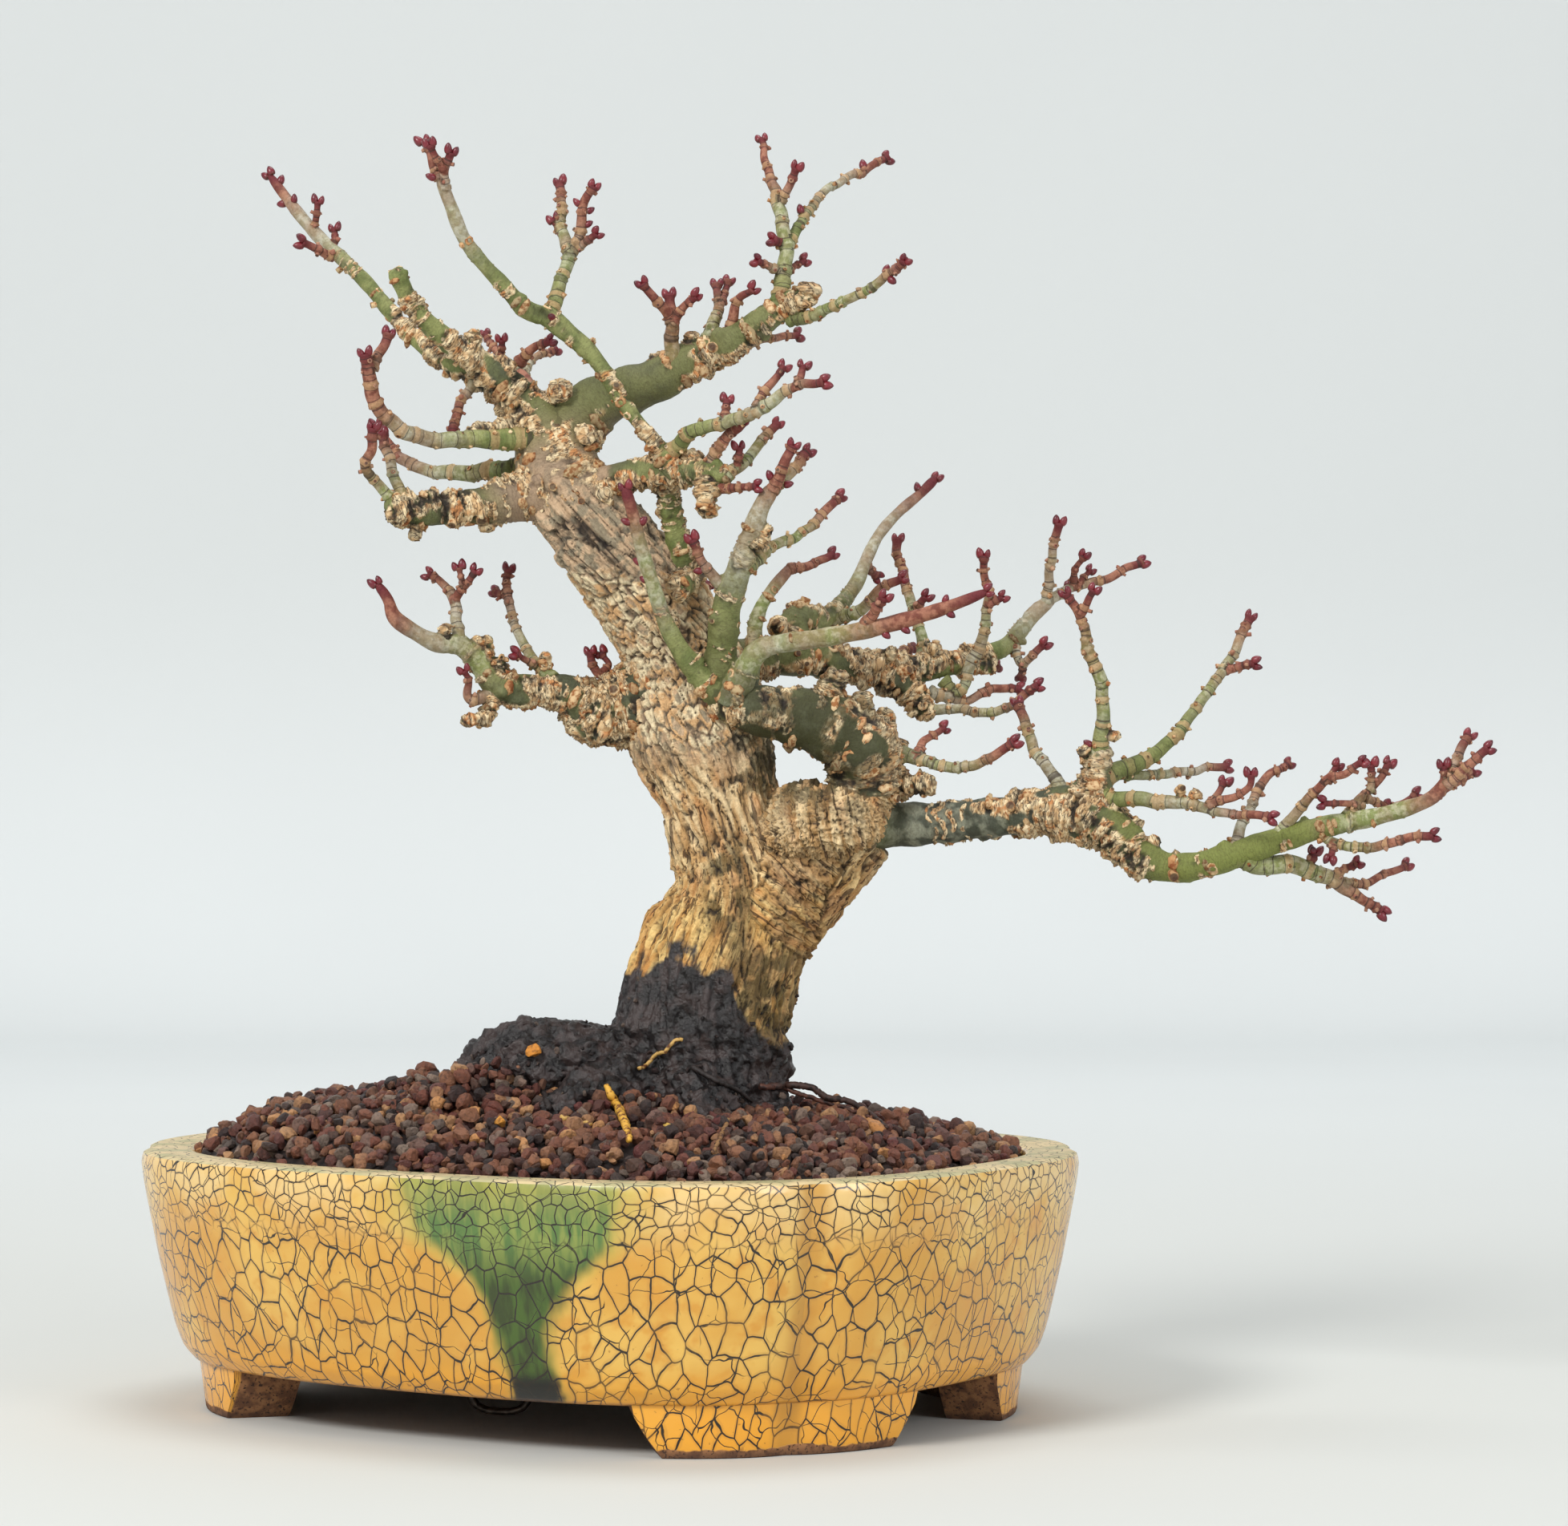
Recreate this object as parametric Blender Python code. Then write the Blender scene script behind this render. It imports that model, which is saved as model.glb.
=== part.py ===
import math
import random
from collections import Counter
from itertools import combinations

import bmesh
import bpy
from mathutils import Quaternion, Vector
from mathutils.geometry import delaunay_2d_cdt
from mathutils.kdtree import KDTree

MM = 0.001

# The view that the tree was drawn from: eye distance, eye height and eye offset from the pot centre
EYE_DISTANCE = 1500.0
EYE_HEIGHT = 200.0
EYE_ACROSS = 54.5

# Smallest distance between two corners, in metres, and how far a cutter runs past a face
WELD = 1e-6
CUT_PAST = 5.0
SHARP_ANGLE = math.radians(50)

# Pot
POT_TURN = math.radians(-32.4)
POT_HALF_LONG = 143.5
POT_HALF_SHORT = 121.0
POT_SQUARENESS = 2.69
NOTCH_ANGLE = math.radians(31.5)
NOTCHES = (NOTCH_ANGLE, -NOTCH_ANGLE, math.pi - NOTCH_ANGLE, math.pi + NOTCH_ANGLE)
NOTCH_DEPTH = 0.032
NOTCH_SPREAD = 0.085
WALL_BOTTOM = 15.0
FLOOR_TOP = 22.0
RIM_TOP = 80.5
QUADRANT_FIRST = 6
QUADRANT_SECOND = 11
CLUSTERING = 1.45

# Pot profile: height, inset from the rim outline, share of the notch depth
OUTSIDE = [
    (WALL_BOTTOM, 19.0, 0.5), (16.0, 15.5, 0.8), (20.5, 11.8, 1.0), (28.0, 9.2, 1.0),
    (47.0, 5.0, 1.0), (69.0, 1.0, 1.0), (77.0, 0.0, 1.0), (79.8, 0.6, 1.0), (RIM_TOP, 2.2, 0.9),
]
INSIDE = [
    (80.3, 14.5, 0.2), (79.2, 16.8, 0.0), (76.5, 17.2, 0.0), (72.0, 13.0, 0.0), (66.0, 10.5, 0.0),
    (46.0, 13.5, 0.0), (27.0, 18.5, 0.0), (FLOOR_TOP, 24.0, 0.0),
]

# Bracket feet, one at each notch
FOOT_TOP_HALF = 45.0
FOOT_BOTTOM_HALF = 35.5
FOOT_TOP = 19.0
FOOT_OUTER_TOP_INSET = 16.2
FOOT_OUTER_BOTTOM_INSET = 18.5
FOOT_INNER_INSET = 36.0
FOOT_STEPS = 8
FOOT_RADIUS = 121.0
FOOT_NOTCH = 0.8

# Holes in the pot floor, in the pot's own axes
DRAIN_PLACES = [(-48.0, 0.0), (48.0, 0.0)]
DRAIN_RADIUS = 10.0
DRAIN_SIDES = 24
WIRE_HOLE_RADIUS = 2.6
WIRE_HOLE_SIDES = 10
WIRE_HOLES = [(-40.0, -66.0), (-20.0, -70.0)]

# Drainage mesh screens
SCREEN_SIDE = 32.0
SCREEN_THICKNESS = 1.0
SCREEN_CELLS = 3
SCREEN_BAR = 1.6
SCREEN_LIFT = 0.3

# Tie wire: out of the soil, down through one hole, along under the floor and up through the other
WIRE_RADIUS = 1.1
WIRE_GAP = 1.0
WIRE_PATH = [
    (-14, -32, 52), (-30, -52, 34), (-40, -66, 25), (-40, -66, 14), (-37, -66, 8.5), (-33, -67, 7),
    (-27, -69, 7), (-23, -70, 8.5), (-20, -70, 14), (-20, -70, 25), (-12, -54, 34), (-2, -36, 52),
]

# Soil
FIT_GAP = 0.5
ROOT_GAP = 1.0
SOIL_BOTTOM = 23.8
SOIL_EDGE = 78.3
SOIL_RISE = 19.0
SOIL_RUN_LEFT = 20.0
SOIL_RUN_RIGHT = 46.0
SLOPE_START = 40.0
SLOPE_WIDTH = 120.0
GRAIN_STEP = 7.6
GRAIN_ROW = 6.6
GRAIN_JITTER = 1.2
GRAIN_MARGIN = 4.2
GRAIN_LIFT = 2.6
GRAIN_DIP = 0.9
GRAIN_UNEVEN = (0.7, 1.3)
LOOSE_GRAINS = 22
LOOSE_GRAIN_RADIUS = 3.0
LOOSE_GRAIN_SIZES = (0.8, 1.3)
LOOSE_GRAIN_SINK = 0.35
LOOSE_GRAIN_INSETS = (26.0, 70.0)
SEED = 11

# Root plug in the soil: across, toward the viewer, radius and depth
PLUG_CENTRE = (25.0, 2.0)
PLUG_RADIUS = 33.0
PLUG_BOTTOM = 42.0
PLUG_TOP = 90.0
PLUG_HOLE_TOP = 140.0
PLUG_SIDES = 24

# Tree. Each point is across, up, toward the viewer and radius, in millimetres in the picture plane
TRUNK = [
    (25, 70, 2, 33), (25, 92, 2, 31), (27, 106, 1, 28.5), (29, 120, 0, 27), (34, 136, 0, 25.5),
    (39, 150, 0, 24.5), (40, 163, 1, 21.5), (37, 175, 1, 18.5), (34, 188, 1, 18.5),
    (31, 200, 0, 21), (27, 212, 0, 22), (24, 226, 0, 20), (20, 238, 1, 17.5), (13, 250, 2, 17),
    (4, 262, 4, 16), (-5, 273, 6, 14.5), (-13, 284, 6, 14), (-17, 295, 5, 12.5), (-19, 304, 3, 10),
]
LIMBS = [
    [(42, 152, 0, 23), (52, 163, 2, 19), (62, 172, 5, 14), (68, 181, 7, 11.5), (76, 184, 8, 10.5),
     (84, 182, 7, 9)],
    [(50, 168, 2, 14), (54, 180, 4, 11), (60, 184, 6, 10), (68, 184, 7, 9)],
    [(78, 184, 9, 9), (80, 194, 13, 10.5), (79, 203, 16, 11.5), (71, 210, 18, 10.5), (60, 214, 19, 9.5),
     (49, 216, 20, 8), (39, 218, 19, 6.5), (32, 221, 16, 5)],
    [(76, 183, 8, 9.5), (87, 181, 6, 7.5), (98, 181, 8, 6.6), (110, 182, 10, 6.3), (124, 183.5, 14, 6.2),
     (136, 184.5, 18, 7.2), (148, 184, 23, 9), (157, 179, 27, 7.5), (165, 171, 30, 5.6),
     (174, 167.5, 32, 4.7), (184, 168, 35, 4.3), (197, 172, 38, 4.2), (212, 177, 41, 3.7),
     (225, 180.5, 44, 3.1), (238, 183, 46, 2.6), (249, 186, 48, 2.3), (257, 189.5, 50, 2),
     (262, 196, 52, 1.6)],
    [(148, 184, 23, 8), (151, 192, 24, 6), (152, 199, 25, 4.2), (153, 205, 26, 3)],
    [(22, 228, -2, 12), (36, 231, -9, 8), (50, 233, -14, 6.5), (62, 233, -18, 6), (76, 230, -23, 5.4),
     (88, 228.5, -28, 5.2), (100, 230, -33, 4.2), (112, 232, -38, 3.2), (123, 236, -43, 2.8),
     (128, 241, -46, 2.5),
     (133, 247, -49, 2.3), (138, 251, -51, 2.1)],
    [(86, 228, -27, 5), (93, 223, -28, 4.6), (98, 217.5, -27, 3.6), (100, 214.5, -27, 2.5)],
    [(18, 222, 0, 15), (5, 217, 1, 12), (-4, 216.5, 3, 10.6), (-9, 219, 5, 8), (-15, 222, 7, 5.6),
     (-24, 222.5, 9, 5),
     (-31, 223, 11, 5), (-36.5, 226, 13, 4.2), (-40, 231, 14, 3.6), (-46, 236.5, 16, 3.1),
     (-54, 237.5, 19, 2.7),
     (-61, 241, 22, 2.3), (-67, 245.5, 25, 2.3), (-69, 251, 26, 1.5), (-72.5, 256, 27, 1.4)],
    [(-13, 285, 6, 11), (-24, 284, 9, 8.5), (-36, 281, 13, 6.2), (-47, 279.5, 17, 5.3),
     (-58, 279, 21, 4.8),
     (-69.5, 278.5, 26, 4.6)],
    [(-17, 296, 5, 10), (-22, 306, 4, 8.5), (-29, 314, 2, 6), (-39, 320.5, -1, 4.3), (-50, 325, -6, 3),
     (-58, 330.5, -10, 2.7), (-66, 338, -14, 2.3), (-75, 349, -19, 2.2), (-83, 357, -23, 2.1),
     (-90, 363.5, -27, 2),
     (-97, 371.5, -31, 1.8), (-102, 378, -34, 1.5), (-106, 383.5, -36, 1.1)],
    [(-30, 316, 4, 5.5), (-40, 324.5, 8, 4.4), (-50, 331.5, 12, 3.4), (-57.5, 338, 16, 2.9),
     (-62.5, 345, 19, 2.7),
     (-67, 354, 22, 2.7)],
    [(-15, 300, 3, 10), (-7, 310, 1, 8.7), (4, 315.5, 1, 7.6), (14, 319, 3, 7), (24, 324, 5, 6),
     (35, 329.5, 7, 5.1),
     (46, 336.5, 9, 4.4), (54, 342, 11, 4), (61, 345.5, 13, 3.4)],
    [(-6, 284, 8, 8), (4, 289, 13, 4.8), (14, 290, 18, 4.4), (23, 291, 22, 4.2), (31, 290.5, 26, 3.8),
     (37, 290, 29, 2.7)],
    [(25, 256, 9, 5), (22, 266, 11, 3.6), (19.5, 278, 13, 3.3), (17, 288, 16, 3.3)],
    [(20, 292, 21, 4), (14, 300, 23, 2.4), (8.5, 307, 24, 2), (3, 314, 25, 2.1), (-1.5, 322, 25, 2.3),
     (-6.5, 328.5, 25, 2.6), (-14, 335, 25, 3), (-19, 339, 26, 3), (-26, 341.5, 28, 2.7),
     (-33, 349, 31, 2.3),
     (-40, 356.5, 34, 2.1), (-45.5, 364, 37, 2), (-49.5, 374, 40, 1.9), (-53, 383, 43, 1.5)],
    [(33, 222, 16, 6), (35, 235, 20, 4.9), (36.5, 248, 24, 4.6), (40, 259, 27, 3.9), (44, 270, 30, 3.2),
     (47, 279, 33, 2.7), (51, 286, 35, 2.3)],
    [(38, 219, 20, 6), (41.5, 227, 23, 4.2), (46.5, 235, 26, 3.2), (55, 237.5, 28, 2.8),
     (66, 239, 31, 2.8),
     (80, 241.5, 34, 2.6), (92, 244.5, 37, 2.3), (105, 248.5, 41, 2.1), (118, 253.5, 45, 1.8)],
    [(36, 219, 18, 5), (30, 225, 22, 3.6), (23, 234, 25, 3), (17.5, 244, 28, 2.4), (13.5, 256, 31, 2.1),
     (10, 267, 34, 2), (7.5, 277, 36, 1.8), (5, 286, 38, 1.6)],
    [(40, 221, 6, 5.5), (44.5, 232, 4, 3), (46, 245, 2, 2.1), (50, 253, 0, 1.8), (57, 261.5, -4, 1.7)],
    [(57, 238, -15, 4.5), (58.5, 245, -18, 4.6), (66, 245, -22, 3.5), (71, 248, -26, 2.7),
     (77, 256, -31, 2.2), (80, 263, -35, 1.9),
     (84, 271, -40, 1.7), (90, 278, -45, 1.6), (97, 284, -50, 1.5), (102, 289, -54, 1.4)],
    [(20, 226, -14, 8), (23, 233, -32, 5.4), (25, 240, -48, 4.3), (21, 247, -62, 3.1),
     (17, 254, -74, 2.2)],
    [(-11, 288, -2, 8), (-14, 296, -20, 5.2), (-18, 304, -36, 4), (-23, 313, -50, 3),
     (-28, 322, -62, 2)],
    [(10, 252, -8, 9), (3, 259, -26, 4.6), (-1, 266, -42, 3.4), (-3, 276, -56, 2.4),
     (-8, 284, -68, 1.7)],
]

# Twigs that end in a pair of buds
TWIGS = [
    [(-92, 366, -28, 1.3), (-91.5, 370, -27, 1.1), (-91, 375, -26, 1)],
    [(-86, 360, -25, 1.3), (-85.5, 367, -27, 0.9)],
    [(-86, 358, -24, 1.6), (-91, 360, -20, 1.4), (-96, 362, -17, 1.2)],
    [(-51, 379, 42, 1.5), (-51.5, 386, 45, 1.4), (-49.5, 391, 47, 1.2)],
    [(-53, 382, 43, 1.5), (-55.5, 388, 42, 1.3), (-58, 394, 41, 1.1)],
    [(-51.5, 385, 45, 1.2), (-54, 389, 47, 1.1), (-55.5, 393, 48, 1)],
    [(-19, 339, 25, 2.6), (-16, 346, 22, 2.2), (-14, 354, 19, 2), (-12, 359, 17, 2.2),
     (-14.5, 366, 13, 1.7),
     (-15, 374, 9, 1.5), (-15.5, 381, 5, 1.4)],
    [(-12, 359, 17, 1.9), (-9, 364, 19, 1.8), (-8.3, 372, 21, 1.5), (-5, 380.5, 23, 1.3)],
    [(-12, 359, 17, 1.6), (-8, 362, 20, 1.3), (-4, 365.5, 23, 1.1)],
    [(-14.5, 365, 13, 1.4), (-17.5, 369, 11, 1)],
    [(-28, 325, 3, 2), (-24, 329, 8, 1.4), (-18, 332, 12, 1.3)],
    [(-34, 321, 2, 1.6), (-34, 327, 3, 1.1), (-33.5, 332, 5, 1)],
    [(-41, 322, 0, 1.8), (-44.5, 315, 4, 1.5), (-48, 308, 8, 1.5), (-49, 302, 12, 1.6)],
    [(-24, 301, 10, 4), (-37, 301, 14, 3), (-50, 300.5, 20, 2.5), (-61, 302, 26, 2.4),
     (-69, 306.5, 30, 2.4),
     (-73.5, 313, 33, 2.3), (-75, 320, 36, 2.2), (-76, 327.5, 39, 1.6)],
    [(-74, 323, 36, 1.9), (-71.5, 328, 35, 1.6), (-69, 334, 34, 1.5)],
    [(-24, 292, 2, 4.5), (-36, 291, -3, 3), (-48, 290.5, -8, 2.4), (-57, 291.5, -12, 2),
     (-65, 295, -16, 1.9),
     (-70, 301, -19, 1.7), (-73, 306, -21, 1.5)],
    [(-64, 281, 24, 2), (-67, 289, 22, 1.7), (-70, 298, 20, 1.6), (-71, 303, 18, 1.4)],
    [(-67, 281, 24, 2), (-72, 287, 27, 1.7), (-76, 293, 30, 1.5), (-74, 298, 32, 1.5),
     (-74, 305, 33, 1.5)],
    [(53, 343, 11, 3.2), (54.5, 353, 8, 2.6), (55, 363, 5, 2.3), (53, 375, 1, 2), (50, 383, -3, 1.5),
     (48, 390, -8, 1.2),
     (47.5, 395, -11, 1)],
    [(53.5, 375, 1, 1.5), (56, 380, 3, 1.3), (58.5, 385, 5, 1.2)],
    [(55.5, 361, 5, 1.9), (59.5, 368, 0, 1.6), (66, 376.5, -9, 1.4), (73, 382, -18, 1.3),
     (80, 385, -26, 1.3),
     (86.5, 389, -33, 1.2)],
    [(54, 353, 8, 1.6), (50, 355, 12, 1.3), (46, 357, 16, 1.1)],
    [(55, 353, 8, 1.5), (58, 355, 4, 1.1), (61, 357, 1, 1)],
    [(54.5, 362, 5, 1.6), (51, 363.5, 9, 1.3)],
    [(56, 338.5, 11, 2.4), (65, 340, 17, 1.9), (73, 344, 23, 1.6), (84, 350, 31, 1.5),
     (92, 357, 38, 1.3)],
    [(41, 330, 8, 1.7), (47.5, 331.5, 4, 1.3), (54, 333, -2, 1.2), (59, 333.5, -7, 1)],
    [(20, 320, 5, 3), (19.7, 332, 9, 2.3), (19.5, 339, 12, 2), (14.5, 344, 16, 1.5),
     (10.5, 349, 19, 1.3)],
    [(19.5, 337, 12, 2), (18.5, 346, 10, 1.6)],
    [(19.8, 337, 12, 1.7), (23.5, 342.5, 14, 1.3), (27, 346, 16, 1.2)],
    [(31, 332, 6, 2.6), (34, 341, 2, 1.7), (33.5, 349, -3, 1.2)],
    [(34, 341, 2, 1.5), (37, 350, -6, 1)],
    [(38, 335, 7, 2), (40, 344, 10, 1.4), (45, 348, 13, 1)],
    [(18, 296, 21, 3), (22, 299.5, 26, 2.5), (28, 304, 31, 2.2), (37, 306.5, 37, 2),
     (46, 310, 42, 2.1), (53, 314.5, 45, 1.8),
     (59, 317.5, 48, 1.5), (67, 319, 52, 1.3)],
    [(46, 311, 42, 1.7), (50, 318, 39, 1.4), (54.5, 323, 37, 1.1)],
    [(58.5, 317, 48, 1.4), (61, 324, 46, 1)],
    [(36, 306.5, 36, 1.6), (37, 313, 34, 1.1)],
    [(31, 293, 26, 2), (35.5, 300, 31, 1.7), (42, 307, 38, 1.7)],
    [(36, 289, 28, 2.3), (42, 294, 24, 1.8), (47.5, 300, 20, 1.7), (52.5, 306, 16, 1.4)],
    [(40, 292, 26, 1.4), (40, 299, 29, 1)],
    [(34, 286, 27, 2), (40, 285.5, 32, 1.3), (45.5, 286, 36, 1)],
    [(-47, 238, 16, 2.2), (-47.5, 244, 13, 1.8), (-48.5, 251, 10, 1.7), (-52.5, 256, 7, 1.3),
     (-57, 259, 5, 1.2)],
    [(-48.5, 250.5, 10, 1.5), (-46, 254, 12, 1.3), (-42, 260, 15, 1)],
    [(-45.5, 255.5, 13, 1.1), (-47, 261, 14, 0.8)],
    [(-18, 226, 8, 2.8), (-23, 232, 4, 1.9), (-28, 240, 0, 1.5), (-30.5, 246, -3, 1.4),
     (-31.5, 253, -6, 1.4),
     (-31.3, 260.5, -9, 1.1)],
    [(-31.5, 252, -6, 1.3), (-36, 253, -9, 1.1)],
    [(-21, 229.5, 5, 1.3), (-25, 231.5, 8, 1.1), (-29, 234, 11, 0.8)],
    [(4, 229, -4, 2), (-1, 226.8, -4, 1.6), (-5, 230, -4, 1.4), (-5.5, 234, -4, 1.2)],
    [(-2, 228, -4, 1.3), (0, 231, -5, 1), (-3, 234.5, -6, 0.9)],
    [(-34, 223, 12, 2.6), (-40, 219.5, 16, 2), (-43.5, 220, 18, 1.6), (-44, 225, 20, 1.1),
     (-45.5, 229, 22, 0.9)],
    [(51, 285, 35, 2), (54, 292, 37, 1.7), (57, 299, 38, 1.4)],
    [(51, 285, 35, 2), (57, 291, 31, 1.8), (62, 297, 28, 1.6)],
    [(43, 261, 28, 2.4), (50, 266.5, 22, 1.8), (58, 270.5, 16, 1.6), (66, 277, 9, 1.5),
     (72, 283, 4, 1.4)],
    [(56, 260.5, -3, 1.6), (63, 261.5, -7, 1.4), (69.5, 265.5, -11, 1.3)],
    [(37, 253, 24, 2.6), (32, 259, 27, 1.8), (29, 263, 29, 1.5), (26, 269.5, 31, 1.4)],
    [(80, 243, 34, 2), (83, 248, 38, 1.6), (86, 252, 41, 1.5)],
    [(80, 262, -35, 1.5), (84, 258, -38, 1.3)],
    [(70, 244.5, -25, 2.3), (78, 248, -20, 2), (84, 254, -16, 1.7), (92, 258, -12, 1.3)],
    [(98, 233, -33, 2.4), (97, 240, -37, 1.8), (94.5, 249, -42, 1.7), (91.5, 258, -47, 1.6),
     (90, 265, -50, 1.5), (89.5, 270, -52, 1.5)],
    [(95.5, 247, -41, 1.5), (98.5, 252, -38, 1.1)],
    [(104, 226, -33, 2.2), (109, 222.5, -32, 1.7), (113.5, 232, -32, 2), (117, 241, -31, 1.7),
     (118.5, 252, -30, 1.4), (117, 258, -29, 1.3),
     (117, 264.5, -28, 1.2)],
    [(118, 249, -30, 1.2), (122.5, 252, -28, 1)],
    [(97, 217, -27, 2), (108, 216.7, -25, 1.5), (116, 215.7, -23, 1.5), (125, 218, -21, 1.4),
     (133, 224, -19, 1.4)],
    [(100, 222, -30, 2.2), (110, 219.5, -33, 1.4), (118, 222.5, -36, 1.4), (128, 223.5, -40, 1.3)],
    [(127, 239.5, -45, 1.8), (127, 235, -43, 1.4), (129, 231, -41, 1.4), (135, 237, -38, 1.2)],
    [(129, 231, -41, 1.3), (128.5, 226.5, -48, 1.2)],
    [(137, 251, -51, 1.9), (145, 254.5, -54, 1.5), (155, 257.5, -57, 1.4), (166, 262.5, -61, 1.3)],
    [(136.5, 250, -50, 1.8), (137, 258, -47, 1.5), (138.5, 266, -44, 1.4), (140, 275, -41, 1.4)],
    [(144.5, 254.5, -54, 1.4), (146, 261, -51, 1), (148, 265, -49, 0.9)],
    [(146, 255, -54, 1.2), (150, 260, -57, 0.8)],
    [(88, 203, 13, 3), (97, 201.5, 17, 2), (105, 198.5, 20, 1.7), (112, 199, 23, 1.6),
     (119, 202, 26, 1.5), (126, 206, 29, 1.4)],
    [(96, 202.5, 17, 1.6), (99, 207.5, 13, 1.2), (104, 211, 10, 1)],
    [(142, 189, 20, 3), (138.5, 196, 17, 2), (133.5, 203, 13, 1.8), (130.5, 210, 10, 1.7),
     (127.5, 219, 6, 1.5)],
    [(153, 204, 26, 2.8), (154, 213, 29, 2.2), (153.7, 222, 31, 2), (152.5, 228, 33, 2),
     (149.5, 236, 35, 1.7),
     (147.5, 244, 37, 1.5), (142.5, 253.5, 39, 1.3)],
    [(147, 246.5, 38, 1.3), (151.5, 254, 41, 1.1)],
    [(152, 194, 24, 4), (159, 198, 21, 2.9), (167, 201.5, 17, 2.5), (175, 207, 13, 2.1),
     (183, 217, 8, 1.8), (190, 226.5, 4, 1.7),
     (196, 237, 0, 1.6), (200, 246, -4, 1.5)],
    [(192, 229, 3, 1.5), (197, 230, 5, 1.3), (201, 231, 7, 1.2)],
    [(157, 197.5, 22, 2), (166, 196, 16, 1.5), (176, 196.5, 9, 1.4), (185, 198.5, 3, 1.3),
     (192, 199, -2, 1.3)],
    [(151, 190, 25, 3.5), (158, 189, 30, 2.5), (168, 188.5, 35, 2.3), (178, 187.5, 40, 2),
     (188, 185.5, 45, 1.5), (198, 183.8, 50, 1.3),
     (206, 183, 54, 1.3)],
    [(187, 187, 45, 1.5), (194, 189.5, 48, 1.2), (199.5, 192, 50, 1.1), (200, 196, 51, 1.1)],
    [(187, 187, 45, 1.3), (191.5, 194, 42, 1)],
    [(195, 173, 38, 2.2), (198, 182, 34, 1.6), (201, 189, 30, 1.5), (206, 196, 27, 1.3),
     (212, 200, 24, 1.1)],
    [(209, 178, 41, 2), (214, 184, 44, 1.7), (219, 190, 47, 1.5), (224.5, 195, 49, 1.3),
     (230, 196.5, 51, 1.2), (235, 200, 53, 1)],
    [(224, 194, 49, 1.2), (227, 199, 47, 0.9)],
    [(230, 183, 45, 2), (234, 188, 42, 1.6), (238, 192, 39, 1.3), (243.5, 200, 36, 1.1)],
    [(237.5, 191, 39, 1.2), (237.5, 200, 41, 1.1)],
    [(235, 186.5, 42, 1.2), (229, 187, 47, 1), (223, 187.5, 50, 0.9)],
    [(236, 189, 41, 1.3), (243, 186.5, 36, 1.1), (252, 189.5, 32, 1)],
    [(262, 195, 52, 1.6), (265, 204, 50, 1.5), (268, 209, 48, 1.4)],
    [(261, 193, 52, 1.7), (268, 199.5, 55, 1.5), (274, 204, 57, 1.3)],
    [(258, 190.5, 50, 1.5), (264, 193.5, 47, 1.4), (269, 197, 45, 1.2)],
    [(260, 193, 51, 1.3), (260.5, 199.5, 53, 1.1)],
    [(221, 178.5, 43, 1.8), (227, 174.5, 46, 1.5), (236, 173.8, 49, 1.5), (247, 176, 53, 1.4),
     (257, 177.5, 56, 1.3)],
    [(226, 175, 46, 1.3), (225.5, 170, 48, 1)],
    [(196, 171, 38, 3.4), (205, 168, 37, 3), (214, 168, 36, 2.8), (222, 165, 34, 2.5),
     (229, 161.5, 32, 2.1), (234, 157.5, 31, 1.6),
     (241, 154, 30, 1.4)],
    [(229, 162.5, 32, 1.6), (236, 162.8, 28, 1.3), (243, 165.5, 25, 1.2), (248.5, 168.5, 22, 1.1)],
    [(226, 164.5, 33, 1.6), (230, 167, 36, 1.2), (233.5, 169, 39, 1)],
    [(218, 167, 35, 1.8), (220, 172, 36, 1.3)],
    [(17, 254, -74, 1.7), (10, 259, -84, 1.4), (3, 262, -92, 1.2)],
    [(22, 245, -58, 1.9), (28, 250, -70, 1.5), (31, 256, -82, 1.2)],
    [(24, 238, -44, 2), (32, 241, -56, 1.5), (37, 246, -68, 1.2)],
    [(-27, 320, -60, 1.6), (-24, 326, -72, 1.3), (-17, 329, -82, 1.1)],
    [(-28, 322, -62, 1.6), (-34, 327, -72, 1.3), (-39, 334, -80, 1.1)],
    [(-18, 304, -37, 2), (-11, 311, -48, 1.5), (-4, 316, -58, 1.2)],
    [(-3, 275, -54, 1.7), (4, 281, -64, 1.3), (7, 288, -72, 1.1)],
    [(-1, 266, -43, 1.8), (-4, 268, -56, 1.4), (0, 272, -68, 1.2)],
    [(112, 232, -38, 1.8), (118, 229.5, -46, 1.4), (121, 229.5, -52, 1)],
    [(88, 228.5, -29, 2), (90, 234, -42, 1.5), (95, 236, -54, 1.2)],
]

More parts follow.
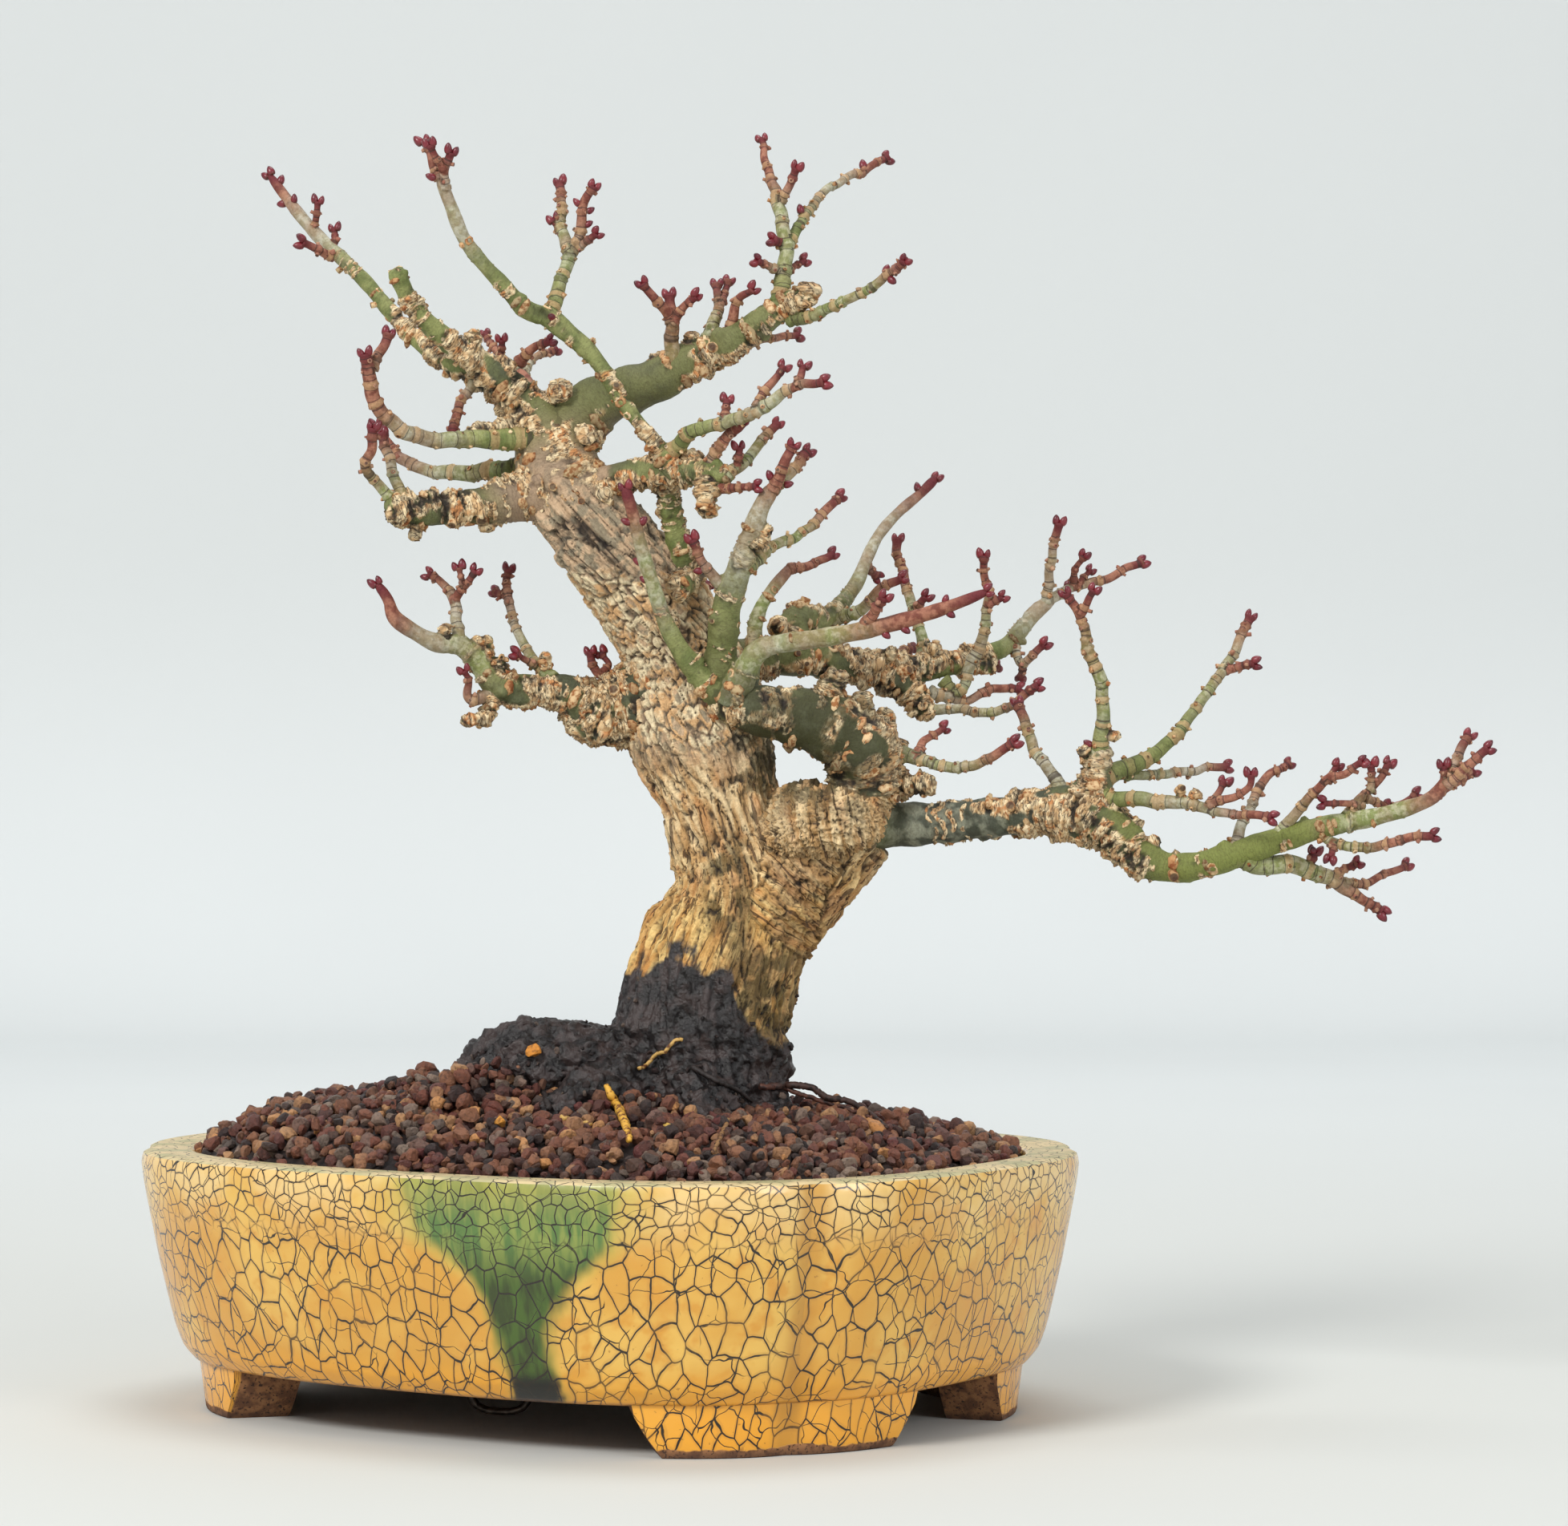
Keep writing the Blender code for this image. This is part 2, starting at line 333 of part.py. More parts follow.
# Cut stubs and knuckles: where one starts, where it ends and its radius there
STUBS = [
    ((-60, 276, 21), (-60.5, 270, 22), 1.9), ((-38, 277, 13), (-38.5, 272.5, 15), 2.0),
    ((-43, 325, 8), (-42, 335, 9), 2.0), ((61, 345, 13), (62, 349, 15), 3.0),
    ((53, 242, -14), (52.5, 242.5, -4), 2.2), ((46, 268, 30), (49.5, 274, 31), 2.4),
    ((68, 220, 18), (71, 228, 20), 3.4), ((79, 210, 17), (79, 222, 18), 2.9),
    ((86, 207, 14), (86, 216, 12), 2.8), ((88, 195, 12), (90, 207, 10), 3.0),
    ((84, 192, 12), (101.5, 193, 18), 3.0), ((31, 287, 27), (30, 277.5, 30), 2.7),
    ((32, 223, 16), (42, 219, 25), 2.6), ((24, 292, 22), (27, 297, 24), 2.6),
    ((13, 318, 3), (14, 327.5, 5), 1.9), ((25, 325, 5), (26, 334, 7), 2.3),
    ((-37, 213.8, 16), (-46, 213, 20), 1.7), ((-37, 221, 13), (-37.5, 214, 16), 2.0),
    ((-34, 228, 12), (-34.5, 233, 13), 2.3), ((-41, 233, 14), (-41, 239.5, 15), 1.8),
    ((-38, 233, 14), (-38, 239.5, 12), 1.6), ((-51, 238, 18), (-51.5, 242.5, 19), 1.7),
    ((-20, 229, 7), (-20, 234.5, 8), 1.5), ((153, 209, 27), (158.5, 208.5, 29), 1.6),
    ((151, 199, 25), (147.5, 205, 27), 2.0), ((165, 173, 30), (172, 176, 31), 1.8),
    ((178, 188, 40), (178, 192.5, 41), 1.2), ((181, 187.5, 41), (183, 191, 42), 1.3),
    ((23, 256, 16), (22, 255, 24), 3.4), ((18, 243, 17), (18, 243, 23), 2.6),
    ((99, 236, -33), (103, 235.5, -30), 2.0), ((84, 233, -24), (89, 235, -20), 1.8),
    ((120, 230, -36), (112, 230, -36), 1.8), ((-30, 305, 6), (-44, 303, 14), 2.2),
    ((-6, 300, 6), (-7, 302, 16), 3.0), ((-13, 310, 2), (-16, 318, 10), 3.2),
]

# Roots above and in the soil
ROOTS = [
    [(16, 104, 6, 17), (2, 103, 8, 15.5), (-14, 104, 9, 16.5), (-28, 102.5, 10, 16),
     (-40, 96, 11, 13), (-50, 86, 12, 9), (-57, 76, 12, 6)],
    [(14, 98, 14, 15), (2, 96, 24, 12.5), (-8, 93, 34, 10), (-15, 87, 43, 7.5), (-20, 80, 50, 5)],
    [(26, 98, 14, 17), (28, 94, 28, 12), (27, 87, 40, 9), (25, 79, 50, 6)],
    [(40, 98, 8, 13), (47, 92, 16, 9), (53, 84, 24, 6)],
    [(22, 100, -10, 17), (14, 95, -30, 12), (8, 88, -46, 8), (4, 78, -58, 5)],
    [(34, 100, -10, 16), (46, 93, -26, 10), (56, 84, -38, 6.5)],
]
FINE_ROOTS = [
    [(48, 97, 12, 2.2), (57, 96.5, 14, 1.3), (63, 96, 15, 1.2), (68, 92.5, 16, 1.2),
     (75, 91.5, 17, 1.1), (81, 87.5, 18, 1.1), (85, 83, 18, 1)],
    [(-1, 103, 34, 2.4), (3, 97, 38, 1.6), (6, 91, 41, 1.5), (7, 84, 43, 1.4)],
]

# Buds on the red shoots: across, up, toward the viewer
SIDE_BUDS = [
    (-102, 381, -35), (-101, 374, -33), (-98, 375.5, -31), (-54.5, 382, 44), (-9.8, 374, 21),
    (-6, 371.5, 21), (-6.5, 367.5, 20),
    (-17, 338.5, 29), (60, 370.5, -1), (79, 386, -25), (86, 352, 32), (88, 349, 34),
    (104.5, 251.5, 41), (105.5, 246.5, 41), (86, 239, 36),
    (91.5, 242.5, 37), (50, 290, 36), (57.5, 287, 35), (5, 274, 36), (11, 275, 36),
    (96.5, 284.5, -50), (27, 258.5, 28),
    (-7, 259, 22), (-4, 254, 20), (148, 206, 27), (143, 255, -54), (219.5, 172.5, 37), (242, 188, 37),
]
BUD_LENGTH = 4.4
BUD_WIDTH = 1.75
BUD_SPLAY = 0.5
BUD_ROLL = 0.37
BUD_WIDEST = 0.35
BUD_TIP = 0.25
BUD_CENTRE = 0.4
BUD_DEPTH_SPREAD = 0.5
SIDE_BUD_SINK = 0.9
SIDE_BUD_LEAN = 0.7
SIDE_BUD_CENTRE = 0.15

# Sides of the tubes, as bevel steps
TRUNK_SIDES = 4
LIMB_SIDES = 2
THIN_LIMB_SIDES = 1
TWIG_SIDES = 0
THIN_LIMB = 6.0
KNOB_SHARE = 0.13
STUB_FOOT = 1.1

# Short knobs on the older wood
SPURS_PER_LIMB = 2
SPUR_FROM = 1.8
SPUR_TO = 9.0
SPUR_RADIUS = 2.2
SPUR_SHARE = 0.55
SPUR_TAPER = 0.8
SPUR_RISE = 1.6

# Thinning of the joined meshes
TREE_TRIANGLES = 10900
SOIL_TRIANGLES = 3300
LONGEST_SLIVER = 2.2
LONGEST_SOIL_SLIVER = 0.9
LEAST_FACING = 0.35
LEAST_NORMAL = 1e-12
TOUCHING = 0.004
DRAW_BACK = 0.05


def clear_scene():
    for obj in list(bpy.data.objects):
        bpy.data.objects.remove(obj, do_unlink=True)


def collection(name, hidden=False):
    made = bpy.data.collections.new(name)
    bpy.context.scene.collection.children.link(made)
    made.hide_render = hidden
    return made


def material(name, colour, roughness):
    made = bpy.data.materials.new(name)
    made.use_nodes = True
    shader = made.node_tree.nodes["Principled BSDF"]
    shader.inputs["Base Color"].default_value = (*colour, 1)
    shader.inputs["Roughness"].default_value = roughness
    made.diffuse_color = (*colour, 1)
    return made


def object_from(bm, name, group, look=None):
    bmesh.ops.recalc_face_normals(bm, faces=bm.faces)
    mesh = bpy.data.meshes.new(name)
    bm.to_mesh(mesh)
    bm.free()
    obj = bpy.data.objects.new(name, mesh)
    group.objects.link(obj)
    if look:
        mesh.materials.append(look)
    return obj


def in_space(across, up, toward):
    """Slides a point of the picture plane along its line of sight, so it stays put in the view."""
    share = (EYE_DISTANCE - toward) / EYE_DISTANCE
    return Vector((
        EYE_ACROSS + (across - EYE_ACROSS) * share, -toward, EYE_HEIGHT + (up - EYE_HEIGHT) * share,
    ))


def tube(points, radii, name, group, sides):
    """A closed tube through the points, as a bevelled curve turned into a mesh."""
    curve = bpy.data.curves.new(name, "CURVE")
    curve.dimensions = "3D"
    curve.bevel_depth = MM
    curve.bevel_resolution = sides
    curve.use_fill_caps = True
    spline = curve.splines.new("POLY")
    spline.points.add(len(points) - 1)
    for knot, point, radius in zip(spline.points, points, radii):
        knot.co = (*(point * MM), 1)
        knot.radius = radius
    guide = bpy.data.objects.new(name, curve)
    bpy.context.scene.collection.objects.link(guide)
    bpy.context.view_layer.update()
    mesh = bpy.data.meshes.new_from_object(guide.evaluated_get(bpy.context.evaluated_depsgraph_get()))
    bpy.data.objects.remove(guide, do_unlink=True)
    bm = bmesh.new()
    bm.from_mesh(mesh)
    bmesh.ops.remove_doubles(bm, verts=bm.verts, dist=WELD)
    return object_from(bm, name, group)


def knobbly(radii, draw):
    """Radii with a seeded swelling at each joint, where old buds left their rings."""
    return [radius * (1 + draw.uniform(-KNOB_SHARE, KNOB_SHARE)) for radius in radii]


def bud(place, way, name, group):
    """One bud: a short body pointed at both ends."""
    bm = bmesh.new()
    bmesh.ops.create_uvsphere(bm, u_segments=4, v_segments=2, radius=1)
    turn = way.to_track_quat("Z", "Y") @ Quaternion((0, 0, 1), BUD_ROLL)
    for vert in bm.verts:
        body = Vector((vert.co.x * BUD_WIDTH, vert.co.y * BUD_WIDTH, vert.co.z * BUD_LENGTH * 0.5))
        vert.co = (place + turn @ body) * MM
    return object_from(bm, name, group)


def union(base, group, solver="EXACT"):
    """Joins the collection's objects to the base and removes them."""
    joined = base.modifiers.new("join", "BOOLEAN")
    joined.operation = "UNION"
    joined.operand_type = "COLLECTION"
    joined.collection = group
    joined.solver = solver
    apply_modifiers(base)
    for obj in list(group.objects):
        bpy.data.objects.remove(obj, do_unlink=True)


def difference(base, group, solver="EXACT"):
    cut = base.modifiers.new("cut", "BOOLEAN")
    cut.operation = "DIFFERENCE"
    cut.operand_type = "COLLECTION"
    cut.collection = group
    cut.solver = solver
    apply_modifiers(base)


def shade_smooth(obj):
    obj.data.shade_smooth()
    obj.data.set_sharp_from_angle(angle=SHARP_ANGLE)


def apply_modifiers(obj):
    bpy.context.view_layer.update()
    made = bpy.data.meshes.new_from_object(obj.evaluated_get(bpy.context.evaluated_depsgraph_get()))
    obj.modifiers.clear()
    obj.data = made


def one_body(obj):
    """Keeps the outer skin only, so that a gap closed in between joined shapes is solid wood."""
    bm = bmesh.new()
    bm.from_mesh(obj.data)
    left = set(bm.verts)
    skins = []
    while left:
        skin = {left.pop()}
        front = list(skin)
        while front:
            vert = front.pop()
            near = {edge.other_vert(vert) for edge in vert.link_edges} & left
            left -= near
            skin |= near
            front.extend(near)
        skins.append(skin)
    skins.sort(key=len)
    inner = [vert for skin in skins[:-1] for vert in skin]
    bmesh.ops.delete(bm, geom=inner, context="VERTS")
    bm.to_mesh(obj.data)
    bm.free()


def thin_out(obj, triangles, longest):
    """Collapses the short edges that joining leaves, shortest first, down to a count of triangles."""
    bm = bmesh.new()
    bm.from_mesh(obj.data)
    wide = [face for face in bm.faces if len(face.verts) > 3]
    chords = Counter(chord for face in wide for chord in chords_of(face))
    chords.update(frozenset(edge.verts) for edge in bm.edges)
    doubled = [face for face in wide if any(chords[chord] > 1 for chord in chords_of(face))]
    bmesh.ops.poke(bm, faces=doubled)
    bmesh.ops.triangulate(bm, faces=bm.faces)
    while len(bm.faces) > triangles:
        short = [edge for edge in bm.edges if edge.calc_length() < longest * MM]
        short.sort(key=lambda edge: edge.calc_length())
        spare = (len(bm.faces) - triangles) // 2 + 1
        taken = set()
        merges = {}
        for edge in short[:spare * 3]:
            if len(merges) >= spare:
                break
            rings = [{other.other_vert(vert) for other in vert.link_edges} for vert in edge.verts]
            if taken & (rings[0] | rings[1]) or len(rings[0] & rings[1]) != 2:
                continue
            for kept, moved in (edge.verts, reversed(edge.verts)):
                if keeps_facing(kept, moved):
                    merges[moved] = kept
                    taken |= rings[0] | rings[1]
                    break
        if not merges:
            break
        bmesh.ops.weld_verts(bm, targetmap=merges)
    open_touching(bm)
    bm.to_mesh(obj.data)
    bm.free()


def open_touching(bm):
    """Draws back each corner that lies on another one, so that two skins never touch."""
    tree = KDTree(len(bm.verts))
    for index, vert in enumerate(bm.verts):
        tree.insert(vert.co, index)
    tree.balance()
    bm.normal_update()
    touching = [vert for vert in bm.verts if len(tree.find_range(vert.co, TOUCHING * MM)) > 1]
    for vert in touching:
        vert.co -= vert.normal * DRAW_BACK * MM


def chords_of(face):
    """The pairs of a face's corners that aren't neighbours in it."""
    own = {frozenset(edge.verts) for edge in face.edges}
    return {frozenset(pair) for pair in combinations(face.verts, 2)} - own


def keeps_facing(kept, moved):
    """Whether moving one end of an edge onto the other turns no face over."""
    for face in moved.link_faces:
        if kept in face.verts:
            continue
        before = normal([vert.co for vert in face.verts])
        after = normal([kept.co if vert is moved else vert.co for vert in face.verts])
        if after.length < LEAST_NORMAL:
            return False
        if before.length and before.normalized().dot(after.normalized()) < LEAST_FACING:
            return False
    return True


def normal(corners):
    return (corners[1] - corners[0]).cross(corners[2] - corners[0])


def outline_angles():
    """Angles round the pot, closer together at the four notches."""
    first = [1 - (1 - i / QUADRANT_FIRST) ** CLUSTERING for i in range(QUADRANT_FIRST)]
    second = [(i / QUADRANT_SECOND) ** CLUSTERING for i in range(QUADRANT_SECOND + 1)]
    rest = math.pi / 2 - NOTCH_ANGLE
    quarter = [NOTCH_ANGLE * share for share in first] + [NOTCH_ANGLE + rest * share for share in second]
    half = quarter + [math.pi - a for a in reversed(quarter[1:-1])]
    return half + [math.pi] + [math.pi + a for a in half[1:]]


def pot_point(angle, inset, notch, height):
    """A point of the lobed pot in its turned place."""
    along = abs(math.cos(angle) / (POT_HALF_LONG - inset))
    across = abs(math.sin(angle) / (POT_HALF_SHORT - inset))
    reach = (along ** POT_SQUARENESS + across ** POT_SQUARENESS) ** (-1 / POT_SQUARENESS)
    for centre in NOTCHES:
        off = (angle - centre + math.pi) % (2 * math.pi) - math.pi
        reach *= 1 - notch * NOTCH_DEPTH * math.exp(-abs(off) / NOTCH_SPREAD)
    world = angle + POT_TURN
    return Vector((reach * math.cos(world), reach * math.sin(world), height))


def loft(bm, rings):
    """Faces between each pair of rings with the same number of points."""
    rows = [[bm.verts.new(point * MM) for point in ring] for ring in rings]
    for low, high in zip(rows, rows[1:]):
        for i in range(len(low)):
            j = (i + 1) % len(low)
            bm.faces.new((low[i], low[j], high[j], high[i]))
    return rows


def build_pot(parts, cutters, look):
    angles = outline_angles()
    bm = bmesh.new()
    profile = OUTSIDE + INSIDE
    rows = loft(bm, [[pot_point(a, inset, notch, z) for a in angles] for z, inset, notch in profile])
    bm.faces.new(rows[0])
    bm.faces.new(rows[-1])
    pot = object_from(bm, "pot", parts, look)
    joins = collection("foot_joins", True)
    for number, centre in enumerate(NOTCHES):
        build_foot(centre, f"foot_{number}", joins)
    union(pot, joins)
    for number, (x, y) in enumerate(DRAIN_PLACES):
        place = turned(x, y)
        post(place, DRAIN_RADIUS, 0, FLOOR_TOP + CUT_PAST, f"drain_{number}", cutters, DRAIN_SIDES)
    for number, (x, y) in enumerate(WIRE_HOLES):
        place = Vector((x, y, 0))
        name = f"wire_hole_{number}"
        post(place, WIRE_HOLE_RADIUS, 0, FLOOR_TOP + CUT_PAST, name, cutters, WIRE_HOLE_SIDES)
    difference(pot, cutters)
    shade_smooth(pot)


def turned(x, y):
    """A place in the pot's own axes, in world axes."""
    cos = math.cos(POT_TURN)
    sin = math.sin(POT_TURN)
    return Vector((x * cos - y * sin, x * sin + y * cos, 0))


def post(place, radius, low, high, name, group, sides):
    """An upright cylinder."""
    bm = bmesh.new()
    wide = radius * MM
    tall = (high - low) * MM
    bmesh.ops.create_cone(bm, cap_ends=True, segments=sides, radius1=wide, radius2=wide, depth=tall)
    bmesh.ops.translate(bm, verts=bm.verts, vec=Vector((place.x, place.y, (low + high) / 2)) * MM)
    object_from(bm, name, group)


def build_foot(centre, name, group):
    """A bracket foot that follows the wall past one notch, with slanted ends."""
    rings = []
    for step in range(FOOT_STEPS + 1):
        share = 2 * step / FOOT_STEPS - 1
        top = centre + share * FOOT_TOP_HALF / FOOT_RADIUS
        low = centre + share * FOOT_BOTTOM_HALF / FOOT_RADIUS
        rings.append([
            pot_point(top, FOOT_OUTER_TOP_INSET, FOOT_NOTCH, FOOT_TOP),
            pot_point(low, FOOT_OUTER_BOTTOM_INSET, FOOT_NOTCH, 0),
            pot_point(low, FOOT_INNER_INSET, 0, 0),
            pot_point(top, FOOT_INNER_INSET, 0, FOOT_TOP),
        ])
    bm = bmesh.new()
    rows = loft(bm, rings)
    bm.faces.new(rows[0])
    bm.faces.new(rows[-1])
    return object_from(bm, name, group)


def box(sides, centre, name, group, look=None):
    bm = bmesh.new()
    bmesh.ops.create_cube(bm, size=1)
    for vert in bm.verts:
        vert.co = (Vector([co * side for co, side in zip(vert.co, sides)]) + centre) * MM
    return object_from(bm, name, group, look)


def build_screens(parts, look):
    """A square of coarse mesh over each drain hole."""
    pitch = (SCREEN_SIDE - SCREEN_BAR) / SCREEN_CELLS
    cell = pitch - SCREEN_BAR
    middle = FLOOR_TOP + SCREEN_LIFT + SCREEN_THICKNESS / 2
    for number, (x, y) in enumerate(DRAIN_PLACES):
        place = turned(x, y) + Vector((0, 0, middle))
        sides = (SCREEN_SIDE, SCREEN_SIDE, SCREEN_THICKNESS)
        screen = box(sides, place, f"drain_screen_{number + 1}", parts, look)
        holes = collection(f"screen_holes_{number}", True)
        for row in range(SCREEN_CELLS):
            for column in range(SCREEN_CELLS):
                off = Vector((column - (SCREEN_CELLS - 1) / 2, row - (SCREEN_CELLS - 1) / 2, 0)) * pitch
                box((cell, cell, SCREEN_THICKNESS + CUT_PAST), place + off, "cell", holes)
        difference(screen, holes)
        for obj in list(holes.objects):
            bpy.data.objects.remove(obj, do_unlink=True)


def soil_height(x, y, edge_gap):
    """Height of the mound above the rim line, steeper at the left."""
    left = min(1, max(0, (SLOPE_START - x) / SLOPE_WIDTH))
    run = SOIL_RUN_RIGHT + (SOIL_RUN_LEFT - SOIL_RUN_RIGHT) * left
    return SOIL_EDGE + SOIL_RISE * (1 - math.exp(-edge_gap / run))


def build_soil(parts, cutters, look, draw):
    angles = outline_angles()[::2]
    under = [(z, inset + FIT_GAP, notch) for z, inset, notch in reversed(INSIDE[1:-1])]
    wall = [(SOIL_BOTTOM, INSIDE[-1][1], 0)] + under
    throat = [pot_point(a, INSIDE[1][1] + FIT_GAP, 0, 0) for a in angles]
    bm = bmesh.new()
    rows = loft(bm, [[pot_point(a, inset, notch, z) for a in angles] for z, inset, notch in wall])
    bm.faces.new(rows[0])
    places = [Vector((point.x, point.y)) for point in throat]
    lifts = [0] * len(places)
    count = len(places)
    half = int(POT_HALF_LONG / GRAIN_ROW) + 1
    for row in range(-half, half + 1):
        for column in range(-half, half + 1):
            x = (column + 0.5 * (row % 2)) * GRAIN_STEP + draw.uniform(-GRAIN_JITTER, GRAIN_JITTER)
            y = row * GRAIN_ROW + draw.uniform(-GRAIN_JITTER, GRAIN_JITTER)
            crest = (column - row // 2) % 3 == row % 3 * 2 % 3
            if edge_gap_at(x, y) > GRAIN_MARGIN:
                places.append(Vector((x, y)))
                lifts.append(GRAIN_LIFT * draw.uniform(*GRAIN_UNEVEN) if crest else -GRAIN_DIP)
    edges = [(i, (i + 1) % count) for i in range(count)]
    found, _, faces, _, _, _ = delaunay_2d_cdt(places, edges, [list(range(count))], 1, WELD)
    top = []
    for index, spot in enumerate(found):
        if index < count:
            top.append(rows[-1][index])
            continue
        gap = edge_gap_at(spot.x, spot.y)
        height = soil_height(spot.x, spot.y, gap) + lifts[index] * min(1, gap / GRAIN_STEP)
        top.append(bm.verts.new(Vector((spot.x, spot.y, height)) * MM))
    for face in faces:
        bm.faces.new([top[index] for index in face])
    soil = object_from(bm, "soil", parts, look)
    grains = collection("grain_joins", True)
    for number in range(LOOSE_GRAINS):
        angle = draw.uniform(0, 2 * math.pi)
        place = pot_point(angle, draw.uniform(*LOOSE_GRAIN_INSETS), 0, 0)
        gap = edge_gap_at(place.x, place.y)
        place.z = soil_height(place.x, place.y, gap) + LOOSE_GRAIN_RADIUS * LOOSE_GRAIN_SINK
        grain(place, LOOSE_GRAIN_RADIUS * draw.uniform(*LOOSE_GRAIN_SIZES), f"grain_{number}", grains)
    union(soil, grains, "MANIFOLD")
    difference(soil, cutters, "MANIFOLD")
    one_body(soil)
    thin_out(soil, SOIL_TRIANGLES, LONGEST_SOIL_SLIVER)


def grain(place, radius, name, group):
    bm = bmesh.new()
    bmesh.ops.create_icosphere(bm, subdivisions=1, radius=radius * MM)
    bmesh.ops.translate(bm, verts=bm.verts, vec=place * MM)
    object_from(bm, name, group)


def edge_gap_at(x, y):
    """How far a place lies inside the rim's inner edge."""
    angle = math.atan2(y, x) - POT_TURN
    edge = pot_point(angle, INSIDE[1][1] + FIT_GAP, 0, 0)
    return math.hypot(edge.x, edge.y) - math.hypot(x, y)


def build_tree(parts, cutters, look, draw):
    joins = collection("tree_joins", True)
    places = [in_space(u, v, w) for u, v, w, _ in TRUNK]
    tree = tube(places, [r for *_, r in TRUNK], "tree", parts, TRUNK_SIDES)
    tree.data.materials.append(look)
    for number, points in enumerate(LIMBS):
        places = [in_space(u, v, w) for u, v, w, _ in points]
        radii = knobbly([r for *_, r in points], draw)
        sides = LIMB_SIDES if radii[0] > THIN_LIMB else THIN_LIMB_SIDES
        tube(places, radii, f"limb_{number}", joins, sides)
        add_spurs(places, radii, f"spur_{number}", joins, draw)
    for number, points in enumerate(TWIGS):
        places = [in_space(u, v, w) for u, v, w, _ in points]
        radii = knobbly([r for *_, r in points], draw)
        twig_with_buds(places, radii, f"twig_{number}", joins, draw)
    for number, (start, end, radius) in enumerate(STUBS):
        ends = [in_space(*start), in_space(*end)]
        tube(ends, [radius * STUB_FOOT, radius], f"stub_{number}", joins, TWIG_SIDES)
    for number, place in enumerate(SIDE_BUDS):
        place, way = on_nearest_shoot(in_space(*place))
        bud(place, way, f"side_bud_{number}", joins)
    plug = Vector((PLUG_CENTRE[0], -PLUG_CENTRE[1], 0))
    post(plug, PLUG_RADIUS, PLUG_BOTTOM, PLUG_TOP, "plug", joins, PLUG_SIDES)
    around = PLUG_RADIUS + ROOT_GAP
    post(plug, around, PLUG_BOTTOM - FIT_GAP, PLUG_HOLE_TOP, "plug_hole", cutters, PLUG_SIDES)
    for number, points in enumerate(ROOTS + FINE_ROOTS):
        places = [in_space(u, v, w) for u, v, w, _ in points]
        radii = [r for *_, r in points]
        sides = TWIG_SIDES if number >= len(ROOTS) else LIMB_SIDES
        tube(places, radii, f"root_{number}", joins, sides)
        past_end = places + [places[-1] + (places[-1] - places[-2]).normalized() * FIT_GAP]
        wider = [r + ROOT_GAP for r in radii]
        tube(past_end, wider + [wider[-1]], f"root_hole_{number}", cutters, sides)
    union(tree, joins, "MANIFOLD")
    one_body(tree)
    thin_out(tree, TREE_TRIANGLES, LONGEST_SLIVER)
    shade_smooth(tree)


def add_spurs(places, radii, name, group, draw):
    """Short knobs along the older part of a limb."""
    for number in range(SPURS_PER_LIMB):
        index = draw.randrange(1, len(places) - 1)
        along = (places[index] - places[index - 1]).normalized()
        side = along.orthogonal().normalized()
        turn = draw.uniform(0, 2 * math.pi)
        across = along.cross(side)
        way = side * math.cos(turn) + across * math.sin(turn)
        radius = radii[index]
        if not SPUR_FROM <= radius <= SPUR_TO:
            continue
        size = min(SPUR_RADIUS, radius * SPUR_SHARE)
        ends = [places[index], places[index] + way * (radius + SPUR_RISE)]
        tube(ends, [size, size * SPUR_TAPER], f"{name}_{number}", group, TWIG_SIDES)


def twig_with_buds(places, radii, name, group, draw):
    """A twig whose end swells into one bud, with its pair beside it, spread mostly across the view."""
    along = (places[-1] - places[-2]).normalized()
    depth = draw.uniform(-BUD_DEPTH_SPREAD, BUD_DEPTH_SPREAD)
    spread = Vector((along.z, depth, -along.x)).normalized() * draw.choice((-1, 1))
    first = (along + spread * BUD_SPLAY).normalized()
    second = (along - spread * BUD_SPLAY).normalized()
    end = places[-1]
    tip = [end + first * BUD_LENGTH * BUD_WIDEST, end + first * BUD_LENGTH]
    tube(places + tip, radii + [BUD_WIDTH, BUD_WIDTH * BUD_TIP], name, group, TWIG_SIDES)
    bud(end + second * BUD_LENGTH * BUD_CENTRE, second, name + "_bud", group)


def on_nearest_shoot(place):
    """The place moved to the skin of the nearest shoot, and the way out from it."""
    best = None
    for points in LIMBS + TWIGS:
        for low, high in zip(points, points[1:]):
            start = in_space(*low[:3])
            span = in_space(*high[:3]) - start
            share = min(1, max(0, (place - start).dot(span) / span.length_squared))
            axis = start + span * share
            if best is None or (place - axis).length < best[0]:
                radius = low[3] + (high[3] - low[3]) * share
                best = ((place - axis).length, axis, radius, span.normalized())
    _, axis, radius, along = best
    out = place - axis
    out = (out - along * out.dot(along)).normalized()
    way = (out + along * SIDE_BUD_LEAN).normalized()
    return axis + out * radius * SIDE_BUD_SINK + way * BUD_LENGTH * SIDE_BUD_CENTRE, way


def centre_on_origin(parts):
    """Moves every part so that the origin is the bottom centre of the whole object's box."""
    corners = [vert.co for obj in parts.objects for vert in obj.data.vertices]
    low = Vector([min(co[axis] for co in corners) for axis in range(3)])
    high = Vector([max(co[axis] for co in corners) for axis in range(3)])
    shift = Vector(((low.x + high.x) / 2, (low.y + high.y) / 2, low.z))
    for obj in parts.objects:
        for vert in obj.data.vertices:
            vert.co -= shift


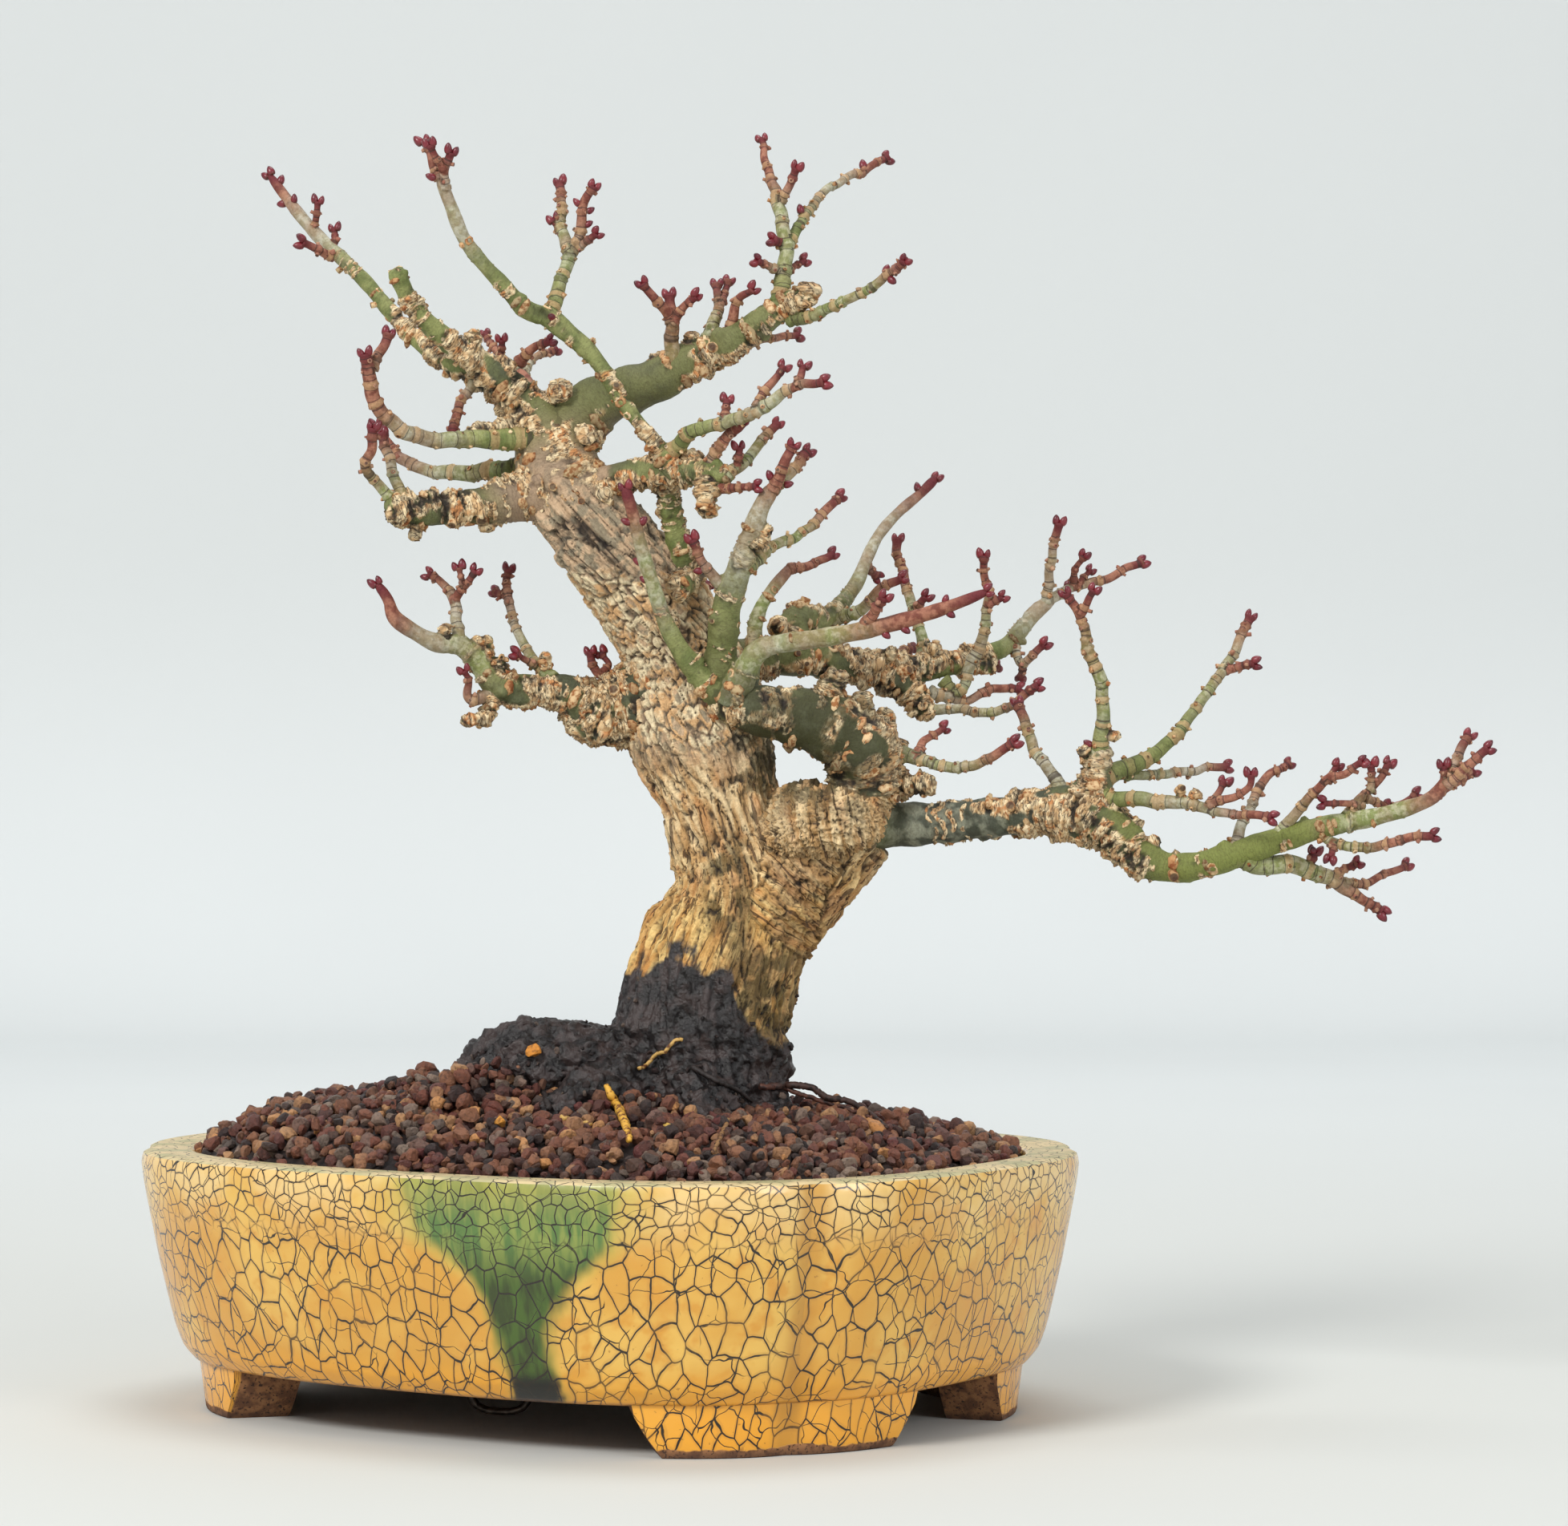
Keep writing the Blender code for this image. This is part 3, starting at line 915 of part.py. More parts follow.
def main():
    clear_scene()
    draw = random.Random(SEED)
    parts = collection("shishigashira_maple_bonsai")
    soil_cutters = collection("soil_cutters", True)
    pot_cutters = collection("pot_cutters", True)
    glaze = material("crackle_glaze", (0.72, 0.48, 0.2), 0.15)
    earth = material("soil_mix", (0.12, 0.06, 0.045), 0.9)
    bark = material("bark", (0.42, 0.32, 0.2), 0.8)
    plastic = material("screen_plastic", (0.02, 0.02, 0.02), 0.5)
    metal = material("dark_wire", (0.05, 0.045, 0.04), 0.3)
    build_tree(parts, soil_cutters, bark, draw)
    path = [Vector(point) for point in WIRE_PATH]
    wire = tube(path, [WIRE_RADIUS] * len(path), "tie_wire", parts, LIMB_SIDES)
    wire.data.materials.append(metal)
    shade_smooth(wire)
    tube(path, [WIRE_RADIUS + WIRE_GAP] * len(path), "wire_channel", soil_cutters, LIMB_SIDES)
    build_soil(parts, soil_cutters, earth, draw)
    build_pot(parts, pot_cutters, glaze)
    build_screens(parts, plastic)
    for group in (soil_cutters, pot_cutters):
        for obj in group.objects:
            obj.hide_render = True
            obj.display_type = "WIRE"
    centre_on_origin(parts)


main()
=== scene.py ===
import math
import random

import bmesh
import bpy
import numpy as np
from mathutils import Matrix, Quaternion, Vector, bvhtree, noise


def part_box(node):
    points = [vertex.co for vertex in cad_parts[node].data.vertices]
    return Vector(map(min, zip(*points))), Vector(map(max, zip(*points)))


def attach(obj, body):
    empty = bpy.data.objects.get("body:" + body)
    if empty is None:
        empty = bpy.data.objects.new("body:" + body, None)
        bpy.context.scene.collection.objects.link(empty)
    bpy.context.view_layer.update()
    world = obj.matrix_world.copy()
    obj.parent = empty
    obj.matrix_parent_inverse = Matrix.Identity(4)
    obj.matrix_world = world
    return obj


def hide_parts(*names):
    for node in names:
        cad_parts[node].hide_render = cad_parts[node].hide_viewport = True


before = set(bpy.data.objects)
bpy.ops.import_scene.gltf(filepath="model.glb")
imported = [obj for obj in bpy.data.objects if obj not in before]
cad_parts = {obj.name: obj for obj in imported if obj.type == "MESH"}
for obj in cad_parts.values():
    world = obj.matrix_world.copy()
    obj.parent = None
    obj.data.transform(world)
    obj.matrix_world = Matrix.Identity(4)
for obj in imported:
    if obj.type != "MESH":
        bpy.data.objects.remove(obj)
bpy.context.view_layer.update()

MM = 0.001
SEED = 11

# The photograph's viewpoint, in millimetres from the pot's centre on the table
EYE_DISTANCE = 1500.0
EYE_HEIGHT = 200.0
EYE_ACROSS = 54.5
SENSOR = 36.0
LENS = 110.43
FARTHEST = 50

pot_low, pot_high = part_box("pot")
POT_CENTRE = Vector(((pot_low.x + pot_high.x) / 2, (pot_low.y + pot_high.y) / 2, 0))
EYE = POT_CENTRE + Vector((EYE_ACROSS, -EYE_DISTANCE, EYE_HEIGHT)) * MM

# Pot, in millimetres
POT_TURN = math.radians(-32.4)
POT_HALF_LONG = 143.5
POT_HALF_SHORT = 121.0
POT_SQUARENESS = 2.69
NOTCH_ANGLE = math.radians(31.5)
NOTCHES = (NOTCH_ANGLE, -NOTCH_ANGLE, math.pi - NOTCH_ANGLE, math.pi + NOTCH_ANGLE)
NOTCH_DEPTH = 0.032
NOTCH_SPREAD = 0.085
FLOOR_TOP = 22.0
RIM_TOP = 80.5

# Pot profile: height, inset from the rim outline, share of the notch depth
OUTSIDE = [
    (15.0, 19.0, 0.5), (16.0, 15.5, 0.8), (20.5, 11.8, 1.0), (28.0, 9.2, 1.0),
    (47.0, 5.0, 1.0), (69.0, 1.0, 1.0), (77.0, 0.0, 1.0), (79.8, 0.6, 1.0), (RIM_TOP, 2.2, 0.9),
]
INSIDE = [
    (80.3, 14.5, 0.2), (79.2, 16.8, 0.0), (76.5, 17.2, 0.0), (72.0, 13.0, 0.0), (66.0, 10.5, 0.0),
    (46.0, 13.5, 0.0), (27.0, 18.5, 0.0), (FLOOR_TOP, 24.0, 0.0),
]

# Bracket feet, one at each notch
FOOT_TOP_HALF = 45.0
FOOT_BOTTOM_HALF = 35.5
FOOT_TOP = 19.0
FOOT_OUTER_TOP_INSET = 16.2
FOOT_OUTER_BOTTOM_INSET = 18.5
FOOT_INNER_INSET = 36.0
FOOT_RADIUS = 121.0
FOOT_NOTCH = 0.8
FOOT_STEPS = 24
FOOT_EDGE = 1.2
# Height, how far the ends have drawn in from the top's width to the bottom's, and the rounding of the edge
FOOT_LEVELS = [
    (FOOT_TOP, 0.0, 0), (12, 0.16, 0), (6, 0.55, 0), (FOOT_EDGE, 0.93, 0), (0.35, 1.0, 0.2), (0, 1.02, 0.7),
]

# Points round the pot: even ones, more beside each notch within an angle, and the least angle between two
POT_STEPS = 168
NOTCH_STEPS = 11
NOTCH_REACH = 0.2
CLOSEST = 0.004
POT_CREASE = 34

# The glaze's net starts at this angle, at the back, and bare clay is marked by a place far below it
GLAZE_SEAM = math.radians(122.4)
BARE_WRAP = -200.0

# Holes in the pot floor between two heights, in the pot's own axes, and where the wire goes through
HOLE_SPAN = (5, 30)
DRAIN_PLACES = [(-48.0, 0.0), (48.0, 0.0)]
DRAIN_RADIUS = 10.0
WIRE_HOLE_RADIUS = 2.6
WIRE_HOLES = [(-40.0, -66.0), (-20.0, -70.0)]
WIRE_RADIUS = 1.1
WIRE_PATH = [
    (-14, -32, 52), (-30, -52, 34), (-40, -66, 25), (-40, -66, 14), (-37, -66, 8.5), (-33, -67, 7),
    (-27, -69, 7), (-23, -70, 8.5), (-20, -70, 14), (-20, -70, 25), (-12, -54, 34), (-2, -36, 52),
]

# Soil mound
SOIL_BOTTOM = 23.8
SOIL_EDGE = 78.3
SOIL_RISE = 19.0
SOIL_RUN_LEFT = 20.0
SOIL_RUN_RIGHT = 46.0
SLOPE_START = 40.0
SLOPE_WIDTH = 120.0
SOIL_CLEAR = 17.3

# Tree. Each point is across, up, toward the viewer and radius, in millimetres in the picture plane
TRUNK = [
    (25, 70, 2, 33), (25, 92, 2, 31), (27, 106, 1, 28.5), (29, 120, 0, 27), (34, 136, 0, 25.5),
    (39, 150, 0, 24.5), (40, 163, 1, 21.5), (37, 175, 1, 18.5), (34, 188, 1, 18.5),
    (31, 200, 0, 21), (27, 212, 0, 22), (24, 226, 0, 20), (20, 238, 1, 17.5), (13, 250, 2, 17),
    (4, 262, 4, 16), (-5, 273, 6, 14.5), (-13, 284, 6, 14), (-17, 295, 5, 12.5), (-19, 304, 3, 10),
]
LIMBS = [
    [(42, 152, 0, 23), (52, 163, 2, 19), (62, 172, 5, 14), (68, 181, 7, 11.5), (76, 184, 8, 10.5),
     (84, 182, 7, 9)],
    [(50, 168, 2, 14), (54, 180, 4, 11), (60, 184, 6, 10), (68, 184, 7, 9)],
    [(78, 184, 9, 9), (80, 194, 13, 10.5), (79, 203, 16, 11.5), (71, 210, 18, 10.5), (60, 214, 19, 9.5),
     (49, 216, 20, 8), (39, 218, 19, 6.5), (32, 221, 16, 5)],
    [(76, 183, 8, 9.5), (87, 181, 6, 7.5), (98, 181, 8, 6.6), (110, 182, 10, 6.3), (124, 183.5, 14, 6.2),
     (136, 184.5, 18, 7.2), (148, 184, 23, 9), (157, 179, 27, 7.5), (165, 171, 30, 5.6), (174, 167.5, 32, 4.7),
     (184, 168, 35, 4.3), (197, 172, 38, 4.2), (212, 177, 41, 3.7), (225, 180.5, 44, 3.1), (238, 183, 46, 2.6),
     (249, 186, 48, 2.3), (257, 189.5, 50, 2), (262, 196, 52, 1.6)],
    [(148, 184, 23, 8), (151, 192, 24, 6), (152, 199, 25, 4.2), (153, 205, 26, 3)],
    [(22, 228, -2, 12), (36, 231, -9, 8), (50, 233, -14, 6.5), (62, 233, -18, 6), (76, 230, -23, 5.4),
     (88, 228.5, -28, 5.2), (100, 230, -33, 4.2), (112, 232, -38, 3.2), (123, 236, -43, 2.8),
     (128, 241, -46, 2.5), (133, 247, -49, 2.3), (138, 251, -51, 2.1)],
    [(86, 228, -27, 5), (93, 223, -28, 4.6), (98, 217.5, -27, 3.6), (100, 214.5, -27, 2.5)],
    [(18, 222, 0, 15), (5, 217, 1, 12), (-4, 216.5, 3, 10.6), (-9, 219, 5, 8), (-15, 222, 7, 5.6),
     (-24, 222.5, 9, 5), (-31, 223, 11, 5), (-36.5, 226, 13, 4.2), (-40, 231, 14, 3.6), (-46, 236.5, 16, 3.1),
     (-54, 237.5, 19, 2.7), (-61, 241, 22, 2.3), (-67, 245.5, 25, 2.3), (-69, 251, 26, 1.5),
     (-72.5, 256, 27, 1.4)],
    [(-13, 285, 6, 11), (-24, 284, 9, 8.5), (-36, 281, 13, 6.2), (-47, 279.5, 17, 5.3), (-58, 279, 21, 4.8),
     (-69.5, 278.5, 26, 4.6)],
    [(-17, 296, 5, 10), (-22, 306, 4, 8.5), (-29, 314, 2, 6), (-39, 320.5, -1, 4.3), (-50, 325, -6, 3),
     (-58, 330.5, -10, 2.7), (-66, 338, -14, 2.3), (-75, 349, -19, 2.2), (-83, 357, -23, 2.1),
     (-90, 363.5, -27, 2), (-97, 371.5, -31, 1.8), (-102, 378, -34, 1.5), (-106, 383.5, -36, 1.1)],
    [(-30, 316, 4, 5.5), (-40, 324.5, 8, 4.4), (-50, 331.5, 12, 3.4), (-57.5, 338, 16, 2.9),
     (-62.5, 345, 19, 2.7), (-67, 354, 22, 2.7)],
    [(-15, 300, 3, 10), (-7, 310, 1, 8.7), (4, 315.5, 1, 7.6), (14, 319, 3, 7), (24, 324, 5, 6),
     (35, 329.5, 7, 5.1), (46, 336.5, 9, 4.4), (54, 342, 11, 4), (61, 345.5, 13, 3.4)],
    [(-6, 284, 8, 8), (4, 289, 13, 4.8), (14, 290, 18, 4.4), (23, 291, 22, 4.2), (31, 290.5, 26, 3.8),
     (37, 290, 29, 2.7)],
    [(25, 256, 9, 5), (22, 266, 11, 3.6), (19.5, 278, 13, 3.3), (17, 288, 16, 3.3)],
    [(20, 292, 21, 4), (14, 300, 23, 2.4), (8.5, 307, 24, 2), (3, 314, 25, 2.1), (-1.5, 322, 25, 2.3),
     (-6.5, 328.5, 25, 2.6), (-14, 335, 25, 3), (-19, 339, 26, 3), (-26, 341.5, 28, 2.7), (-33, 349, 31, 2.3),
     (-40, 356.5, 34, 2.1), (-45.5, 364, 37, 2), (-49.5, 374, 40, 1.9), (-53, 383, 43, 1.5)],
    [(33, 222, 16, 6), (35, 235, 20, 4.9), (36.5, 248, 24, 4.6), (40, 259, 27, 3.9), (44, 270, 30, 3.2),
     (47, 279, 33, 2.7), (51, 286, 35, 2.3)],
    [(38, 219, 20, 6), (41.5, 227, 23, 4.2), (46.5, 235, 26, 3.2), (55, 237.5, 28, 2.8), (66, 239, 31, 2.8),
     (80, 241.5, 34, 2.6), (92, 244.5, 37, 2.3), (105, 248.5, 41, 1.9), (118, 253.5, 45, 1.2)],
    [(36, 219, 18, 5), (30, 225, 22, 3.6), (23, 234, 25, 3), (17.5, 244, 28, 2.4), (13.5, 256, 31, 2.1),
     (10, 267, 34, 2), (7.5, 277, 36, 1.8), (5, 286, 38, 1.6)],
    [(40, 221, 6, 5.5), (44.5, 232, 4, 3), (46, 245, 2, 2.1), (50, 253, 0, 1.8), (57, 261.5, -4, 1.7)],
    [(57, 238, -15, 4.5), (58.5, 245, -18, 4.6), (66, 245, -22, 3.5), (71, 248, -26, 2.7), (77, 256, -31, 2.2),
     (80, 263, -35, 1.9), (84, 271, -40, 1.7), (90, 278, -45, 1.6), (97, 284, -50, 1.5), (102, 289, -54, 1.4)],
    [(20, 226, -14, 8), (23, 233, -32, 5.4), (25, 240, -48, 4.3), (21, 247, -62, 3.1), (17, 254, -74, 2.2)],
    [(-11, 288, -2, 8), (-14, 296, -20, 5.2), (-18, 304, -36, 4), (-23, 313, -50, 3), (-28, 322, -62, 2)],
    [(10, 252, -8, 9), (3, 259, -26, 4.6), (-1, 266, -42, 3.4), (-3, 276, -56, 2.4), (-8, 284, -68, 1.7)],
]

# Twigs that end in a pair of buds
TWIGS = [
    [(-92, 366, -28, 1.3), (-91.5, 370, -27, 1.1), (-91, 375, -26, 1)],
    [(-86, 360, -25, 1.3), (-85.5, 367, -27, 0.9)],
    [(-86, 358, -24, 1.6), (-91, 360, -20, 1.4), (-96, 362, -17, 1.2)],
    [(-51, 379, 42, 1.5), (-51.5, 386, 45, 1.4), (-49.5, 391, 47, 1.2)],
    [(-53, 382, 43, 1.5), (-55.5, 388, 42, 1.3), (-58, 394, 41, 1.1)],
    [(-51.5, 385, 45, 1.2), (-54, 389, 47, 1.1), (-55.5, 393, 48, 1)],
    [(-19, 339, 25, 2.6), (-16, 346, 22, 2.2), (-14, 354, 19, 2), (-12, 359, 17, 2.2), (-14.5, 366, 13, 1.7),
     (-15, 374, 9, 1.5), (-15.5, 381, 5, 1.4)],
    [(-12, 359, 17, 1.9), (-9, 364, 19, 1.8), (-8.3, 372, 21, 1.5), (-5, 380.5, 23, 1.3)],
    [(-12, 359, 17, 1.6), (-8, 362, 20, 1.3), (-4, 365.5, 23, 1.1)],
    [(-14.5, 365, 13, 1.4), (-17.5, 369, 11, 1)],
    [(-28, 325, 3, 2), (-24, 329, 8, 1.4), (-18, 332, 12, 1.3)],
    [(-34, 321, 2, 1.6), (-34, 327, 3, 1.1), (-33.5, 332, 5, 1)],
    [(-41, 322, 0, 1.8), (-44.5, 315, 4, 1.5), (-48, 308, 8, 1.5), (-49, 302, 12, 1.6)],
    [(-24, 301, 10, 4), (-37, 301, 14, 3), (-50, 300.5, 20, 2.5), (-61, 302, 26, 2.4), (-69, 306.5, 30, 2.4),
     (-73.5, 313, 33, 2.3), (-75, 320, 36, 2.2), (-76, 327.5, 39, 1.6)],
    [(-74, 323, 36, 1.9), (-71.5, 328, 35, 1.6), (-69, 334, 34, 1.5)],
    [(-24, 292, 2, 4.5), (-36, 291, -3, 3), (-48, 290.5, -8, 2.4), (-57, 291.5, -12, 2), (-65, 295, -16, 1.9),
     (-70, 301, -19, 1.7), (-73, 306, -21, 1.5)],
    [(-64, 281, 24, 2), (-67, 289, 22, 1.7), (-70, 298, 20, 1.6), (-71, 303, 18, 1.4)],
    [(-67, 281, 24, 2), (-72, 287, 27, 1.7), (-76, 293, 30, 1.5), (-74, 298, 32, 1.5), (-74, 305, 33, 1.5)],
    [(53, 343, 11, 3.2), (54.5, 353, 8, 2.6), (55, 363, 5, 2.3), (53, 375, 1, 2), (50, 383, -3, 1.5),
     (48, 390, -8, 1.2), (47.5, 395, -11, 1)],
    [(53.5, 375, 1, 1.5), (56, 380, 3, 1.3), (58.5, 385, 5, 1.2)],
    [(55.5, 361, 5, 1.9), (59.5, 368, 0, 1.6), (66, 376.5, -9, 1.4), (73, 382, -18, 1.3), (80, 385, -26, 1.3),
     (86.5, 389, -33, 1.2)],
    [(54, 353, 8, 1.6), (50, 355, 12, 1.3), (46, 357, 16, 1.1)],
    [(55, 353, 8, 1.5), (58, 355, 4, 1.1), (61, 357, 1, 1)],
    [(54.5, 362, 5, 1.6), (51, 363.5, 9, 1.3)],
    [(56, 338.5, 11, 2.4), (65, 340, 17, 1.9), (73, 344, 23, 1.6), (84, 350, 31, 1.5), (92, 357, 38, 1.3)],
    [(41, 330, 8, 1.7), (47.5, 331.5, 4, 1.3), (54, 333, -2, 1.2), (59, 333.5, -7, 1)],
    [(20, 320, 5, 3), (19.7, 332, 9, 2.3), (19.5, 339, 12, 2), (14.5, 344, 16, 1.5), (10.5, 349, 19, 1.3)],
    [(19.5, 337, 12, 2), (18.5, 346, 10, 1.6)],
    [(19.8, 337, 12, 1.7), (23.5, 342.5, 14, 1.3), (27, 346, 16, 1.2)],
    [(31, 332, 6, 2.6), (34, 341, 2, 1.7), (33.5, 349, -3, 1.2)],
    [(34, 341, 2, 1.5), (37, 350, -6, 1)],
    [(38, 335, 7, 2), (40, 344, 10, 1.4), (45, 348, 13, 1)],
    [(18, 296, 21, 3), (22, 299.5, 26, 2.5), (28, 304, 31, 2.2), (37, 306.5, 37, 2), (46, 310, 42, 2.1),
     (53, 314.5, 45, 1.8), (59, 317.5, 48, 1.5), (67, 319, 52, 1.3)],
    [(46, 311, 42, 1.7), (50, 318, 39, 1.4), (54.5, 323, 37, 1.1)],
    [(58.5, 317, 48, 1.4), (61, 324, 46, 1)],
    [(36, 306.5, 36, 1.6), (37, 313, 34, 1.1)],
    [(31, 293, 26, 2), (35.5, 300, 31, 1.7), (42, 307, 38, 1.7)],
    [(36, 289, 28, 2.3), (42, 294, 24, 1.8), (47.5, 300, 20, 1.7), (52.5, 306, 16, 1.4)],
    [(40, 292, 26, 1.4), (40, 299, 29, 1)],
    [(34, 286, 27, 2), (40, 285.5, 32, 1.3), (45.5, 286, 36, 1)],
    [(-47, 238, 16, 2.2), (-47.5, 244, 13, 1.8), (-48.5, 251, 10, 1.7), (-52.5, 256, 7, 1.3),
     (-57, 259, 5, 1.2)],
    [(-48.5, 250.5, 10, 1.5), (-46, 254, 12, 1.3), (-42, 260, 15, 1)],
    [(-45.5, 255.5, 13, 1.1), (-47, 261, 14, 0.8)],
    [(-18, 226, 8, 2.8), (-23, 232, 4, 1.9), (-28, 240, 0, 1.5), (-30.5, 246, -3, 1.4), (-31.5, 253, -6, 1.4),
     (-31.3, 260.5, -9, 1.1)],
    [(-31.5, 252, -6, 1.3), (-36, 253, -9, 1.1)],
    [(-21, 229.5, 5, 1.3), (-25, 231.5, 8, 1.1), (-29, 234, 11, 0.8)],
    [(4, 229, -4, 2), (-1, 226.8, -4, 1.6), (-5, 230, -4, 1.4), (-5.5, 234, -4, 1.2)],
    [(-2, 228, -4, 1.3), (0, 231, -5, 1), (-3, 234.5, -6, 0.9)],
    [(-34, 223, 12, 2.6), (-40, 219.5, 16, 2), (-43.5, 220, 18, 1.6), (-44, 225, 20, 1.1),
     (-45.5, 229, 22, 0.9)],
    [(51, 285, 35, 2), (54, 292, 37, 1.7), (57, 299, 38, 1.4)],
    [(51, 285, 35, 2), (57, 291, 31, 1.8), (62, 297, 28, 1.6)],
    [(43, 261, 28, 2.4), (50, 266.5, 22, 1.8), (58, 270.5, 16, 1.6), (66, 277, 9, 1.5), (72, 283, 4, 1.4)],
    [(56, 260.5, -3, 1.6), (63, 261.5, -7, 1.4), (69.5, 265.5, -11, 1.3)],
    [(37, 253, 24, 2.6), (32, 259, 27, 1.8), (29, 263, 29, 1.5), (26, 269.5, 31, 1.4)],
    [(80, 243, 34, 2), (83, 248, 38, 1.6), (86, 252, 41, 1.5)],
    [(80, 262, -35, 1.5), (84, 258, -38, 1.3)],
    [(70, 244.5, -25, 2.3), (78, 248, -20, 2), (84, 254, -16, 1.7), (92, 258, -12, 1.3)],
    [(98, 233, -33, 2.4), (97, 240, -37, 1.8), (94.5, 249, -42, 1.7), (91.5, 258, -47, 1.6), (90, 265, -50, 1.5),
     (89.5, 270, -52, 1.5)],
    [(95.5, 247, -41, 1.5), (98.5, 252, -38, 1.1)],
    [(104, 226, -33, 2.2), (109, 222.5, -32, 1.7), (113.5, 232, -32, 2), (117, 241, -31, 1.7),
     (118.5, 252, -30, 1.4), (117, 258, -29, 1.3), (117, 264.5, -28, 1.2)],
    [(118, 249, -30, 1.2), (122.5, 252, -28, 1)],
    [(97, 217, -27, 2), (108, 216.7, -25, 1.5), (116, 215.7, -23, 1.5), (125, 218, -21, 1.4),
     (133, 224, -19, 1.4)],
    [(100, 222, -30, 2.2), (110, 219.5, -33, 1.4), (118, 222.5, -36, 1.4), (128, 223.5, -40, 1.3)],
    [(127, 239.5, -45, 1.8), (127, 235, -43, 1.4), (129, 231, -41, 1.4), (135, 237, -38, 1.2)],
    [(129, 231, -41, 1.3), (128.5, 226.5, -48, 1.2)],
    [(137, 251, -51, 1.9), (145, 254.5, -54, 1.5), (155, 257.5, -57, 1.4), (166, 262.5, -61, 1.3)],
    [(136.5, 250, -50, 1.8), (137, 258, -47, 1.5), (138.5, 266, -44, 1.4), (140, 275, -41, 1.4)],
    [(144.5, 254.5, -54, 1.4), (146, 261, -51, 1), (148, 265, -49, 0.9)],
    [(146, 255, -54, 1.2), (150, 260, -57, 0.8)],
    [(88, 203, 13, 3), (97, 201.5, 17, 2), (105, 198.5, 20, 1.7), (112, 199, 23, 1.6), (119, 202, 26, 1.5),
     (126, 206, 29, 1.4)],
    [(96, 202.5, 17, 1.6), (99, 207.5, 13, 1.2), (104, 211, 10, 1)],
    [(142, 189, 20, 3), (138.5, 196, 17, 2), (133.5, 203, 13, 1.8), (130.5, 210, 10, 1.7),
     (127.5, 219, 6, 1.5)],
    [(153, 204, 26, 2.8), (154, 213, 29, 2.2), (153.7, 222, 31, 2), (152.5, 228, 33, 2), (149.5, 236, 35, 1.7),
     (147.5, 244, 37, 1.5), (142.5, 253.5, 39, 1.3)],
    [(147, 246.5, 38, 1.3), (151.5, 254, 41, 1.1)],
    [(152, 194, 24, 4), (159, 198, 21, 2.9), (167, 201.5, 17, 2.5), (175, 207, 13, 2.1), (183, 217, 8, 1.8),
     (190, 226.5, 4, 1.7), (196, 237, 0, 1.6), (200, 246, -4, 1.5)],
    [(192, 229, 3, 1.5), (197, 230, 5, 1.3), (201, 231, 7, 1.2)],
    [(157, 197.5, 22, 2), (166, 196, 16, 1.5), (176, 196.5, 9, 1.4), (185, 198.5, 3, 1.3), (192, 199, -2, 1.3)],
    [(151, 190, 25, 3.5), (158, 189, 30, 2.5), (168, 188.5, 35, 2.3), (178, 187.5, 40, 2), (188, 185.5, 45, 1.5),
     (198, 183.8, 50, 1.3), (206, 183, 54, 1.3)],
    [(187, 187, 45, 1.5), (194, 189.5, 48, 1.2), (199.5, 192, 50, 1.1), (200, 196, 51, 1.1)],
    [(187, 187, 45, 1.3), (191.5, 194, 42, 1)],
    [(195, 173, 38, 2.2), (198, 182, 34, 1.6), (201, 189, 30, 1.5), (206, 196, 27, 1.3), (212, 200, 24, 1.1)],
    [(209, 178, 41, 2), (214, 184, 44, 1.7), (219, 190, 47, 1.5), (224.5, 195, 49, 1.3), (230, 196.5, 51, 1.2),
     (235, 200, 53, 1)],
    [(224, 194, 49, 1.2), (227, 199, 47, 0.9)],
    [(230, 183, 45, 2), (234, 188, 42, 1.6), (238, 192, 39, 1.3), (243.5, 200, 36, 1.1)],
    [(237.5, 191, 39, 1.2), (237.5, 200, 41, 1.1)],
    [(235, 186.5, 42, 1.2), (229, 187, 47, 1), (223, 187.5, 50, 0.9)],
    [(236, 189, 41, 1.3), (243, 186.5, 36, 1.1), (252, 189.5, 32, 1)],
    [(262, 195, 52, 1.6), (265, 204, 50, 1.5), (268, 209, 48, 1.4)],
    [(261, 193, 52, 1.7), (268, 199.5, 55, 1.5), (274, 204, 57, 1.3)],
    [(258, 190.5, 50, 1.5), (264, 193.5, 47, 1.4), (269, 197, 45, 1.2)],
    [(260, 193, 51, 1.3), (260.5, 199.5, 53, 1.1)],
    [(221, 178.5, 43, 1.8), (227, 174.5, 46, 1.5), (236, 173.8, 49, 1.5), (247, 176, 53, 1.4),
     (257, 177.5, 56, 1.3)],
    [(226, 175, 46, 1.3), (225.5, 170, 48, 1)],
    [(196, 171, 38, 3.4), (205, 168, 37, 3), (214, 168, 36, 2.8), (222, 165, 34, 2.5), (229, 161.5, 32, 2.1),
     (234, 157.5, 31, 1.6), (241, 154, 30, 1.4)],
    [(229, 162.5, 32, 1.6), (236, 162.8, 28, 1.3), (243, 165.5, 25, 1.2), (248.5, 168.5, 22, 1.1)],
    [(226, 164.5, 33, 1.6), (230, 167, 36, 1.2), (233.5, 169, 39, 1)],
    [(218, 167, 35, 1.8), (220, 172, 36, 1.3)],
    [(17, 254, -74, 1.7), (10, 259, -84, 1.4), (3, 262, -92, 1.2)],
    [(22, 245, -58, 1.9), (28, 250, -70, 1.5), (31, 256, -82, 1.2)],
    [(24, 238, -44, 2), (32, 241, -56, 1.5), (37, 246, -68, 1.2)],
    [(-27, 320, -60, 1.6), (-24, 326, -72, 1.3), (-17, 329, -82, 1.1)],
    [(-28, 322, -62, 1.6), (-34, 327, -72, 1.3), (-39, 334, -80, 1.1)],
    [(-18, 304, -37, 2), (-11, 311, -48, 1.5), (-4, 316, -58, 1.2)],
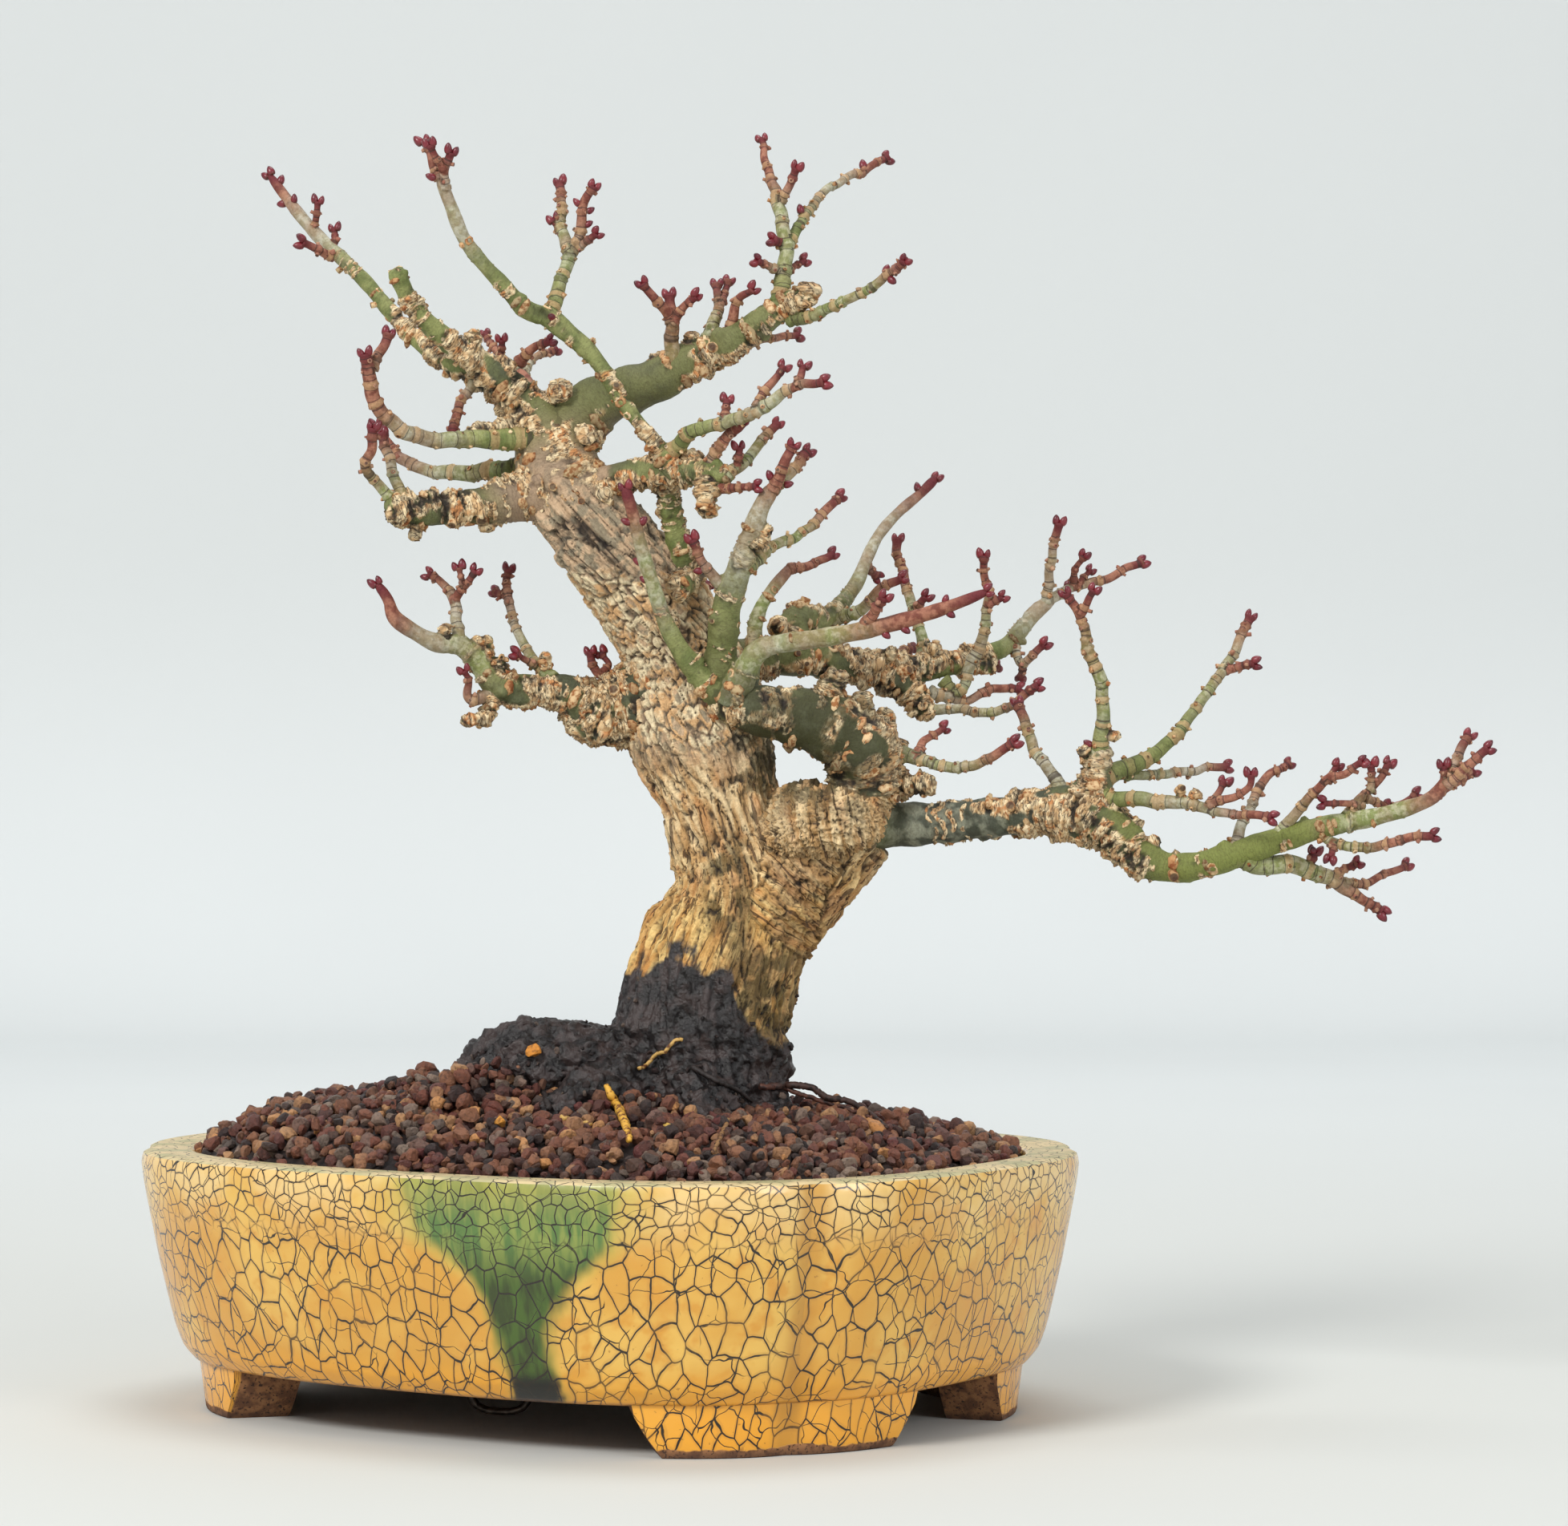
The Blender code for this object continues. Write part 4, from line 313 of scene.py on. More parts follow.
    [(-3, 275, -54, 1.7), (4, 281, -64, 1.3), (7, 288, -72, 1.1)],
    [(-1, 266, -43, 1.8), (-4, 268, -56, 1.4), (0, 272, -68, 1.2)],
    [(112, 232, -38, 1.8), (118, 229.5, -46, 1.4), (121, 229.5, -52, 1)],
    [(88, 228.5, -29, 2), (90, 234, -42, 1.5), (95, 236, -54, 1.2)],
]

# Cut stubs and knuckles: where one starts, where it ends and its radius there
STUBS = [
    ((-60, 276, 21), (-60.5, 270, 22), 1.9), ((-38, 277, 13), (-38.5, 272.5, 15), 2.0),
    ((-43, 325, 8), (-42, 335, 9), 2.0), ((61, 345, 13), (62, 349, 15), 3.0),
    ((53, 242, -14), (52.5, 242.5, -4), 2.2), ((46, 268, 30), (49.5, 274, 31), 2.4),
    ((68, 220, 18), (71, 228, 20), 3.4), ((79, 210, 17), (79, 222, 18), 2.9),
    ((86, 207, 14), (86, 216, 12), 2.8), ((88, 195, 12), (90, 207, 10), 3.0),
    ((84, 192, 12), (101.5, 193, 18), 3.0), ((31, 287, 27), (30, 277.5, 30), 2.7),
    ((32, 223, 16), (42, 219, 25), 2.6), ((24, 292, 22), (27, 297, 24), 2.6),
    ((13, 318, 3), (14, 327.5, 5), 1.9), ((25, 325, 5), (26, 334, 7), 2.3),
    ((-37, 213.8, 16), (-46, 213, 20), 1.7), ((-37, 221, 13), (-37.5, 214, 16), 2.0),
    ((-34, 228, 12), (-34.5, 233, 13), 2.3), ((-41, 233, 14), (-41, 239.5, 15), 1.8),
    ((-38, 233, 14), (-38, 239.5, 12), 1.6), ((-51, 238, 18), (-51.5, 242.5, 19), 1.7),
    ((-20, 229, 7), (-20, 234.5, 8), 1.5), ((153, 209, 27), (158.5, 208.5, 29), 1.6),
    ((151, 199, 25), (147.5, 205, 27), 2.0), ((165, 173, 30), (172, 176, 31), 1.8),
    ((178, 188, 40), (178, 192.5, 41), 1.2), ((181, 187.5, 41), (183, 191, 42), 1.3),
    ((23, 256, 16), (22, 255, 24), 3.4), ((18, 243, 17), (18, 243, 23), 2.6),
    ((99, 236, -33), (103, 235.5, -30), 2.0), ((84, 233, -24), (89, 235, -20), 1.8),
    ((120, 230, -36), (112, 230, -36), 1.8), ((-30, 305, 6), (-44, 303, 14), 2.2),
    ((-6, 300, 6), (-7, 302, 16), 3.0), ((-13, 310, 2), (-16, 318, 10), 3.2),
]

# Roots above and in the soil
ROOTS = [
    [(16, 104, 6, 17), (2, 103, 8, 15.5), (-14, 104, 9, 16.5), (-28, 102.5, 10, 16), (-40, 96, 11, 13),
     (-50, 86, 12, 9), (-57, 76, 12, 6)],
    [(14, 98, 14, 15), (2, 96, 24, 12.5), (-8, 93, 34, 10), (-15, 87, 43, 7.5), (-20, 80, 50, 5)],
    [(26, 98, 14, 17), (28, 94, 28, 12), (27, 87, 40, 9), (25, 79, 50, 6)],
    [(40, 98, 8, 13), (47, 92, 16, 9), (53, 84, 24, 6)],
    [(22, 100, -10, 17), (14, 95, -30, 12), (8, 88, -46, 8), (4, 78, -58, 5)],
    [(34, 100, -10, 16), (46, 93, -26, 10), (56, 84, -38, 6.5)],
]

# Buds on the red shoots: across, up, toward the viewer
SIDE_BUDS = [
    (-102, 381, -35), (-101, 374, -33), (-98, 375.5, -31), (-54.5, 382, 44), (-9.8, 374, 21), (-6, 371.5, 21),
    (-6.5, 367.5, 20), (-17, 338.5, 29), (60, 370.5, -1), (79, 386, -25), (86, 352, 32), (88, 349, 34),
    (104.5, 251.5, 41), (105.5, 246.5, 41), (86, 239, 36), (91.5, 242.5, 37), (50, 290, 36), (57.5, 287, 35),
    (5, 274, 36), (11, 275, 36), (96.5, 284.5, -50), (27, 258.5, 28), (-7, 259, 22), (-4, 254, 20),
    (148, 206, 27), (143, 255, -54), (219.5, 172.5, 37), (242, 188, 37),
]

# Bulges of the old wood beyond the main lines: the flare under the low limb and the burl where it starts
BULGES = [
    [(48, 141, 0, 13), (57, 155, 1, 13), (70, 165.5, 3, 10.5), (83, 176, 6, 7)],
    [(50, 174, 8, 9), (60, 180, 14, 11), (71, 182, 17, 11), (83, 185, 15, 8.5)],
    [(8, 252, 8, 9), (-2, 262, 11, 9.5), (-12, 270, 11, 8)],
]

# The skins of the old wood: voxel size and number of triangles for the trunk and for the limbs
SKINS = {"trunk": (0.62, 172000), "limbs": (0.5, 184000)}
BUDDED_LIMBS = [7, 9, 16, 17, 19]
# The trunk's skin also holds these limbs, and the first ones of them have rings of wrinkles like the burl
TRUNK_LIMBS = [0, 1, 2]
RINGED_LIMBS = [0, 1]

# How crusty a limb is, as shares of its length and values from 0, smooth and green, to 1, all tan rings
CRUST = {
    2: [(0, 0.8), (0.3, 0.65), (0.45, 0.25), (1, 0.45)],
    3: [(0, 0.02), (0.17, 0.02), (0.26, 0.5), (0.32, 0.75), (0.47, 0.85), (0.52, 0.02), (0.8, 0.02), (1, 0.1)],
    4: [(0, 0.65), (1, 0.35)],
    5: [(0, 0.35), (0.35, 0.3), (0.5, 0.75), (0.74, 0.7), (0.84, 0.25), (1, 0.2)], 6: [(0, 0.7)],
    7: [(0, 0.7), (0.5, 0.55), (1, 0.3)], 8: [(0, 0.25), (1, 0.5)],
    9: [(0, 0.5), (0.45, 0.75), (0.6, 0.2), (1, 0.08)], 10: [(0, 0.45), (1, 0.25)],
    11: [(0, 0.2), (0.25, 0.12), (0.45, 0.3), (0.6, 0.75), (0.8, 0.3), (1, 0.6)], 12: [(0, 0.6), (1, 0.7)],
    13: [(0, 0.65)], 14: [(0, 0.5), (0.4, 0.2), (1, 0.1)],
    15: [(0, 0.15), (0.55, 0.2), (0.75, 0.8), (1, 0.5)], 16: [(0, 0.35), (0.2, 0.05)],
    17: [(0, 0.15), (1, 0.1)], 18: [(0, 0.2), (1, 0.3)], 19: [(0, 0.6), (1, 0.4)],
}

# Wiry roots that lie on the soil: across, up and radius, then a tone: 0 dark, 0.5 red-brown, 1 yellow
SURFACE_ROOTS = [
    ([(50, 99, 1.3), (57, 99.6, 1.2), (63, 99, 1.1), (68, 95.5, 1.1), (75, 94.5, 1.0), (81, 91, 0.9),
      (88, 85, 0.6)], 0.1),
    ([(47, 99, 1.0), (54, 98.8, 0.8), (66, 94.5, 0.7), (73, 92.5, 0.6), (84, 88.5, 0.45)], 0.25),
    ([(-1, 99.5, 0.8), (0.5, 96.5, 1.3), (3.2, 92, 1.35), (5.2, 87, 1.2), (6.6, 80.5, 0.8)], 1.0),
    ([(23, 113.8, 0.3), (20.5, 113.2, 0.24), (17.4, 110.2, 0.3), (14.6, 109.2, 0.26), (11.6, 105.6, 0.26),
      (8.5, 104.4, 0.2)], 0.8),
    ([(-15, 89.5, 0.8), (-10, 88.5, 0.6), (-4, 87, 0.4)], 0.8),
    ([(37, 88.5, 0.7), (35, 84, 0.6), (31, 76, 0.5)], 0.55),
    ([(26, 105, 0.9), (33, 101, 0.8), (40, 98, 0.7), (46, 93, 0.5)], 0.0),
    ([(-24, 101, 1.0), (-20, 96, 1.0), (-18, 90, 0.8)], 0.0),
]

# The bright yellow one, how far from its line in the picture grains stay away, and how high roots lie
YELLOW_ROOT = 2
YELLOW_CLEARANCE = 2.9
YELLOW_RAISED = 4.0
ROOT_RAISED = 1.7

# Soil bed: its sides as height and inset, then the top as shares of the way out
BED_SIDES = [(SOIL_BOTTOM + 0.2, 26.0), (30.0, 20.0), (60.0, 13.5), (70.0, 14.5)]
BED_STEPS = [1.0, 0.97, 0.93, 0.88, 0.82, 0.75, 0.67, 0.58, 0.48, 0.37, 0.25, 0.12, 0.02]
BED_POINTS = 120
BED_DROP = 1.9
BED_TONE = 0.02

# Loose grains: their grid, how far they stray from it, the chance of one on top, their widths and shapes
GRAIN_STEP = 4.25
ROW_SHARE = 0.866
GRAIN_STRAY = 0.32
ON_TOP_CHANCE = 0.34
GRAIN_SIZES = (2.9, 3.6, 4.2, 4.6, 5.2, 5.8, 6.7)
GRAIN_SHAPES = 6
GRAIN_FACETS = 9
GRAIN_CREASE = 16

# Crumbs on the roots, between heights in metres, and piles of grains: middle, half-widths, rise and count
CRUMBS = 420
CRUMB_HEIGHTS = (0.086, 0.128)
CRUMB_TONES = (0.0, 0.02, 0.05, 0.1, 0.6)
PILES = [
    ((-38.0, -30.0), (26.0, 16.0), 14.0, 190), ((-58.0, -4.0), (14.0, 26.0), 8.0, 90),
    ((10.0, -46.0), (26.0, 8.0), 5.0, 60),
]
# Bright grains: across and up, half-width and tone
BRIGHT_GRAINS = [
    ((-23.5, 110), 3.1, 0.94), ((-34, 88), 2.5, 0.95), ((18, 86.5), 1.7, 1.0), ((-10, 90), 1.5, 0.94),
]

# Upper edge of the wet stain on the wood, across and up, and the half-width of the green run by height
STAIN_EDGE = [
    (-60, 130), (-20, 131), (5, 137), (14, 139), (20, 142), (30, 138.5), (37, 136), (40, 128), (44, 117),
    (50, 115), (56, 117), (62, 118), (80, 118),
]
DRIP_HALF = [
    (0, 0), (14, 5.4), (20, 6.4), (30, 7.4), (36, 8.5), (43, 10.5), (50, 14), (57, 21), (64, 28), (80, 33),
]

# Length from a limb's last point to the end of the shoots on it, and limbs whose shoots are red for longer
LIMB_REST = [200, 200, 200, 13, 40, 30, 60, 0, 90, 0, 60, 60, 50, 50, 12, 15, 0, 0, 15, 0, 10, 10, 10]
RED_LIMBS = {16: 0.6, 19: 0.62}

# A run's columns after its place: radius, way along, way left to the tip, and a mark for rings or crust
RADIUS, ALONG, TIP, MARK = 3, 4, 5, 6

# Lines of wood: the thinnest radius, sides of the tubes, and how far each line's pattern and shade are moved on
THINNEST = 0.6
WOOD_SIDES = 24
SHOOT_SIDES = 8
WIRE_SIDES = 16
PATTERN_GAP = 137.0
SHADE_STEP = 0.618

# Marks of ringed wood and of stubs, and what the bark takes for a limb's crust
RINGED = 2.0
RINGED_FROM = 1.5
CRUST_FROM = 0.01
STUB_CRUST = 0.95
PLAIN_CRUST = 0.55
OFF_LIMB_CRUST = 0.42

# Spurs on crusty limbs: a try every so many millimetres, the radii that have them and the least way to the tip
SPUR_STEP = 2.6
SPUR_RADII = (2.4, 13)
SPUR_TIP = 34

# Heights where the trunk's net of cracks and its lumpy foot start and end, and where its long cracks end
NET_START, NET_END = (194, 212), (252, 266)
FOOT_END = (112, 128)
CRACKS_END = (274, 298)

# Knots: where they start on the trunk and how crusty it is there, the least way to the tip, the least chance
# of a row of them, and the draw up to which one is a rimmed scar or a knob
KNOTS_FROM = 256
KNOT_TIP = 26
KNOT_CHANCE = 0.13
UPPER_TRUNK_CRUST = 0.14
RIMMED_UP_TO = 0.24
KNOBS_UP_TO = 0.88

# Fixed numbers that decide about the rings, and the top of a draw of turns in radians
CHANCE_COUNT = 509
SPIN = 6.28

# A bud's outline as height and width, and its size in millimetres
BUD_PROFILE = [(0, 0.62), (0.05, 0.82), (0.2, 1), (0.42, 1), (0.66, 0.86), (0.85, 0.55), (0.96, 0.24), (1, 0)]
BUD_WIDTH = 1.34
BUD_LENGTH = 3.55

# Stage, in metres, and its colours; the far table is painted lighter to make up for the lamps' falloff
STAGE_FRONT = -16.0
STAGE_DEPTH = 18.0
STAGE_BEND = 0.35
STAGE_HEIGHT = 3.0
STAGE_WIDTH = 40.0
STAGE_ROWS = 400
TABLE_COLOUR = (209, 211, 207)
FAR_LIGHTENED_COLOUR = (236, 240, 240)
WALL_COLOUR = (222, 225, 224)
OUTER_COLOUR = (252, 252, 252)
CLOUD_COLOUR = (210, 213, 213)

# Light all round, then the lights: place and size in metres, power and colour
WORLD_COLOUR = (0.96, 0.98, 1, 1)
WORLD_LIGHT = 0.5
LIGHT_AIM = (0.0, 0.0, 0.18)
LIGHTS = [
    ("key", (-1.7, -2.2, 2.2), 1.1, 76, (1, 0.985, 0.96)),
    ("fill", (2.0, -2.2, 1.2), 1.4, 27, (0.97, 0.985, 1)),
    ("top", (0.1, 0.3, 2.4), 1.2, 17, (1, 1, 1)),
]


# ---- plain helpers

def deselect():
    bpy.ops.object.select_all(action="DESELECT")


def take(obj):
    """Makes the object the only one selected, and active."""
    deselect()
    obj.select_set(True)
    bpy.context.view_layer.objects.active = obj


def apply_modifier(obj, kind, **settings):
    take(obj)
    modifier = obj.modifiers.new(kind.lower(), kind)
    for key, value in settings.items():
        setattr(modifier, key, value)
    bpy.ops.object.modifier_apply(modifier=modifier.name)


def in_edit(obj, *steps):
    """Runs edit-mode steps on the whole mesh."""
    take(obj)
    bpy.ops.object.mode_set(mode="EDIT")
    bpy.ops.mesh.select_all(action="SELECT")
    for step in steps:
        step()
    bpy.ops.object.mode_set(mode="OBJECT")


def new_object(name, data):
    obj = bpy.data.objects.new(name, data)
    bpy.context.scene.collection.objects.link(obj)
    return obj


def welded(obj):
    """Joins doubled points and turns every face outward."""
    in_edit(
        obj,
        lambda: bpy.ops.mesh.remove_doubles(threshold=1e-6),
        lambda: bpy.ops.mesh.normals_make_consistent(inside=False),
    )
    return obj


def smooth(obj, degrees=None):
    """Smooth shading, with sharp edges kept where they turn by more than the given degrees."""
    take(obj)
    if degrees is None:
        bpy.ops.object.shade_smooth()
    else:
        bpy.ops.object.shade_smooth_by_angle(angle=math.radians(degrees))
    return obj


def points_of(obj, key="co"):
    flat = np.empty(len(obj.data.vertices) * 3, np.float32)
    obj.data.vertices.foreach_get(key, flat)
    return flat.reshape(-1, 3).astype(float)


def set_points(obj, points):
    obj.data.vertices.foreach_set("co", points.astype(np.float32).ravel())
    obj.data.update()


def set_values(obj, **named):
    for name, values in named.items():
        layer = obj.data.attributes.new(name, "FLOAT", "POINT")
        layer.data.foreach_set("value", np.asarray(values, np.float32).ravel())


def set_grain(obj, values):
    layer = obj.data.attributes.new("grain", "FLOAT_VECTOR", "POINT")
    layer.data.foreach_set("vector", np.asarray(values, np.float32).ravel())


def noise_at(x, y, z):
    return noise.noise(Vector((x, y, z)))


def share(value, low, high):
    """0 at low, 1 at high and smooth in between."""
    t = min(1.0, max(0.0, (value - low) / (high - low)))
    return t * t * (3 - 2 * t)


def in_space(across, up, toward):
    """Slides a point of the picture plane along its line of sight, so it stays put in the view."""
    part = (EYE_DISTANCE - toward) / EYE_DISTANCE
    place = Vector((EYE_ACROSS + (across - EYE_ACROSS) * part, -toward, EYE_HEIGHT + (up - EYE_HEIGHT) * part))
    return POT_CENTRE + place * MM


def finish_piece(obj, look, slot, *nodes):
    obj.data.materials.clear()
    obj.data.materials.append(look)
    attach(obj, "root")
    if nodes:
        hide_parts(*nodes)


# ---- node helpers

def srgb(red, green, blue):
    """A colour given on a 0 to 255 scale, as the shader wants it."""
    def linear(value):
        value /= 255
        return value / 12.92 if value <= 0.04045 else ((value + 0.055) / 1.055) ** 2.4
    return (linear(red), linear(green), linear(blue), 1)


class Work:
    """The node tree that the helpers below add to. new_group and new_look set it."""
    tree = None


def link(output, socket):
    Work.tree.links.new(output, socket)


def wired(made, values):
    for key, value in values.items():
        if isinstance(value, bpy.types.NodeSocket):
            link(value, made.inputs[key])
        else:
            made.inputs[key].default_value = value
    return made


def node(kind, values=None, **settings):
    made = Work.tree.nodes.new("ShaderNode" + kind)
    for key, value in settings.items():
        setattr(made, key, value)
    return wired(made, values or {})


def calc(operation, *values, clamp=False):
    return node("Math", dict(enumerate(values)), operation=operation, use_clamp=clamp).outputs[0]


def times(first, second, clamp=False):
    return calc("MULTIPLY", first, second, clamp=clamp)


def plus(first, second):
    return calc("ADD", first, second)


def minus(first, second):
    return calc("SUBTRACT", first, second)


def most(first, second):
    return calc("MAXIMUM", first, second)


def moved(operation, vector, other):
    """Vector arithmetic: SCALE takes a number, and the others take a vector."""
    key = "Scale" if operation == "SCALE" else 1
    return node("VectorMath", {0: vector, key: other}, operation=operation).outputs[0]


def parts_of(vector):
    """A place's three coordinates."""
    return node("SeparateXYZ", {0: vector}).outputs


def clouds(vector, scale, detail, rough=0.5):
    values = {"Vector": vector, "Scale": scale, "Detail": detail, "Roughness": rough}
    return node("TexNoise", values).outputs["Fac"]


def mix(factor, first, second, mode="MIX"):
    """Mixes two colours, each one a socket or a colour on the 0 to 255 scale."""
    first, second = (srgb(*value) if isinstance(value, tuple) else value for value in (first, second))
    return node("Mix", {0: factor, 6: first, 7: second}, data_type="RGBA", blend_type=mode).outputs[2]


def fade(value, low, high, to_low=0.0, to_high=1.0):
    """Maps a value smoothly from low..high to to_low..to_high."""
    values = {0: value, 1: low, 2: high, 3: to_low, 4: to_high}
    return node("MapRange", values, interpolation_type="SMOOTHSTEP", clamp=True).outputs[0]


def fall(value, low, high):
    """1 at low, 0 at high and smooth in between."""
    return fade(value, low, high, 1.0, 0.0)


def ramp(value, stops):
    made = node("ValToRGB", {0: value})
    elements = made.color_ramp.elements
    while len(elements) < len(stops):
        elements.new(0.5)
    for element, (at, colour) in zip(elements, stops):
        element.position = at
        element.color = srgb(*colour)
    return made.outputs[0]


def drawn(value, points, start, width, height):
    """Reads a measured curve at the value. Its points run from start over a width and up to a height."""
    made = node("FloatCurve", {"Value": times(minus(value, start), 1 / width)})
    places = made.mapping.curves[0].points
    while len(places) < len(points):
        places.new(0.5, 0.5)
    for place, (along, up) in zip(places, points):
        place.location = ((along - start) / width, up / height)
    made.mapping.update()
    return times(made.outputs[0], height)


def attribute(name, output="Fac"):
    return node("Attribute", attribute_name=name).outputs[output]


def attributes(*names):
    return [attribute(name) for name in names]


def stretched(vector, across, along):
    """Bark coordinates with their own scale across and along the branch."""
    return moved("MULTIPLY", vector, (across, across, along))


def millimetres():
    """Object coordinates in millimetres from the pot's centre."""
    place = node("TexCoord").outputs["Object"]
    return moved("SCALE", moved("SUBTRACT", place, POT_CENTRE), 1000.0)


def new_group(name, inputs, outputs):
    """Starts a node group and returns its inputs and its end. Each input is a number or, as None, a vector."""
    Work.tree = tree = bpy.data.node_groups.new(name, "ShaderNodeTree")
    for label, value in inputs.items():
        kind = "NodeSocketVector" if value is None else "NodeSocketFloat"
        socket = tree.interface.new_socket(name=label, in_out="INPUT", socket_type=kind)
        if value is not None:
            socket.default_value = value
    for label in outputs:
        tree.interface.new_socket(name=label, in_out="OUTPUT", socket_type="NodeSocketFloat")
    return tree.nodes.new("NodeGroupInput").outputs, tree.nodes.new("NodeGroupOutput").inputs


def patches_group():
    """Soft-edged patches from noise: a mask that is 0 below From and 1 above To."""
    start, end = new_group("patches", {"Vector": None, "Scale": 1.0, "From": 0.45, "To": 0.55}, ["Mask"])
    cloud = clouds(start["Vector"], start["Scale"], 3.0)
    link(fade(cloud, start["From"], start["To"]), end["Mask"])
    return Work.tree


def cracks_group():
    """A net of thin lines on a flat wrap: the mask is 1 on a line. Cell and Width are in the wrap's unit."""
    inputs = {"Vector": None, "Cell": 8.0, "Width": 0.5, "Wander": 5.0}
    start, end = new_group("cracks", inputs, ["Mask", "Tone"])
    wander = node("TexNoise", {"Vector": start["Vector"], "Scale": 0.075, "Detail": 2.5}).outputs["Color"]
    pushed = moved("SCALE", moved("SUBTRACT", wander, (0.5, 0.5, 0.5)), start["Wander"])
    place = moved("ADD", start["Vector"], pushed)
    values = {"Vector": place, "Scale": calc("DIVIDE", 1.0, start["Cell"]), "Randomness": 1.0}
    edge = node("TexVoronoi", values, feature="DISTANCE_TO_EDGE", voronoi_dimensions="2D").outputs["Distance"]
    off = times(edge, start["Cell"])
    link(fall(off, times(start["Width"], 0.25), times(start["Width"], 0.5)), end["Mask"])
    cell = node("TexVoronoi", values, feature="F1", voronoi_dimensions="2D").outputs["Color"]
    link(node("SeparateColor", {0: cell}).outputs[0], end["Tone"])
    return Work.tree


PATCHES = patches_group()
CRACKS = cracks_group()


def grouped(group, values):
    made = Work.tree.nodes.new("ShaderNodeGroup")
    made.node_tree = group
    return wired(made, values).outputs


def patches(vector, scale, low, high):
    return grouped(PATCHES, {"Vector": vector, "Scale": scale, "From": low, "To": high})["Mask"]


def cracks(vector, cell, width, wander=7.0):
    """The mask of the lines and the tone of each cell between them."""
    made = grouped(CRACKS, {"Vector": vector, "Cell": cell, "Width": width, "Wander": wander})
    return made["Mask"], made["Tone"]


def new_look(name, roughness, **constants):
    """A material and its shader."""
    look = bpy.data.materials.new(name)
    look.use_nodes = True
    Work.tree = look.node_tree
    shader = look.node_tree.nodes["Principled BSDF"]
    shader.inputs["Roughness"].default_value = roughness
    for key, value in constants.items():
        shader.inputs[key.replace("_", " ")].default_value = value
    return look, shader


def colour_in(shader, colour, height, strength, distance):
    """Wires the colour, and a height in millimetres as bump."""
    link(colour, shader.inputs["Base Color"])
    bump = node("Bump", {"Height": height, "Strength": strength, "Distance": distance * MM})
    link(bump.outputs[0], shader.inputs["Normal"])


# ---- branches as runs of points

def with_ends(points):
    """The points with one more beyond each end, for a smooth line through them all."""
    knots = np.array(points)
    return np.vstack([2 * knots[0] - knots[1], knots, 2 * knots[-1] - knots[-2]])


def eased(points, count_of, pull):
    """More rows between the given ones, on a smooth line through them. A larger pull makes it rounder."""
    ends = with_ends(points)
    rows = []
    for p0, p1, p2, p3 in zip(ends, ends[1:], ends[2:], ends[3:]):
        count = count_of(p1, p2)
        for t in np.arange(count) / count:
            slope1, slope2 = (p2 - p0) * pull, (p3 - p1) * pull
            rows.append(p1 * (2 * t ** 3 - 3 * t ** 2 + 1) + slope1 * (t ** 3 - 2 * t ** 2 + t)
                        + p2 * (3 * t ** 2 - 2 * t ** 3) + slope2 * (t ** 3 - t ** 2))
    rows.append(ends[-2])
    return rows


def smooth_run(points, step):
    """Place and radius every step millimetres on a smooth line through the given points."""
    ends = with_ends([(*in_space(u, v, w), r) for u, v, w, r in points])
    rows = []
    for p0, p1, p2, p3 in zip(ends, ends[1:], ends[2:], ends[3:]):
        count = max(1, round(np.linalg.norm(p2[:3] - p1[:3]) / (step * MM)))
        for t in np.arange(count) / count:
            bend = (2 * p0 - 5 * p1 + 4 * p2 - p3) * t * t + (3 * p1 - p0 - 3 * p2 + p3) * t ** 3
            rows.append((2 * p1 + (p2 - p0) * t + bend) / 2)
    rows.append(ends[-2])
    run = np.array(rows)
    run[:, RADIUS] = np.maximum(run[:, RADIUS], THINNEST)
    return run


def laid(points, rest=99.0, redness=1.0, step=1.0):
    """A run with columns for place, radius, way along, way left to the tip, and a mark: rings or crust."""
    run = smooth_run(points, step)
    gaps = np.linalg.norm(np.diff(run[:, :3], axis=0), axis=1) / MM
    along = np.concatenate([[0], np.cumsum(gaps)])
    tip = (along[-1] - along + rest) * redness
    return np.column_stack([run, along, tip, np.zeros(len(run))])


def ways_of(run):
    way = np.gradient(run[:, :3], axis=0)
    return way / np.linalg.norm(way, axis=1)[:, None]


def gather(runs):
    """All runs as one set of samples, each run with its own stretch of the bark pattern."""
    offsets = np.concatenate([np.full(len(run), PATTERN_GAP * number) for number, run in enumerate(runs)])
    seeds = np.concatenate([np.full(len(run), number * SHADE_STEP % 1) for number, run in enumerate(runs)])
    rows = np.vstack(runs)
    ways = np.vstack([ways_of(run) for run in runs])
    return {"place": rows[:, :3], "radius": rows[:, RADIUS], "along": rows[:, ALONG], "tip": rows[:, TIP],
            "mark": rows[:, MARK], "way": ways, "offset": offsets, "seed": seeds}


